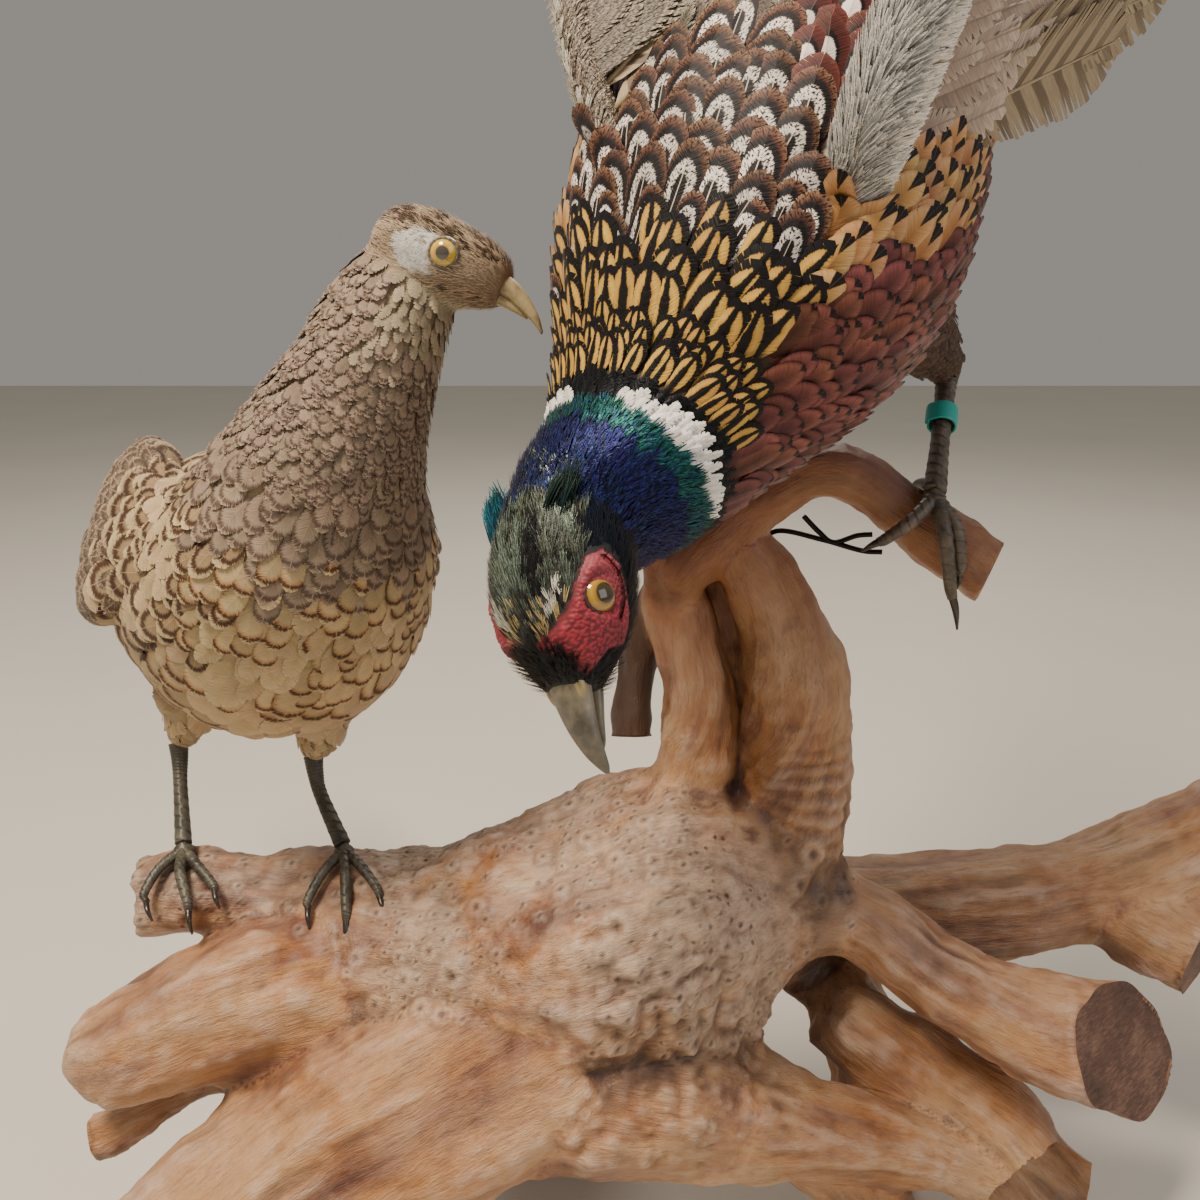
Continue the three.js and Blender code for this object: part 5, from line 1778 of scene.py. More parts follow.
def quills(plumes: Plumes, share: float = 0.07, taper: float = 0.8) -> Surface:
    """The shafts of large feathers, as tapering rods of six sides along their middle lines."""
    parts = []
    for shaft, normal, half in zip(plumes.shafts, plumes.normals, plumes.half):
        rows = len(shaft)
        v = np.linspace(0, 1, rows)[:, None, None]
        ahead = unit(np.gradient(shaft, axis=0))
        side = unit(np.cross(ahead, normal))[:, None]
        up = np.cross(side[:, 0], ahead)[:, None]
        turn = (TURN * np.arange(6) / 6)[None, :, None]
        size = np.minimum(half * share, 1.1) * (1 - taper * v)
        grid = shaft[:, None] + size * (np.cos(turn) * side + np.sin(turn) * up)
        parts.append(tube_surface(grid, np.array([shaft[0], shaft[-1]])))
    return joined(parts)


def shaft_finish() -> bpy.types.Material:
    """Quill keratin: pale horn, smooth and slightly clear."""
    r = Recipe("quill keratin, pale horn")
    tone = r.add("TexNoise", r.add("TexCoord", out="Object"), 60.0, 3.0, 0.55)
    return r.surface(r.add("Mix:RGBA", tone, "#8d7a58", "#bba983"), 0.4, IOR=1.55, Coat_Weight=0.2)


def strip(count: int, start: float = 0.04) -> Array:
    """Places on the unwrap for a row of feathers side by side."""
    return np.stack([start + 0.9 * (np.arange(count) + 0.5) / count, np.full(count, 0.5)], 1)


@dataclass(frozen=True)
class TailFan:
    """A graduated tail, laid in pairs from the middle one on top to the outermost.

    With out from 0 at the middle pair to 1 at the outermost, a feather reaches to
    longest × (1 - cut × out^power) of the middle line. It lies at inner + (1 - inner) × out of the
    room beside that line, which is the fan's half width less a margin.
    """

    rows: tuple  # (point on the middle line, half width of the fan)
    up: Triple
    pairs: int
    joints: int
    longest: float
    cut: float
    power: float
    half: tuple[float, float]  # a feather's half width in the middle, and how much less outermost
    margin: tuple[float, float]  # in the middle, and how much less outermost
    least: float  # room beside the line
    inner: float
    rise: tuple[float, float]  # over the line, at the root and at the tip
    step: float  # of each pair under the last
    sag: float  # of the outermost, where 30 mm off the line
    tilt: float
    start: float = 0.04  # of its strip on the unwrap

    def plumes(self) -> Plumes:
        """The tail's feathers."""
        points = np.array([p for p, _ in self.rows], float)
        widths = np.array([[w] * 3 for _, w in self.rows], float)
        shafts, normals, half = [], [], []
        for pair in range(self.pairs):
            out = pair / (self.pairs - 1)
            t = np.linspace(0, self.longest * (1 - self.cut * out**self.power), self.joints)
            middle = curve(points, t)
            ahead = unit(np.gradient(middle, axis=0))
            up = unit(np.array(self.up) - ahead * dot(ahead, np.array(self.up)))
            side = unit(np.cross(ahead, up))
            room = np.maximum(curve(widths, t)[:, :1] - (self.margin[0] - self.margin[1] * out), self.least)
            high = self.rise[0] + (self.rise[1] - self.rise[0]) * t[:, None] - self.step * pair
            for hand in (-1.0, 1.0):
                spread = hand * (self.inner + (1 - self.inner) * out) * room
                sink = self.sag * out**1.5 * (spread / 30) ** 2
                shafts.append(middle + side * spread + up * (high - sink + 0.3 * hand))
                normals.append(unit(up * math.cos(self.tilt * hand) + side * math.sin(self.tilt * hand)))
                half.append(self.half[0] - self.half[1] * out)
        patches, slots = strip(len(half), self.start), np.zeros(len(half), int)
        return Plumes(np.array(shafts), np.array(normals), np.array(half), patches, slots, 0.9 / len(half))


@dataclass
class CockWings:
    """The cock's two raised wings, each an arm with coverts over fans of flight feathers."""

    maker: Maker
    left: Wing = Wing((70, -112, 472), (0.45, 0.05, 0.89), (0.72, 0.58, 0.38), 1)
    right: Wing = Wing(
        (-1, -66, 474), (-0.02, 0.5, 0.866), (0.385, 0.245, 0.8), -1, "marbled", (-60, 40), 0.12,
        bones=((-10, 15, 4), (14, 3, 6.5), (45, -5, 8), (88, -10, 8), (130, -11, 7), (164, 3, 5))
    )

    def arms(self) -> list[Loft]:
        """The arms' own forms, for the skin."""
        return [self.left.limb(), self.right.limb()]

    def build(self, skin: Skin) -> None:
        """Lays each wing's feathers, outermost layers last."""
        for side, wing, seed in (("left", self.left, 71), ("right", self.right, 91)):
            nodes = (f"cock_wing_{side}_inner", f"cock_wing_{side}_outer")
            self.flight(side, wing, seed, nodes)
            self.coverts(side, wing, seed)
            self.arm_coat(side, wing, skin, seed)

    def flight(self, side: str, wing: Wing, seed: int, nodes: tuple[str, str]) -> None:
        """The long flight feathers and their quills."""
        fan = wing.fan(wing.quills, (0.02, 1.0), 2.1, 0.4, seed, joints=12)
        made = [WING_FINISHES["flight"].make()]
        kind = Vane(42, bow=0.8, base=0.45, sweep=0.1, gap=0.3, camber=0.1, point=0.6)
        name = f"cock_wing_{side}_quills"
        self.maker.piece(f"cock_wing_{side}_flight", fan.surface(kind, seed + 1), made, "wing_plumage", nodes)
        self.maker.piece(name, quills(fan), [shaft_finish()], "wing_plumage")

    def coverts(self, side: str, wing: Wing, seed: int) -> None:
        """Rows of coverts on both faces: blue-grey above, downy below."""
        kind = Vane(14, bow=0.6, gap=0.45, camber=0.16)
        parts = []
        rows = (
            (34, (0.02, 0.52), 1.6), (44, (0.0, 0.4), 2.6), (56, (-0.02, 0.29), 3.6),
            (64, (-0.03, 0.18), 4.4), (32, (0.02, 0.5), -1.4), (42, (0.0, 0.38), -2.2),
            (54, (-0.02, 0.27), -3.0)
        )
        for i, (count, span, lift) in enumerate(rows):
            slot = 0 if lift > 0 else 1
            fan = wing.fan(count, span, 2.4, lift, seed + 10 + i, 0.09, 6, (wing.bare, 1.0), slot)
            parts.append(fan.surface(kind, seed + 20 + i))
        made = [WING_FINISHES[wing.upper].make(), WING_FINISHES["lining"].make()]
        self.maker.piece(f"cock_wing_{side}_coverts", joined(parts), made, "wing_plumage")

    def arm_coat(self, side: str, wing: Wing, skin: Skin, seed: int) -> None:
        """Small close feathers over the arm: cream along the leading edge."""
        limb = wing.limb()
        along, across, above = wing.axes
        lay = Lay(2.3, 2.3, 11, 3.6, 2.6, stand=0.03, turn=0.16, jitter=0.6, joints=4)
        t, angle = lay.lattice(limb, seed + 30, 0.06, 0.98)
        roots = limb.point(t, angle, -ARM_DEPTH)
        out = unit(roots - curve(limb.centre, t))
        face, lead = dot(out, above)[:, 0], -dot(out, across)[:, 0]
        round_arm = np.degrees(np.arctan2(face, lead)) + np.random.default_rng(seed + 33).normal(0, 5, len(t))
        low, high = wing.edge
        slots = np.select([(round_arm > low) & (round_arm < high), round_arm > low], [1, 0], 2)
        ways = across * (0.9 - 0.5 * np.clip(lead, 0, 1))[:, None] + along * 0.75
        keep = skin.holds(roots, 2.5) & (lead > -0.75)
        scale = np.where(slots == 1, 0.6, 1.0)[keep]
        plumes = lay.plumes(skin, roots[keep], ways[keep], seed + 31, slots[keep], scale)
        made = [WING_FINISHES[k].make() for k in (wing.upper, "edge", "lining")]
        kind = Wisp(4, 0.8, 0.4)
        name = f"cock_wing_{side}_arm_feathers"
        self.maker.piece(name, plumes.surface(kind, seed + 32), made, "wing_plumage")


@dataclass
class CockTail:
    """The long graduated tail: eighteen barred feathers, the middle pair the longest and on top."""

    maker: Maker
    rows: tuple = (
        ((104, 57, 586), 19), ((113, 88, 618), 30), ((124, 132, 656), 38), ((136, 190, 700), 34),
        ((148, 258, 746), 25), ((159, 332, 790), 17), ((168, 404, 828), 10), ((174, 462, 855), 2)
    )

    def build(self) -> None:
        """Lays the tail's feathers and their quills."""
        fan = TailFan(
            self.rows, up=(-0.447, -0.616, 0.65), pairs=9, joints=26, longest=0.995, cut=0.7, power=0.62,
            half=(13.0, 3.0), margin=(13.0, 3.0), least=0.6, inner=0.14, rise=(2.6, 0.0), step=0.7, sag=3.0,
            tilt=0.16
        )
        plumes = fan.plumes()
        kind = Vane(64, bow=0.45, base=0.8, sweep=0.035, gap=0.3, camber=0.18, point=0.9)
        made = [WING_FINISHES["tail"].make()]
        self.maker.piece("cock_tail_feathers", plumes.surface(kind, 61), made, "tail_plumage", ["cock_tail"])
        self.maker.piece("cock_tail_quills", quills(plumes, 0.09), [shaft_finish()], "tail_plumage")


# ---------------------------------------------------------------- the cock's fittings

COCK_LEGS = {
    "left": Foot(
        ((144, 25, 403, 5), (142, 20, 396, 4.2), (136, 1, 378, 3.7), (130, -18, 360, 4.5)), (129.5, -20, 358),
        (
            ((132, -28, 346, 3.0), (136, -27, 325, 2.5), (142, -21, 305, 0.7)),
            ((119, -28, 350, 2.8), (110, -27, 343, 2.3), (102, -22, 337, 0.7)),
            ((137, -26, 347, 2.8), (140, -25, 332, 2.3), (141, -19, 321, 0.7)),
            ((130, -9, 361, 2.6), (129, 3, 359, 2.1), (128, 10, 352, 0.7))
        )
    ),
    "right": Foot(
        ((38, 38, 410, 5), (37, 35, 403, 4.2), (31, 24, 382, 3.7), (25, 13, 364, 4.5)), (24.5, 11, 361),
        (
            ((24, -1, 356, 3.0), (24, -4, 343, 2.5), (25, -3, 330, 0.7)),
            ((15, 3, 358, 2.8), (9, 1, 348, 2.3), (9, 3, 336, 0.7)),
            ((33, 1, 357, 2.8), (42, -4, 352, 2.3), (46, -7, 343, 0.7)),
            ((25, 22, 357, 2.6), (26, 28, 350, 2.1), (26, 29, 341, 0.7))
        )
    )
}


@dataclass
class CockFittings:
    """The cock's eyes, wattles, bill, ear tufts, legs, claws and leg band."""

    maker: Maker
    eye: Triple = COCK_EYE
    eye_radius: float = 6.2
    upper_bill: tuple = (
        (16, 8.2, 6.6, 1.5, -2.6), (22, 7.8, 6.9, 1.8, -4.0), (28, 7.0, 6.5, 2.2, -5.8),
        (38, 4.9, 5.2, 2.5, -10.4), (44, 3.4, 3.7, 2.2, -14.8), (47, 2.1, 2.3, 1.7, -17.8),
        (48.8, 0.8, 0.9, 0.8, -19.7)
    )
    lower_bill: tuple = (
        (17, 7, 3.6, 5.2, -8.5), (27, 5.8, 2.6, 4.4, -11), (35, 3.8, 2.2, 2.8, -14.0),
        (40, 2.2, 1.5, 1.4, -16.6), (42.5, 0.7, 0.6, 0.5, -17.8)
    )

    def build(self, skin: Skin) -> None:
        """Makes each fitting in its place."""
        self.eyes()
        self.wattles(skin)
        self.bill()
        self.ear_tufts(skin)
        self.legs()

    def eyes(self) -> None:
        """Yellow glass eyes with dark rims of skin."""
        lids = []
        glass = GlassEye.finish("painted glass, pale yellow", "#1c1d1a #8e6c16 #b38d2a #2c2412", 0.5, 1.0)
        for side, hand in (("left", 1), ("right", -1)):
            f, s, b = self.eye
            out = np.array([0.16, hand, 0.2]) @ HEAD_AXES.turn
            sunk = hand * (s - 2.4)
            ball = GlassEye(HEAD_AXES.point(np.array([f, sunk, b])), out, self.eye_radius)
            name = f"cock_eye_{side}"
            self.maker.piece(name + "_glass", ball.surface(), [glass], "glass_eye", [name])
            lids.append(ball.lid(0.7, 1.04))
        self.maker.piece(
            "cock_eyelids", joined(lids), [lid_skin("eyelid skin, dark red-brown", "#4a2020")], "cock_plumage"
        )

    def wattles(self, skin: Skin) -> None:
        """Raised cushions of bare red skin round each eye, closely set with papillae."""
        step, apart, high, wide = 0.28, 0.84, 0.32, 0.5  # of the mesh, and of a papilla
        f, b = np.meshgrid(np.arange(-8, 27, step), np.arange(-12.5, 12, step), indexing="ij")
        chance = np.random.default_rng(81)
        seeds = np.array(
            [
                (x + chance.uniform(-0.55, 0.55), y + chance.uniform(-0.55, 0.55))
                for x in np.arange(-8, 27, apart) for y in np.arange(-12.5, 12, apart)
            ]
        )
        flat = np.stack([f.ravel(), b.ravel()], 1)
        near = np.min(np.linalg.norm(flat[:, None] - seeds[None], axis=2), axis=1).reshape(f.shape)
        round_eye = np.hypot(f - self.eye[0], b - self.eye[2])
        every = grid_faces(*f.shape)
        every = every[every[:, 3] > every[:, 0]]  # less those that would close the grid on itself
        for side, hand, outline in (("left", 1, WATTLE), ("right", -1, WATTLE_FAR)):
            within = inside(outline, f, b)
            if hand > 0:
                within &= edge_distance(EYE_CREASE, f, b, False) > 0.7
            edge = edge_distance(outline, f, b)
            cushion = 1.5 * ease(edge, 0, 2.2) * ease(round_eye, 4.6, 7.4) + 0.25
            if hand > 0:
                cushion *= 0.2 + 0.8 * ease(edge_distance(EYE_CREASE, f, b, False), 0.5, 2.2)
            bumps = high * np.maximum(0, 1 - (near / wide) ** 2) * ease(edge, 0.2, 1.2)
            start = HEAD_AXES.point(np.stack([f, hand * np.full_like(f, 60.0), b], -1).reshape(-1, 3))
            way = -np.array(HEAD_AXES.left) * hand
            found = [skin.tree.ray_cast(p, way) for p in start]
            hit = np.array([h[0] is not None for h in found]).reshape(f.shape)
            place = np.array([h[0] if h[0] is not None else (0, 0, 0) for h in found])
            normal = np.array([h[1] if h[1] is not None else (0, 0, 1) for h in found])
            height = (cushion + bumps).ravel()[:, None]
            points = place + unit(normal) * height
            quads = every[(within & hit).ravel()[every].all(1)]
            if hand > 0:
                quads = quads[:, ::-1]
            used, flat_quads = np.unique(quads, return_inverse=True)
            paint = {"Papilla": (bumps / high).ravel()[used], "Rear": ease(-f, -8, 6).ravel()[used]}
            made = Surface(points[used], flat_quads.reshape(quads.shape), paint=paint)
            self.maker.piece(f"cock_wattle_{side}", made, [wattle_skin()], "cock_plumage")

    def bill(self) -> None:
        """The two halves of the bill, with the nostril's flap as a shape of its own."""
        finish = [
            horn("bill horn, grey-brown with pale clouds", "#6e6654", "#413c33", "#97896a"),
            horn("nostril flap, yellowish soft horn", "#948259", "#5e5238", "#a8976a")
        ]
        upper = Loft.head(list(self.upper_bill), HEAD_AXES).shell(80, 48)
        lower = Loft.head(list(self.lower_bill), HEAD_AXES).shell(60, 40)
        self.maker.piece("cock_bill_upper_horn", upper, finish[:1], "bill_horn", ["cock_bill_upper"])
        self.maker.piece("cock_bill_lower_horn", lower, finish[:1], "bill_horn", ["cock_bill_lower"])
        flaps = []
        for hand in (-1, 1):
            rows = [
                (21.0, 4.6, -1.2, 0.8), (25.5, 5.4, -2.4, 1.9), (29.0, 4.9, -4.0, 2.0), (32.5, 3.9, -6.2, 0.8)
            ]
            line = [(*HEAD_AXES.point(np.array([a, hand * s, u])), r) for a, s, u, r in rows]
            flaps.append(Loft.limb([tuple(float(v) for v in row) for row in line]).shell(24, 20))
        self.maker.piece("cock_nostril_flaps", joined(flaps), finish[1:], "bill_horn")

    def ear_tufts(self, skin: Skin) -> None:
        """The two short horns of blue-green feathers behind the crown."""
        chance = np.random.default_rng(83)
        tufts = (
            ((-18, 10, 12), (-27, 14.5, 12.5), (-33, 17, 11.5)),
            ((-18, -10, 12), (-29, -14, 13), (-37, -15.5, 12))
        )
        shafts, count, joints = [], 84, 5
        for tuft in tufts:
            line = np.array(tuft, float)
            for _ in range(count):
                reach = chance.uniform(0.55, 1.0)
                off = chance.normal(0, 1, 3) * (2.4, 2.6, 1.8)
                splay = chance.normal(0, 1, 3) * (1.0, 2.2, 1.6)
                t = np.linspace(0, reach, joints)
                shafts.append(
                    HEAD_AXES.point(curve(line, t) + off * (1 - 0.4 * t[:, None]) + splay * t[:, None] ** 2)
                )
        shafts = np.array(shafts)
        normals = np.broadcast_to(unit(np.array(HEAD_AXES.back)), shafts.shape).copy()
        half = chance.uniform(1.0, 1.7, len(shafts))
        _, _, patch = skin.settle(shafts[:, 0])
        plumes = Plumes(shafts, normals, half, patch, np.repeat([0, 1], count))
        made = plumes.surface(Wisp(4, 1.1, 0.2), 84, 10)
        finishes = [finish.make() for finish in EAR_FINISHES]
        self.maker.piece("cock_ear_tufts", made, finishes, "cock_plumage")

    def legs(self) -> None:
        """Shanks and feet with their claws, and the ring of plastic on the left shank."""
        leg = scaled_leg("leg scutes, grey-brown and dry", "#6f6253", "#3a322a")
        for side, foot in COCK_LEGS.items():
            nodes = (f"cock_foot_{side}", f"cock_shank_{side}")
            self.maker.piece(f"cock_leg_{side}_scutes", joined(foot.flesh()), [leg], "leg_scale", nodes)
        claws = [claw for foot in COCK_LEGS.values() for claw in foot.claws()]
        self.maker.piece("cock_claws", joined(claws), [claw_finish()], "leg_scale")
        self.band()

    def band(self, inner: float = 4.9, outer: float = 6.0, high: float = 9.0) -> None:
        """A split ring of turquoise plastic: a C of square section with soft edges, one end lapped."""
        middle = np.array([138.4, 8.6, 385.2])
        axis = unit(np.array([-6.0, -19.0, -18.0]))
        one, two = square_to(axis)
        turn = np.linspace(0, TURN * 1.04, 96)[:, None]
        corner = (TURN * np.arange(24) / 24)[None, :]
        section = ((outer - inner) / 2, np.cos(corner)), (high / 2, np.sin(corner))
        thick, tall = (size * np.sign(x) * np.abs(x) ** 0.35 for size, x in section)
        radius = (inner + outer) / 2 + thick + 0.9 * ease(turn, TURN * 0.9, TURN)
        height = np.broadcast_to(tall, radius.shape)
        out = (np.cos(turn) * one + np.sin(turn) * two)[:, None]
        grid = middle + radius[..., None] * out + height[..., None] * axis
        made = tube_surface(grid, grid[[0, -1]].mean(1))
        r = Recipe("leg ring plastic, turquoise, scuffed")
        place = r.add("TexCoord", out="Object")
        scuff = r.add("TexNoise", place, 900.0, 4.0, 0.55)
        colour = r.add("Mix:RGBA", r.add("Math:MULTIPLY", scuff, 0.5), "#149a90", "#3fb8a8")
        finish = r.surface(colour, r.add("Math:MULTIPLY_ADD", scuff, 0.3, 0.25), scuff, 0.0001, IOR=1.5)
        self.maker.piece("cock_leg_ring", made, [finish], "leg_band", ["cock_leg_band"])


def lid_skin(name: str, colour: str) -> bpy.types.Material:
    """Thin dry skin with fine folds."""
    r = Recipe(name)
    folds = r.add("TexNoise", r.add("TexCoord", out="Object"), 1100.0, 3.0, 0.55)
    return r.surface(r.add("Mix:RGBA", folds, colour, "#1a1210"), 0.5, folds, 0.00015)


def wattle_skin() -> bpy.types.Material:
    """Bare wattle skin, painted red: deep between the papillae, paler and pinker on them and behind."""
    r = Recipe("wattle skin, red and matt, set with papillae")
    knob = r.add("Attribute", attribute_name="Papilla", out="Fac")
    rear = r.add("Attribute", attribute_name="Rear", out="Fac")
    cloud = r.add("TexNoise", r.add("TexCoord", out="Object"), 260.0, 3.0, 0.55)
    colour = r.add("ValToRGB", knob, stops="0 #520a16 0.4 #7c1322 1 #942233")
    colour = r.add("Mix:RGBA", r.add("Math:MULTIPLY", rear, 0.45), colour, "#ac5864")
    colour = r.add("Mix:RGBA", r.add("Math:MULTIPLY", cloud, 0.45), colour, "#7c1826")
    return r.surface(colour, 0.6, Sheen_Weight=0.1)


# ---------------------------------------------------------------- the hen


class HenTract(Enum):
    """The tracts of the hen's coat."""

    BREAST = 0
    SIDE = 1
    NECK = 2
    THROAT = 3
    BELLY = 4
    WING = 5


HEN_FINISHES = (
    VaneFinish(
        "hen's breast keratin, buff with a brown crescent",
        "0 #ac976f 0.45 #b6a078 0.62 #a07a50 0.7 #4a3020 0.8 #543a28 0.88 #b09b74 1 #baa57e", "#b09b74",
        shaft_width=0.025, squeeze=0.62, ragged=0.2, tint="#b8683c", tint_share=0.1, uneven=0.4, streak=0.2,
        rough=0.7, down="#aa9670"
    ),
    VaneFinish(
        "hen's side keratin, an ochre heart in a dark brown chevron and a buff rim",
        "0 #8d7454 0.36 #937c5c 0.5 #3f2a1e 0.66 #4e3626 0.76 #b09b76 1 #bcaa84", "#b39c74",
        shaft_width=0.025, squeeze=0.72, ragged=0.2, tint="#b06c40", tint_share=0.12, uneven=0.4, rough=0.7,
        down="#aa9670"
    ),
    VaneFinish(
        "hen's neck keratin, brown-grey with a dark bar",
        "0 #83725c 0.5 #948370 0.66 #57463a 0.78 #5e4d42 0.88 #93826e 1 #9c8b76", "#91806a", squeeze=0.66,
        ragged=0.25, tint="#a8603c", tint_share=0.3, uneven=0.4, rough=0.7, down="#8d7d66"
    ),
    VaneFinish(
        "hen's throat keratin, pale grey-buff", "0 #9d8f74 0.7 #a89a7e 1 #ac9f84", "#a29478", ragged=0.25,
        tint="#b09068", tint_share=0.5, uneven=0.4, rough=0.75, down="#a09276", down_to=0.1
    ),
    VaneFinish(
        "hen's belly keratin, plain buff and soft", "0 #a8946c 0.7 #b7a27a 1 #bda984", "#b09b74",
        shaft_width=0.02, ragged=0.25, tint="#b8744a", tint_share=0.35, uneven=0.35, streak=0.25, rough=0.75,
        down="#aa9670"
    ),
    VaneFinish(
        "hen's wing keratin, brown-grey heart in a buff rim",
        "0 #887860 0.4 #7e6d58 0.56 #42332a 0.66 #504036 0.76 #a18f74 1 #b0a084", "#93836a", squeeze=0.8,
        ragged=0.25, speck=(0.14, "#5e4c3c"), tint="#a07050", tint_share=0.3, uneven=0.4, rough=0.7,
        down="#948468"
    )
)
HEN_AXES = Axes((-57, -38, 446), (0.883, -0.25, -0.397), (0.245, 0.967, -0.064), (0.4, -0.041, 0.916))
HEN_HEAD_FINISHES = (
    VaneFinish(
        "hen's crown keratin, dark brown", "0 #33261d 0.6 #4c3a2c 1 #6e5844", "#2b2018", ragged=0.3,
        streak=0.5, tint="#7a6048", tint_share=0.6, rough=0.65, down_to=0.05
    ),
    VaneFinish(
        "hen's face keratin, buff-brown", "0 #8f7c62 0.6 #a8957a 1 #bba98a", "#7a6850", ragged=0.3,
        streak=0.4, tint="#86684c", tint_share=0.6, rough=0.7, down_to=0.05
    ),
    VaneFinish(
        "hen's throat keratin, pale and plain", "0 #b3a68c 1 #c9bea6", "#ad9d80", ragged=0.3, tint="#9a8a70",
        tint_share=0.5, rough=0.7, down_to=0.05
    ),
    VaneFinish(
        "keratin behind the hen's eye, grey-white", "0 #d0cec6 1 #e2e0da", "#cecbc2", tint_share=0.0,
        uneven=0.1, streak=0.1, rough=0.7, down_to=0.0
    )
)
HEN_PALE = [
    (-11.1, -0.2), (-11.4, 2.5), (-9.3, 5.1), (-5.2, 7.6), (-1.4, 8.8), (3.0, 8.6), (0.3, 4.6), (1.3, 1.5),
    (3.3, -0.5), (6.8, -1.5), (6.8, -3.3), (2.4, -5.9), (-3.2, -6.9), (-7.7, -4.5)
]


@dataclass
class Hen:
    """The hen: one skin with her coat, her folded wings, tail, head, legs and feet."""

    maker: Maker
    rows: tuple = (
        ((-205, 128, 302), 14, 10, 11), ((-194, 108, 306), 30, 24, 29), ((-172, 72, 310), 53, 46, 57),
        ((-151, 35, 315), 64, 56, 70), ((-129, 0, 324), 64, 56, 67), ((-113, -22, 346), 55, 48, 50),
        ((-102, -30, 376), 42, 36, 38), ((-87, -35, 405), 29, 27, 29), ((-73, -37, 429), 22, 20, 22),
        ((-63, -37, 445), 15, 14, 15)
    )
    backs: tuple = (
        (-0.2, 0.3, 0.93), (-0.2, 0.3, 0.93), (-0.2, 0.3, 0.93), (-0.25, 0.35, 0.9), (-0.4, 0.5, 0.8),
        (-0.6, 0.5, 0.6), (-0.75, 0.4, 0.45), (-0.85, 0.3, 0.4)
    )
    head_rows: tuple = (
        (-24, 7, 7, 7, 0), (-19, 13.5, 13, 14, 0), (-8, 16.5, 16.5, 18, 0), (5, 16.5, 16, 17, 0),
        (16, 14, 14, 13, 0.8), (24, 10.5, 11, 9.5, 0.6), (28, 6, 6, 6, -0.5)
    )
    wings: tuple = (
        (
            ((-166, -28, 342), 20, 11, 6), ((-189, 0, 340), 38, 14, 9), ((-210, 40, 332), 41, 13, 9),
            ((-221, 82, 320), 32, 10, 8), ((-228, 124, 307), 17, 6, 4), ((-234, 158, 296), 4, 2, 2)
        ),
        (
            ((-82, 12, 344), 20, 11, 6), ((-94, 44, 341), 38, 14, 9), ((-121, 85, 333), 41, 13, 9),
            ((-152, 119, 321), 32, 10, 8), ((-184, 149, 308), 17, 6, 4), ((-207, 172, 297), 4, 2, 2)
        )
    )
    wings_out: tuple = ((-0.8, -0.46, 0.42), (0.8, 0.46, 0.42))
    tail_rows: tuple = (
        ((-198, 116, 306), 18), ((-213, 144, 300), 24), ((-236, 188, 291), 24), ((-262, 240, 282), 18),
        ((-284, 284, 275), 11), ((-299, 316, 270), 3)
    )
    thighs: tuple = (
        ((-180, 22, 268, 16), (-187, 30, 246, 10), (-190.5, 31, 236, 6)),
        ((-122, 18, 266, 17), (-126, 25, 244, 11), (-128.5, 25, 232, 6))
    )
    feet: tuple = (
        Foot(
            ((-191, 30, 236, 4.4), (-190.5, 28, 228, 3.6), (-189, 22, 219, 3.1), (-183, 3, 200, 3.7)),
            (-182.5, 1, 198),
            (
                ((-180, -12, 194, 2.4), (-174, -23, 186, 2.1), (-171, -29, 174, 0.7)),
                ((-190, -9, 194, 2.2), (-194, -18, 187, 1.9), (-188, -27, 179, 0.7)),
                ((-174, -8, 195, 2.2), (-165, -16, 190, 1.9), (-161, -22, 182, 0.7)),
                ((-184, 10, 195, 2.0), (-186, 17, 189, 1.6), (-186, 21, 182, 0.7))
            )
        ),
        Foot(
            ((-129, 25, 232, 4.4), (-128, 23, 224, 3.6), (-125, 18, 216, 3.1), (-113, 2, 200, 3.7)),
            (-112, 0, 198),
            (
                ((-109, -13, 193, 2.4), (-107, -24, 183, 2.1), (-106, -30, 168, 0.7)),
                ((-119, -10, 193, 2.2), (-124, -20, 185, 1.9), (-122, -28, 176, 0.7)),
                ((-103, -9, 195, 2.2), (-95, -17, 189, 1.9), (-90, -24, 179, 0.7)),
                ((-114, 10, 195, 2.0), (-116, 18, 189, 1.6), (-117, 22, 182, 0.7))
            )
        )
    )
    nape: tuple = ((-62, -37, 450, 15.0), (-74, -34, 436, 18.5), (-87, -32, 413, 24.0))
    upper_bill: tuple = (
        (17, 6.4, 5.4, 1.6, 1.2), (26, 5.2, 5.2, 2, 0.5), (34, 3.8, 4.2, 2, -1.5), (41, 2, 2.2, 1.4, -4.5),
        (45, 0.7, 0.7, 0.7, -7.5)
    )
    lower_bill: tuple = (
        (17, 5.4, 3.4, 4.0, -2.4), (28, 4, 2.8, 2.6, -2.8), (35, 2.4, 1.8, 1.5, -4.0),
        (38, 0.8, 0.6, 0.5, -5.2)
    )
    depth: float = 4.2
    neck_depth: float = 2.4
    head_depth: float = 1.3
    wing_depth: float = 2.6
    thigh_depth: float = 1.6

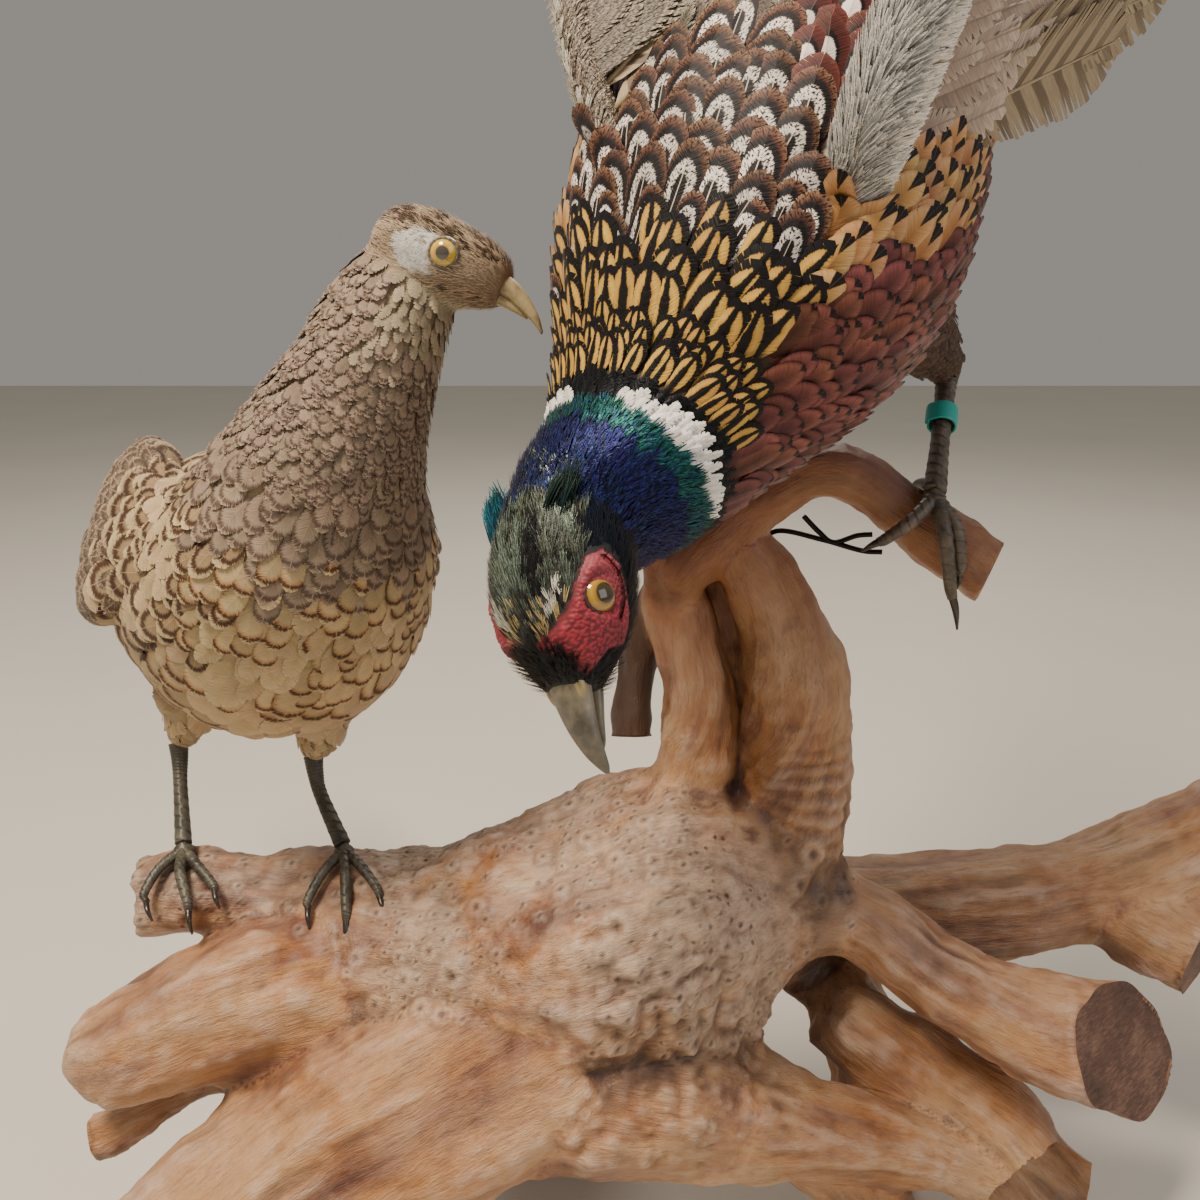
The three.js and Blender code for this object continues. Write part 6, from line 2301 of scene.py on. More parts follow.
    def build(self) -> None:
        """Makes the skin, then each tract and fitting over it."""
        self.body = Loft.spine(list(self.rows), list(self.backs))
        self.head = Loft.head(list(self.head_rows), HEN_AXES)
        self.folded = [Loft.spine(list(w), [out]) for w, out in zip(self.wings, self.wings_out)]
        self.legs = [Loft.limb(list(rows)) for rows in self.thighs]
        self.grow = [
            (0.0, -3.2), (0.1, -self.depth), (0.5, -self.depth), (0.75, -self.neck_depth), (1.0, -1.8)
        ]
        shells = [
            self.body.shell(90, 72, table=self.grow), self.head.shell(50, 48, -self.head_depth),
            *(wing.shell(50, 40, -self.wing_depth) for wing in self.folded),
            *(leg.shell(20, 24, -self.thigh_depth) for leg in self.legs),
            Loft.limb(list(self.nape)).shell(20, 32, -2.0)
        ]
        self.skin = Skin.fuse(self.maker, "hen_skin", shells, 1.6, 3)
        self.paint()
        finish = painted_skin("hen's skin, dry and thin over the body")
        self.maker.dress(self.skin.made, [finish], "hen_plumage", ["hen"])
        self.body_coat()
        self.wing_coat()
        self.tail()
        self.thigh_coat()
        self.head_coat()
        self.fittings()

    def paint(self) -> None:
        """Paints the skin buff below and browner towards the neck and crown."""
        points = self.skin.points
        coat = np.tile(linears(["#ab9570"]), (len(points), 1))
        share = ease(points[:, 2], 340, 430)[:, None]
        coat = coat * (1 - share) + linears(["#8a765e"]) * share
        local = HEN_AXES.local(points)
        pale = inside(HEN_PALE, local[:, 0], local[:, 2]) & (np.abs(local[:, 1]) > 7) & (
            np.abs(local[:, 1]) < 25
        )
        coat[pale] = linear("#cfccc2")
        put_attribute(self.skin.made.data, "Coat", coat)

    def tract(self, t: Array, angle: Array, seed: int) -> Array:
        """Which tract each place on her body belongs to, the edges broken by chance."""
        chance = np.random.default_rng(seed)
        side = off_back(angle) + chance.normal(0, 9, len(t))
        t = t + chance.normal(0, 0.022, len(t))
        plain = chance.uniform(0, 1, len(t)) < 0.12 + 0.5 * ease(side, 95, 140) * ease(-t, -0.66, -0.4)
        rules = [
            ((t > 0.86) & (side > 96), HenTract.THROAT), (t > 0.62, HenTract.NECK),
            (plain | ((t < 0.5) & (side > 146)), HenTract.BELLY), (side < 104, HenTract.SIDE)
        ]
        return first_rule(rules, HenTract.BREAST)

    def body_coat(self) -> None:
        """The body and neck, the feathers smaller up the neck."""
        large = Lay(9.0, 9.6, 27, 15.5, 4.0, stand=0.015, turn=0.2, jitter=0.5)
        middling = Lay(6.2, 6.6, 18, 10.4, 3.0, stand=0.02, turn=0.18, jitter=0.5)
        small = Lay(3.5, 3.6, 11, 5.4, 2.2, stand=0.03, turn=0.22, jitter=0.6, joints=4)
        sizes = (
            ("body", large, (0.06, 0.5), 3.0, Vane(12, gap=0.15, fray=0.1, camber=0.1)),
            ("breast", middling, (0.47, 0.7), 3.0, Vane(10, gap=0.15, fray=0.1, camber=0.1)),
            ("neck", small, (0.67, 0.985), 9.0, Vane(6, gap=0.4, fray=0.15, camber=0.1))
        )
        made = [finish.make() for finish in HEN_FINISHES]
        for i, (part, lay, span, reach, kind) in enumerate(sizes):
            t, angle, roots = lay.rooted(self.skin, self.body, 101 + i, span, self.grow, reach)
            slots = self.tract(t, angle, 105 + i)
            scale = np.where(slots == HenTract.THROAT.value, 0.72, 1.0)
            plumes = lay.plumes(self.skin, roots, -self.body.lie(t, angle), 111 + i, slots, scale)
            self.maker.piece(f"hen_{part}_feathers", plumes.surface(kind, 121 + i), made, "hen_plumage")

    def wing_coat(self) -> None:
        """The folded wings: rows of coverts, the feathers longer towards the tip."""
        made = [HEN_FINISHES[HenTract.WING.value].make()]
        parts = []
        for i, wing in enumerate(self.folded):
            lay = Lay(8.4, 8.0, 26, 13.0, 3.6, stand=0.02, turn=0.08, jitter=0.3)
            t, angle, roots = lay.rooted(self.skin, wing, 131 + i, (0.02, 0.93), -self.wing_depth)
            plumes = lay.plumes(self.skin, roots, wing.lie(t, angle), 133 + i, 0, 0.75 + 0.75 * t)
            parts.append(plumes.surface(Vane(11), 135 + i))
        self.maker.piece("hen_wing_feathers", joined(parts), made, "hen_plumage")

    def tail(self) -> None:
        """Twelve barred tail feathers, the middle ones longest."""
        fan = TailFan(
            self.tail_rows, up=(-0.1, 0.2, 0.97), pairs=6, joints=16, longest=0.99, cut=0.45, power=0.8,
            half=(10.0, 1.5), margin=(9.0, 0.0), least=0.5, inner=0.12, rise=(1.6, 1.6), step=0.6, sag=0.0,
            tilt=0.14, start=0.05
        )
        plumes = fan.plumes()
        kind = Vane(40, bow=0.5, base=0.8, sweep=0.06, gap=0.3, camber=0.15, point=0.8)
        made = [WING_FINISHES["flight"].make()]
        self.maker.piece("hen_tail_feathers", plumes.surface(kind, 141), made, "hen_plumage")
        self.maker.piece("hen_tail_quills", quills(plumes, 0.08), [shaft_finish()], "hen_plumage")

    def thigh_coat(self) -> None:
        """Short buff-brown feathers down to the shanks."""
        lay = Lay(3.6, 3.8, 9, 4.6, 1.8, stand=0.05, turn=0.2, jitter=0.5, joints=4)
        made = lay.limbs(self.skin, self.legs, 143, (0.25, 0.97), -self.thigh_depth, 2.0)
        finish = HEN_FINISHES[HenTract.BELLY.value].make()
        self.maker.piece("hen_thigh_feathers", made, [finish], "hen_plumage")

    def head_coat(self) -> None:
        """Fine tufts: mottled on the crown, buff on the face, pale on the throat and behind the eye."""
        lay = Lay(1.5, 1.5, 5.0, 1.8, 1.3, stand=0.08, turn=0.2, jitter=0.8, joints=3, uneven=0.25)
        t, angle, roots = lay.rooted(self.skin, self.head, 151, (0.03, 0.99), -self.head_depth, 2.5)
        local = HEN_AXES.local(roots)
        f, side, b = local[:, 0], np.abs(local[:, 1]), local[:, 2]
        chance = np.random.default_rng(152).uniform(0, 1, len(f))
        mottle = noise(local * (0.7, 1, 1), 2.6, 9)
        patch = inside(HEN_PALE, f, b) & (side > 7)
        dark = (b > 7) & (mottle > -0.1) | (mottle > 0.62)
        slots = np.select([patch, b < -8.5, dark & (chance < 0.85)], [3, 2, 0], 1)
        keep = ~((np.hypot(f - 6, b - 4.2) < 5.2) & (side > 8))
        scale = np.where(patch, 0.7, 1.0)
        ways = -self.head.lie(t, angle)
        plumes = lay.plumes(self.skin, roots[keep], ways[keep], 153, slots[keep], scale[keep])
        made = [finish.make() for finish in HEN_HEAD_FINISHES]
        self.maker.piece("hen_head_tufts", plumes.surface(Wisp(3), 154, 10), made, "hen_plumage")

    def fittings(self) -> None:
        """Her eyes, lids, bill, legs and claws."""
        glass = [GlassEye.finish("painted glass, amber", "#3c4048 #c39b2a #dfc050 #8a7a58", 0.42, 1.0)]
        eyes, lids = [], []
        for hand in (1, -1):
            out = np.array([0.2, hand, 0.0]) @ HEN_AXES.turn
            ball = GlassEye(HEN_AXES.point(np.array([6, hand * 12.2, 4.2])), out, 5.7)
            eyes.append(ball.surface())
            lids.append(ball.lid(0.6, 1.0))
        self.maker.piece("hen_eyes", joined(eyes), glass, "hen_plumage")
        self.maker.piece(
            "hen_eyelids", joined(lids), [lid_skin("hen's eyelid skin, grey", "#8a8078")], "hen_plumage"
        )
        bill = [
            Loft.head(list(self.upper_bill), HEN_AXES).shell(70, 40),
            Loft.head(list(self.lower_bill), HEN_AXES).shell(50, 36)
        ]
        finish = horn("hen's bill horn, yellowish with a brown ridge", "#a8966c", "#6e5f42", "#c2b388")
        self.maker.piece("hen_bill", joined(bill), [finish], "hen_plumage")
        scutes_finish = scaled_leg("hen's leg scutes, olive-grey", "#5c5748", "#2c2a22")
        parts = [p for foot in self.feet for p in foot.flesh()]
        self.maker.piece("hen_leg_scutes", joined(parts), [scutes_finish], "hen_plumage")
        claws = [c for foot in self.feet for c in foot.claws()]
        self.maker.piece("hen_claws", joined(claws), [claw_finish()], "hen_plumage")


# ---------------------------------------------------------------- the root


# The root's limbs, each a line of (x, y, z, radius).
ROOT_LIMBS: dict[str, tuple] = {
    "burl": (
        (-152, 0, 152, 20), (-110, -6, 150, 34), (-66, -8, 148, 46), (-14, -4, 152, 62), (34, 2, 168, 64),
        (70, 6, 172, 44), (92, 8, 170, 26)
    ),
    "stem_right": (
        (66, 8, 176, 34), (84, 10, 220, 27), (84, 10, 266, 23), (74, 8, 303, 16), (58, 6, 332, 12),
        (42, 8, 347, 10)
    ),
    "stem_left": (
        (32, 4, 196, 30), (40, 8, 232, 18), (42, 10, 265, 14), (34, 12, 298, 13), (28, 12, 326, 11),
        (24, 14, 348, 8)
    ),
    "perch": (
        (30, 6, 318, 12), (48, 4, 338, 12), (70, -1, 357, 11.5), (96, -6, 366, 11), (126, -8, 347, 11),
        (157, -10, 326, 11.5)
    ),
    "stub_hanging": ((26, 24, 312, 10), (18, 26, 282, 9), (14, 22, 243, 9)),
    "leg_front": (
        (-20, -22, 126, 50), (-72, -40, 104, 47), (-135, -58, 73, 43), (-180, -78, 38, 40),
        (-204, -90, 6, 38), (-212, -94, -22, 36)
    ),
    "lobe": (
        (-104, -14, 150, 30), (-146, -26, 142, 31), (-180, -34, 131, 27), (-208, -40, 120, 20),
        (-221, -42, 113, 10)
    ),
    "splinter": (
        (-120, -20, 118, 9), (-150, -22, 105, 8), (-185, -26, 92, 8), (-212, -30, 79, 9.5), (-222, -31, 75, 9)
    ),
    "ridge": (
        (-204, 2, 174, 15), (-184, 4, 176, 18), (-146, 8, 172, 20), (-104, 10, 170, 21), (-58, 14, 170, 24),
        (-20, 14, 174, 32)
    ),
    "arm_flared": (
        (76, 6, 172, 24), (112, 0, 166, 20), (142, -8, 146, 19), (176, -14, 127, 21), (205, -18, 118, 25),
        (229, -21, 112, 28)
    ),
    "arm_forked": (
        (84, 34, 158, 20), (126, 36, 152, 21), (168, 42, 147, 26), (222, 46, 152, 26), (266, 50, 167, 24),
        (308, 55, 187, 21)
    ),
    "arm_stub": ((236, 44, 152, 20), (262, 36, 140, 22), (286, 29, 129, 21)),
    "prop_back": (
        (100, 32, 128, 26), (122, 34, 100, 18), (132, 34, 50, 17), (138, 32, 8, 19), (139, 31, -18, 20)
    ),
    "arm_low": (
        (104, 4, 118, 20), (134, -2, 96, 21), (168, -6, 70, 24), (196, -10, 44, 24), (211, -12, 28, 23)
    ),
    "leg_right": (
        (10, -24, 108, 40), (54, -32, 92, 32), (94, -36, 84, 21), (140, -32, 68, 15), (176, -26, 44, 13),
        (196, -22, 12, 15), (200, -22, -14, 16)
    ),
    "prop_front": ((84, -24, 70, 20), (108, -22, 54, 18), (130, -30, 24, 19), (138, -34, -14, 20)),
    "leg_back": (
        (-10, 30, 142, 46), (-8, 72, 104, 36), (-6, 108, 58, 32), (-4, 128, 10, 34), (-4, 132, -20, 34)
    )
}


@dataclass
class RootStand:
    """The polished tree root: limbs fused into one body of wood, its burl set with knots and pits."""

    maker: Maker
    # wood that fills the angle over the front legs, and between the two stems
    apron: tuple = ((-44, -28, 112, 40), (-6, -36, 108, 38), (26, -38, 102, 35), (56, -34, 92, 28))
    web: tuple = ((60, 16, 186, 28), (62, 19, 216, 19), (61, 23, 244, 12), (58, 25, 275, 8), (47, 20, 330, 6))
    saws: tuple = (  # the limb and the way its sawn face looks
        ("perch", (0.9, -0.4, -0.35)),
        ("stub_hanging", (0.0, -0.3, -1.0)),
        ("splinter", (-1.0, -0.25, -0.2)),
        ("arm_flared", (0.62, -0.72, 0.3)),
        ("arm_forked", (0.9, -0.2, 0.3)),
        ("arm_stub", (0.72, -0.7, -0.2)),
        ("arm_low", (0.5, -0.8, -0.15)),
    )
    saw_reach: tuple = (("stub_hanging", 1.15), ("arm_stub", 1.12))  # radii a cut spans, where wood is near
    voxel: float = 1.8
    knots: int = 560
    rounds: int = 80  # of smoothing, where limbs meet
    knotty: tuple = ("burl", "ridge")
    dark_limbs: tuple = ("stub_hanging",)
    pebbles: tuple = (28, -56, 146)  # the middle of a patch of close round bumps
    wrinkles: tuple = (96, -12, 226)  # and of a patch of folds across a bend

    def build(self) -> None:
        """Fuses the limbs, saws their ends, carves folds and knots, and polishes the wood."""
        self.lofts = {name: Loft.limb([tuple(r) for r in rows]) for name, rows in ROOT_LIMBS.items()}
        self.lofts["web"] = Loft.limb(list(self.web))
        self.lofts["apron"] = Loft.limb(list(self.apron))
        shells = [self.shell(i, name, loft) for i, (name, loft) in enumerate(self.lofts.items())]
        self.skin = Skin.fuse(self.maker, "root_wood", shells, self.voxel, 2)
        self.saw()
        points, normal, face = self.read()
        near = self.field(points)
        self.move(
            self.relax(points, near.meet * ~face * (1 - 0.75 * ease(points[:, 2], 196, 226)), self.rounds)
        )
        points, normal, face = self.read()
        lift, dark = self.carve(points, normal, near)
        held = face | (points[:, 2] < 0.4)
        moved = points + normal * np.where(held, 0.0, lift)[:, None]
        moved[:, 2] = np.maximum(moved[:, 2], 0.0)
        self.move(moved)
        points, normal, face = self.read()
        free = 1.0 - face
        # fine and broad measure how far the wood lies below its smoothed shape; from them comes painted
        # light: painted shade in the hollows, a painted highlight on the crests
        fine, broad = (dot(self.relax(points, free, n) - points, normal)[:, 0] for n in (8, 70))
        paint = {
            "HollowShade": np.clip(ease(fine, 0.05, 0.6) * 0.6 + ease(broad, 0.5, 4.0), 0, 1) * free,
            "CrestHighlight": np.clip(ease(-fine, 0.05, 0.6) * 0.6 + 0.6 * ease(-broad, 0.6, 3.5), 0, 1) * free,
            "Grain": near.grain, "Knot": dark, "CreaseShade": near.crease, "Pale": np.maximum(near.knotty, 0.35),
            "Seam": near.seam
        }
        for name, values in paint.items():
            put_attribute(self.skin.made.data, name, values)
        nodes = [f"root_{name}" for name in ROOT_LIMBS]
        self.maker.dress(self.skin.made, [polished_root(), sawn_root()], "root_wood", nodes)

    def relax(self, points: Array, weight: Array, rounds: int) -> Array:
        """Smooths the wood: each round moves a point 0.6 × its weight towards its neighbours' middle.

        Args:
            points: the wood's points, in millimetres.
            weight: how much each may move, 0 to 1.
            rounds: how often.

        Returns:
            The moved points.
        """
        one, two = fetched(self.skin.made.data.edges, "vertices", 2, np.int32).T
        count = len(points)
        degree = np.maximum(np.bincount(one, minlength=count) + np.bincount(two, minlength=count), 1)
        moved, step = points.copy(), 0.6 * weight[:, None]
        for _ in range(rounds):
            sums = [
                np.bincount(one, moved[two, k], count) + np.bincount(two, moved[one, k], count)
                for k in range(3)
            ]
            moved += step * (np.stack(sums, 1) / degree[:, None] - moved)
        return moved

    def move(self, points: Array) -> None:
        """Puts the wood's points where they belong."""
        mesh = self.skin.made.data
        mesh.vertices.foreach_set("co", self.maker.metres(points).astype(np.float32).ravel())
        mesh.update()

    def ending(self, name: str) -> tuple[Array, Array, float]:
        """The end of a limb: its middle, the way it points and its radius."""
        rows = np.array(ROOT_LIMBS[name], float)
        return rows[-1, :3], unit(rows[-1, :3] - rows[-2, :3]), rows[-1, 3]

    def shell(self, i: int, name: str, loft: Loft) -> Surface:
        """One limb with slow swellings and long folds that turn as they run.

        The radius is 1 + the sum of four sines of the angle and the share along. A limb with an
        oblique saw cut is drawn on past its end by its radius × the tangent of the cut's slant.

        Args:
            i: the limb's number, which shifts the sines.
            name: its name.
            loft: its form.

        Returns:
            The shell.
        """

        def swell(t: Array, a: Array) -> Array:
            """The factor on the radius."""
            slow = 0.05 * (np.sin(3 * a + 9 * t + i) * 0.6 + np.sin(2 * a - 14 * t + 2 * i) * 0.4)
            fold = 0.04 * np.sin(5 * a + 4 * np.sin(3.1 * t + i) + i)
            return 1 + slow + fold + 0.02 * np.sin(9 * a - 7 * t + 1.7 * i)

        face = dict(self.saws).get(name)
        if face:
            end, way, radius = self.ending(name)
            cosine = float(way @ unit(np.array(face)))
            reach = radius * min(math.sqrt(1 - cosine**2) / cosine, 1.55)
            loft = Loft.limb([*ROOT_LIMBS[name], (*(end + way * (reach + 2)), radius)])
        return loft.shell(70, 64, 0.0, swell)

    def saw(self) -> None:
        """Cuts the limbs' ends and all that is under the floor, and closes each cut with a face."""
        made = self.skin.made
        shape = bmesh.new()
        shape.from_mesh(made.data)
        for name, face in self.saws:
            end, way, radius = self.ending(name)
            end = Vector(self.maker.metres(end))
            reach = radius * dict(self.saw_reach).get(name, 1.4) * MM
            way = Vector(way)
            near = []
            for f in shape.faces:
                off = f.calc_center_median() - end
                s = off.dot(way)
                if abs(s) < 1.2 * reach and (off - way * s).length < reach:
                    near.append(f)
            # kept in the order of the faces, so that every run cuts alike
            edges = dict.fromkeys(e for f in near for e in f.edges)
            points = dict.fromkeys(v for f in near for v in f.verts)
            self.cut(shape, [*points, *edges, *near], end, Vector(unit(np.array(face, float))), 1)
        self.cut(shape, [*shape.verts, *shape.edges, *shape.faces], Vector((0, 0, 0)), Vector((0, 0, -1)), 0)
        shape.to_mesh(made.data)
        shape.free()

    @staticmethod
    def cut(shape: bmesh.types.BMesh, parts: list, place: Vector, way: Vector, slot: int) -> None:
        """One flat cut: takes away what lies beyond and closes the hole.

        Args:
            shape: the mesh.
            parts: the vertices, edges and faces to cut.
            place: a point of the cut.
            way: the way the new face looks.
            slot: the new face's material slot.
        """
        done = bmesh.ops.bisect_plane(shape, geom=parts, plane_co=place, plane_no=way, clear_outer=True)
        rim = [e for e in done["geom_cut"] if isinstance(e, bmesh.types.BMEdge)]
        for face in bmesh.ops.holes_fill(shape, edges=rim, sides=0)["faces"]:
            face.material_index = slot
            face.smooth = False

    def read(self) -> tuple[Array, Array, Array]:
        """The sawn wood's points in millimetres, their normals, and whether each is on a sawn face."""
        mesh = self.skin.made.data
        corner = fetched(mesh.loops, "vertex_index", 1, np.int32)[:, 0]
        sizes = fetched(mesh.polygons, "loop_total", 1, np.int32)[:, 0]
        slot = fetched(mesh.polygons, "material_index", 1, np.int32)[:, 0]
        face = np.zeros(len(mesh.vertices), bool)
        face[corner[np.repeat(slot, sizes) == 1]] = True
        return self.maker.read(mesh), fetched(mesh.vertex_normals, "vector", 3), face

    def field(self, points: Array) -> WoodField:
        """Which limbs each point belongs to, and where it lies along and round them.

        Each limb weighs exp(-gap / 7 mm). Where the weights of several add up, two limbs meet. The
        grain's place is read in the heaviest limb: length × 0.14, and the offsets from its middle
        line. A fibre 9 mm wide is then 64 mm long.

        Args:
            points: the wood's points.

        Returns:
            The field.
        """
        count = len(points)
        total, knotty, dusky, best_weight, next_weight = (np.zeros(count) for _ in range(5))
        grain, along = np.zeros((count, 3)), np.zeros(count)
        for number, (name, loft) in enumerate(self.lofts.items()):
            t = np.linspace(0, 1, 90)
            line = curve(loft.centre, t)
            across, back = curve(loft.side, t), curve(loft.up, t)
            radius = np.linalg.norm(across, axis=1)
            ahead = unit(np.gradient(line, axis=0))
            run = run_of(line)
            gap = np.linalg.norm(points[:, None] - line[None], axis=2) - radius[None]
            best = np.argmin(gap, axis=1)
            weight = np.exp(-np.maximum(gap[np.arange(count), best], -2) / 7)
            off = points - line[best]
            s = run[best] + dot(off, ahead[best])[:, 0]
            x, y = dot(off, unit(across[best]))[:, 0], dot(off, unit(back[best]))[:, 0]
            here = np.stack([0.14 * s + 31.0 * number, x, y], 1)
            wins = weight > best_weight
            next_weight = np.where(wins, best_weight, np.maximum(next_weight, weight))
            grain[wins], along[wins] = here[wins], s[wins]
            best_weight = np.maximum(best_weight, weight)
            total += weight
            knotty += weight * (name in self.knotty)
            dusky += weight * (name in self.dark_limbs)
        meet = ease(total, 1.05, 1.4)
        seam = 1 - ease(1 - next_weight / best_weight, 0.0, 0.5)
        return WoodField(knotty / total, grain, along, 0.8 * ease(total, 1.9, 3.2), meet, seam, dusky / total)

    def carve(self, points: Array, normal: Array, near: WoodField) -> tuple[Array, Array]:
        """How far each point moves out, and how dark its knots and hollows are.

        Fibres are ridges, 0.5 - |noise|, on the stretched grain. A knot is a bell of its radius less
        a narrower pit: height exp(-d²/r²) - depth exp(-d²/(0.4 r)²).

        Args:
            points: the wood's points.
            normal: their normals.
            near: the wood's field.

        Returns:
            The lift in millimetres and the darkness, 0 to 1.
        """
        chance = np.random.default_rng(161)
        calm = 1 - 0.6 * ease(noise(points, 60, 8), -0.1, 0.6)
        fibres = 2.2 * (0.35 - np.abs(noise(near.grain, 9, 6))) + 1.1 * (
            0.35 - np.abs(noise(near.grain, 4.4, 7))
        )
        fibres = fibres * (1 - near.seam) * (1 - 0.4 * near.meet)
        close = np.exp(-np.sum((points - np.array(self.pebbles)) ** 2, axis=1) / 46**2)
        lumps = 3.6 * np.abs(noise(points, 19, 11)) + (2.2 + 2.4 * close) * np.abs(
            noise(points, 8.5, 12)
        ) - 1.6
        lift = 2.8 * noise(
            points, 34, 1
        ) + 1.3 * noise(points, 13, 2) + 0.5 * noise(points, 6, 10) + fibres * calm
        lift += lumps * (0.25 + 0.75 * np.maximum(close, 0.5 * near.knotty))
        bend = np.exp(-np.sum((points - np.array(self.wrinkles)) ** 2, axis=1) / 26**2)
        lift += bend * 0.9 * np.sin(near.along * TURN / 6.5 + 2.5 * noise(points, 14, 4))
        dark = np.maximum(0.5 * ease(-fibres * calm, 0.15, 0.9), 0.95 * ease(near.dusky, 0.2, 0.6))
        spots = KDTree(len(points))
        for i, p in enumerate(points):
            spots.insert(p, i)
        spots.balance()
        clumps = noise(points, 40, 5)
        weights = np.maximum(clumps + 0.7, 0.02) ** 2 * (near.knotty > 0.4) * (normal[:, 2] > -0.35)
        self.spread(points, weights, self.knots, chance, spots, lift, dark, 0.4, 0.4)
        self.spread(points, close * (close > 0.2), 150, chance, spots, lift, dark, 0.0, 0.1)
        return lift, dark

    @staticmethod
    def spread(
        points: Array, weights: Array, count: int, chance: np.random.Generator, spots: KDTree, lift: Array,
        dark: Array, pit: float, ring_dark: float
    ) -> None:
        """Raises knots over the wood, none on another.

        Args:
            points: the wood's points.
            weights: how likely a knot is at each.
            count: how many knots at most.
            chance: draws them.
            spots: the points, to look up.
            lift: raised in place.
            dark: darkened in place.
            pit: depth of the knot's pit as a share of its radius, with none for a round bump.
            ring_dark: how dark the hollow round a knot is.
        """
        weights = weights / weights.sum()
        picks = chance.choice(len(points), min(count * 3, int((weights > 0).sum())), replace=False, p=weights)
        taken = np.zeros((0, 4))
        for pick in picks:
            p = points[pick]
            radius = chance.choice([1.8, 2.3, 3.0, 4.2, 6.0], p=[0.34, 0.3, 0.2, 0.12, 0.04])
            apart = np.linalg.norm(taken[:, :3] - p, axis=1) - taken[:, 3]
            if len(taken) >= count or np.any(apart < radius * 0.9):
                continue
            taken = np.vstack([taken, [*p, radius]])
            found = spots.find_range(p, radius * 2.4)
            ids = np.array([f[1] for f in found])
            d = np.array([f[2] for f in found])
            bell = np.exp(-((d / radius) ** 2))
            hole = np.exp(-((d / (0.45 * radius)) ** 2)) * (pit > 0)
            lift[ids] += radius * (0.62 * bell - pit * hole)
            ring = np.exp(-(((d - 1.25 * radius) / (0.4 * radius)) ** 2))
            dark[ids] = np.maximum(dark[ids], np.maximum(0.95 * hole, ring_dark * ring))


@dataclass
class WoodField:
    """What the wood is like at each of its points."""

    knotty: Array  # share of the knotty limbs
    grain: Array  # place with the grain's direction pressed together
    along: Array  # place along the grain, mm
    crease: Array  # 1 deep between limbs, where painted shade darkens the wood
    meet: Array  # 1 where limbs meet
    seam: Array  # 1 where one limb's grain gives way to another's
    dusky: Array  # share of the dark limbs


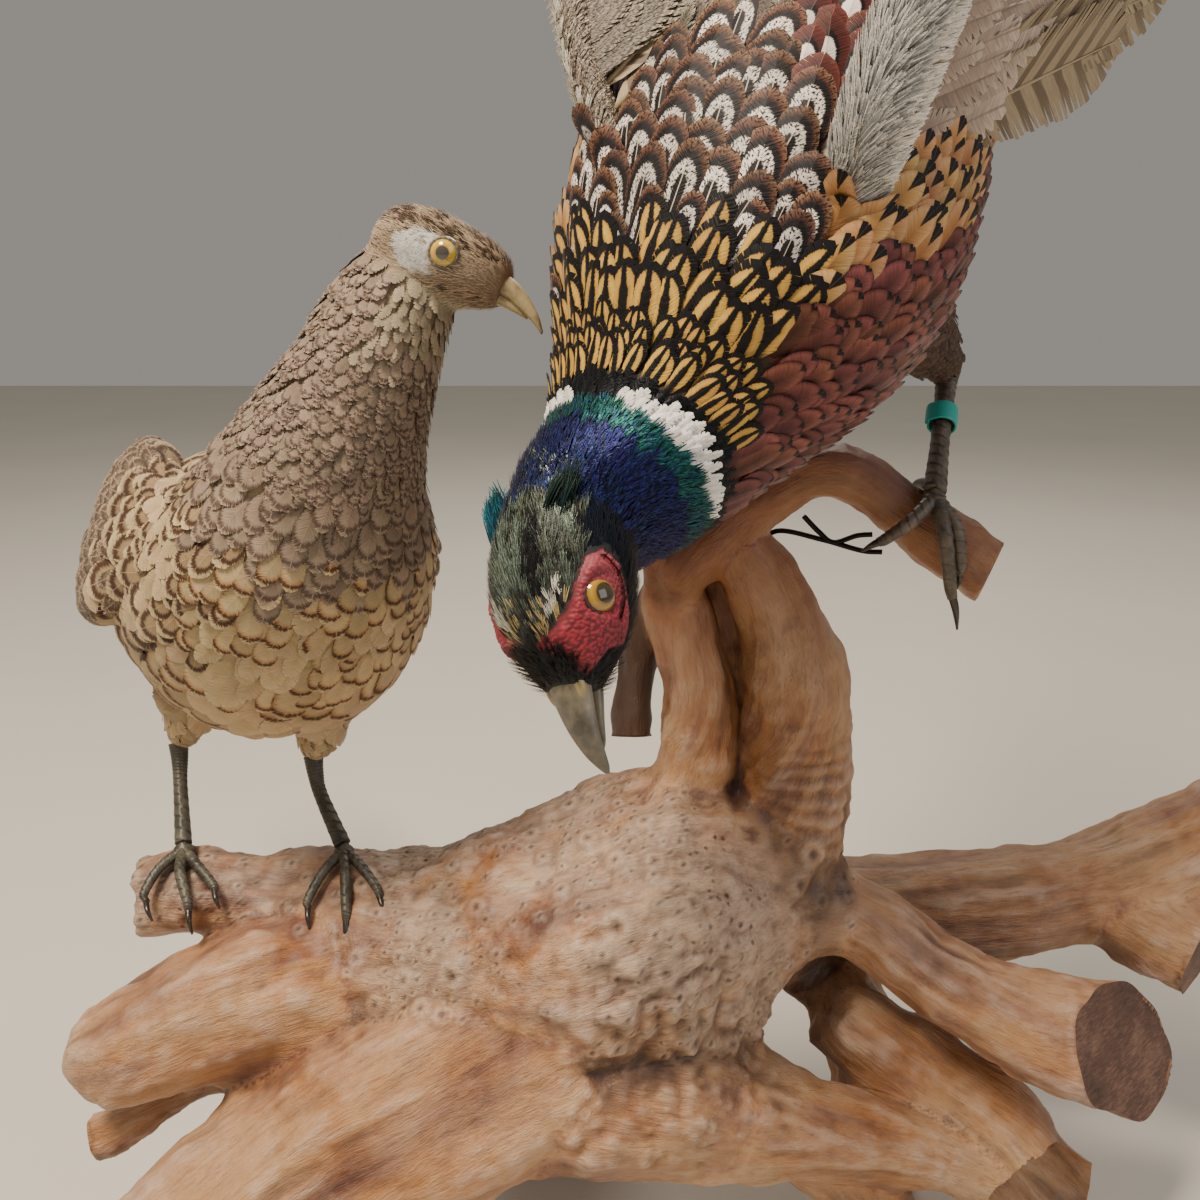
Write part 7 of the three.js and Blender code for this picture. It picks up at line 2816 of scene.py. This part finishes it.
def polished_root() -> bpy.types.Material:
    """Root wood, sanded and varnished: pinkish cream where worn, with a painted highlight on the crests;
    orange to red-brown, with painted shade in the folds and between limbs.

    Grain lines are 0.3 to 1 mm apart, and pin holes 1 to 2 mm wide lie in clusters on the burl. The
    varnish is thin and wiped, so its gloss is soft.
    """
    r = Recipe("root wood, varnished, cream to red-brown")

    def above(value: Socket, start: float, slope: float) -> Socket:
        """How far a value is over a start, times a slope, from 0 to 1."""
        return r.add("Math:MULTIPLY", r.add("Math:SUBTRACT", value, start), slope, use_clamp=True)

    grain = r.add("Attribute", attribute_name="Grain", out="Vector")
    knot, crease, seam, hollow, crest_highlight, pale = (
        r.add("Attribute", attribute_name=name, out="Fac")
        for name in ("Knot", "CreaseShade", "Seam", "HollowShade", "CrestHighlight", "Pale")
    )
    place = r.add("TexCoord", out="Object")
    high = above(r.add("SeparateXYZ", place, out=2), 0.25, 14.0)
    cloud = r.add("TexNoise", place, 14.0, 5.0, 0.6)
    mottle = r.add("TexNoise", place, 75.0, 4.0, 0.6)
    calm = r.add("TexNoise", place, 240.0, 4.0, 0.55)
    lines = r.add("Mix", seam, r.add("TexNoise", grain, 0.6, 5.0, 0.65), calm)
    fine = r.add("Mix", seam, r.add("TexNoise", grain, 2.2, 3.0, 0.55), calm)
    broad = r.add("Mix", seam, r.add("TexNoise", grain, 0.05, 4.0, 0.6), mottle)
    tone = r.add("Math:MULTIPLY_ADD", cloud, 0.45, r.add("Math:MULTIPLY", broad, 0.55))
    colour = r.add("ValToRGB", tone, stops="0.36 #5c3220 0.43 #8a5430 0.49 #b0743a 0.56 #c08a4e 0.64 #c9a078")
    colour = r.add(
        "Mix:RGBA", r.add("Math:MULTIPLY", high, 0.6), colour, r.add("Mix:RGBA", cloud, "#4e271d", "#8e5a44")
    )
    # cream: the burl's own pale wood in mottled patches, plus a painted highlight where the wood is convex
    cream = r.add("Math:MULTIPLY", above(r.add("Math:MULTIPLY_ADD", mottle, 0.4, cloud), 0.5, 4.0), pale)
    cream = r.add("Math:ADD", cream, r.add("Math:MULTIPLY", crest_highlight, 0.45))
    cream = r.add("Math:MULTIPLY", cream, r.add("Math:SUBTRACT", 1.0, high), use_clamp=True)
    colour = r.add(
        "Mix:RGBA", r.add("Math:MULTIPLY", cream, 0.85), colour,
        r.add("Mix:RGBA", lines, "#e2cbb4", "#bc9f88")
    )
    # the hollow and crease layers are painted shade: red-brown in the hollows, darkest where limbs meet
    layers = (
        (above(lines, 0.5, 3.4), 0.5, "#64361f"), (above(mottle, 0.56, 6.0), 0.28, "#7c4a36"),
        (fine, 0.15, "#54301e"), (hollow, 0.68, "#4c2617"), (crease, 0.85, "#2c1710")
    )
    for mask, share, paint in layers:
        colour = r.add("Mix:RGBA", r.add("Math:MULTIPLY", mask, share), colour, paint)
    holes = r.add("TexVoronoi", place, 190.0)
    holes = r.add("Math:SUBTRACT", r.add("Math:MULTIPLY_ADD", mottle, 0.5, 0.0), holes)
    holes = r.add("Math:MULTIPLY", holes, 5.0, use_clamp=True)
    clusters = r.add(
        "Math:MULTIPLY", above(r.add("TexNoise", place, 22.0, 3.0, 0.55), 0.49, 7.0), above(pale, 0.6, 5.0)
    )
    holes = r.add("Math:MULTIPLY", holes, clusters)
    colour = r.add(
        "Mix:RGBA", r.add("Math:MULTIPLY", r.add("Math:MAXIMUM", knot, holes), 0.85, use_clamp=True), colour,
        "#2f1c14"
    )
    rough = r.add("Math:MULTIPLY_ADD", cream, 0.12, 0.38)
    rough = r.add("Math:MULTIPLY_ADD", fine, 0.14, rough)
    bump = r.add("Math:ADD", lines, r.add("Math:MULTIPLY_ADD", fine, 0.5, mottle))
    bump = r.add("Math:SUBTRACT", bump, holes)
    return r.surface(colour, rough, bump, 0.0013, IOR=1.5, Coat_Weight=0.16, Coat_Roughness=0.35)


def sawn_root() -> bpy.types.Material:
    """A sawn end of root wood: dark, dry and rough, with saw lines about 2 mm apart."""
    r = Recipe("root wood, sawn across, dark and dry")
    place = r.add("TexCoord", out="Object")
    marks = r.add("TexNoise", r.add("VectorMath:MULTIPLY", place, (0.6, 0.6, 3.0)), 330.0, 5.0, 0.65)
    cloud = r.add("TexNoise", place, 45.0, 4.0, 0.55)
    tone = r.add("Math:MULTIPLY_ADD", marks, 0.5, r.add("Math:MULTIPLY", cloud, 0.5))
    colour = r.add("ValToRGB", tone, stops="0.34 #35221b 0.5 #5b3e31 0.64 #80604e")
    return r.surface(colour, 0.7, marks, 0.0009, IOR=1.5)


@dataclass(frozen=True)
class Wire:
    """The twist of black wire that ties the perch to the stem, its two ends wound on each other."""

    maker: Maker
    thick: float = 1.1
    strands: tuple = (
        ((66, 14, 330), (74, 12, 338), (92, 9, 335), (108, 6, 331), (116, 3, 331)),
        ((84, 8, 345), (91, 8, 338), (97, 8, 334), (106, 7, 337), (112, 5, 338))
    )

    def build(self) -> None:
        """Runs a smooth tube along each strand."""
        tubes = [Loft.limb([(*p, self.thick) for p in line]).shell(80, 16) for line in self.strands]
        r = Recipe("annealed iron wire, black")
        scale = r.add("TexNoise", r.add("TexCoord", out="Object"), 1200.0, 3.0, 0.55)
        finish = r.surface(r.add("Mix:RGBA", scale, "#100f0e", "#2a2623"), 0.45, scale, 0.00006, Metallic=0.8)
        self.maker.piece("mount_wire_twist", joined(tubes), [finish], "tie_wire", ["mount_wire"])


def build_all(maker: Maker) -> None:
    """Builds the animals and their mount."""
    RootStand(maker).build()
    Wire(maker).build()
    Hen(maker).build()
    wings = CockWings(maker)
    body = CockBody(maker)
    body.fuse(wings.arms())
    body.coat()
    wings.build(body.skin)
    CockTail(maker).build()
    CockFittings(maker).build(body.skin)


# ---------------------------------------------------------------- the studio


@dataclass(frozen=True)
class Studio:
    """A pale floor, soft lights and the camera."""

    maker: Maker
    camera_at: Triple = (0.0, -480.0, 440.0)
    tilt: float = 15.0  # degrees down
    sensor: float = 36.0
    focal: float = 36.09
    floor_side: float = 9.0  # metres

    def build(self) -> None:
        """Sets the floor, the lights and the camera."""
        self.floor()
        self.lights()
        self.camera()

    def floor(self) -> None:
        """A wide matt floor at the root's feet, painted plaster."""
        half = self.floor_side / 2
        mesh = bpy.data.meshes.new("studio_floor")
        mesh.from_pydata(
            [(-half, -half, 0), (half, -half, 0), (half, half, 0), (-half, half, 0)], [], [(0, 1, 2, 3)]
        )
        made = placed("studio_floor", mesh)
        r = Recipe("matt plaster of the floor, pale")
        tone = r.add("TexNoise", r.add("TexCoord", out="Object"), 3.0, 3.0, 0.55)
        made.data.materials.append(r.surface(r.add("Mix:RGBA", tone, "#c9c4ba", "#d3cec4"), 0.9))
        made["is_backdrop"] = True

    def lights(self) -> None:
        """A large key from above and in front, a wide fill and a soft light behind."""
        world = bpy.data.worlds.new("studio")
        world.use_nodes = True
        world.node_tree.nodes["Background"].inputs["Color"].default_value = linear("#d9d4cb")
        world.node_tree.nodes["Background"].inputs["Strength"].default_value = 0.42
        bpy.context.scene.world = world
        lamps = (
            ("key", (-0.6, -0.75, 1.9), 0.55, 60.0, "#fff0dc"),
            ("fill", (1.3, -1.1, 1.0), 1.2, 8.0, "#f3f4ff"), ("back", (0.3, 1.4, 1.7), 1.0, 14.0, "#fff4e6")
        )
        for name, place, side, power, colour in lamps:
            lamp = bpy.data.lights.new(name, "AREA")
            lamp.size, lamp.energy, lamp.color = side, power, linear(colour)[:3]
            made = placed(name, lamp)
            made.location = place
            aim = Vector((0.02, -0.05, 0.35)) - Vector(place)
            made.rotation_euler = aim.to_track_quat("-Z", "Y").to_euler()

    def camera(self) -> None:
        """The camera in front of the birds, looking a little down."""
        eye = bpy.data.cameras.new("camera")
        eye.sensor_width, eye.lens = self.sensor, self.focal
        eye.clip_start, eye.clip_end = 0.02, 30
        made = placed("camera", eye)
        made.location = self.maker.metres(np.array(self.camera_at))
        made.rotation_euler = (math.radians(90 - self.tilt), 0, 0)
        bpy.context.scene.camera = made


def corners() -> list[list[float]]:
    """The shown object's lowest and highest corners, as plain lists."""
    return [list(corner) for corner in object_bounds()]


def main() -> None:
    """Builds and dresses the model in order."""
    logging.basicConfig(level=logging.INFO, format="%(message)s")
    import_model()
    low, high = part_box("cock_eye_left")
    eye = np.array((low + high) / 2) / MM
    maker = Maker(tuple(eye - HEAD_AXES.point(COCK_EYE)))
    log.info("shift %s", maker.shift)
    Studio(maker).build()
    build_all(maker)


if __name__ == "__main__":
    main()
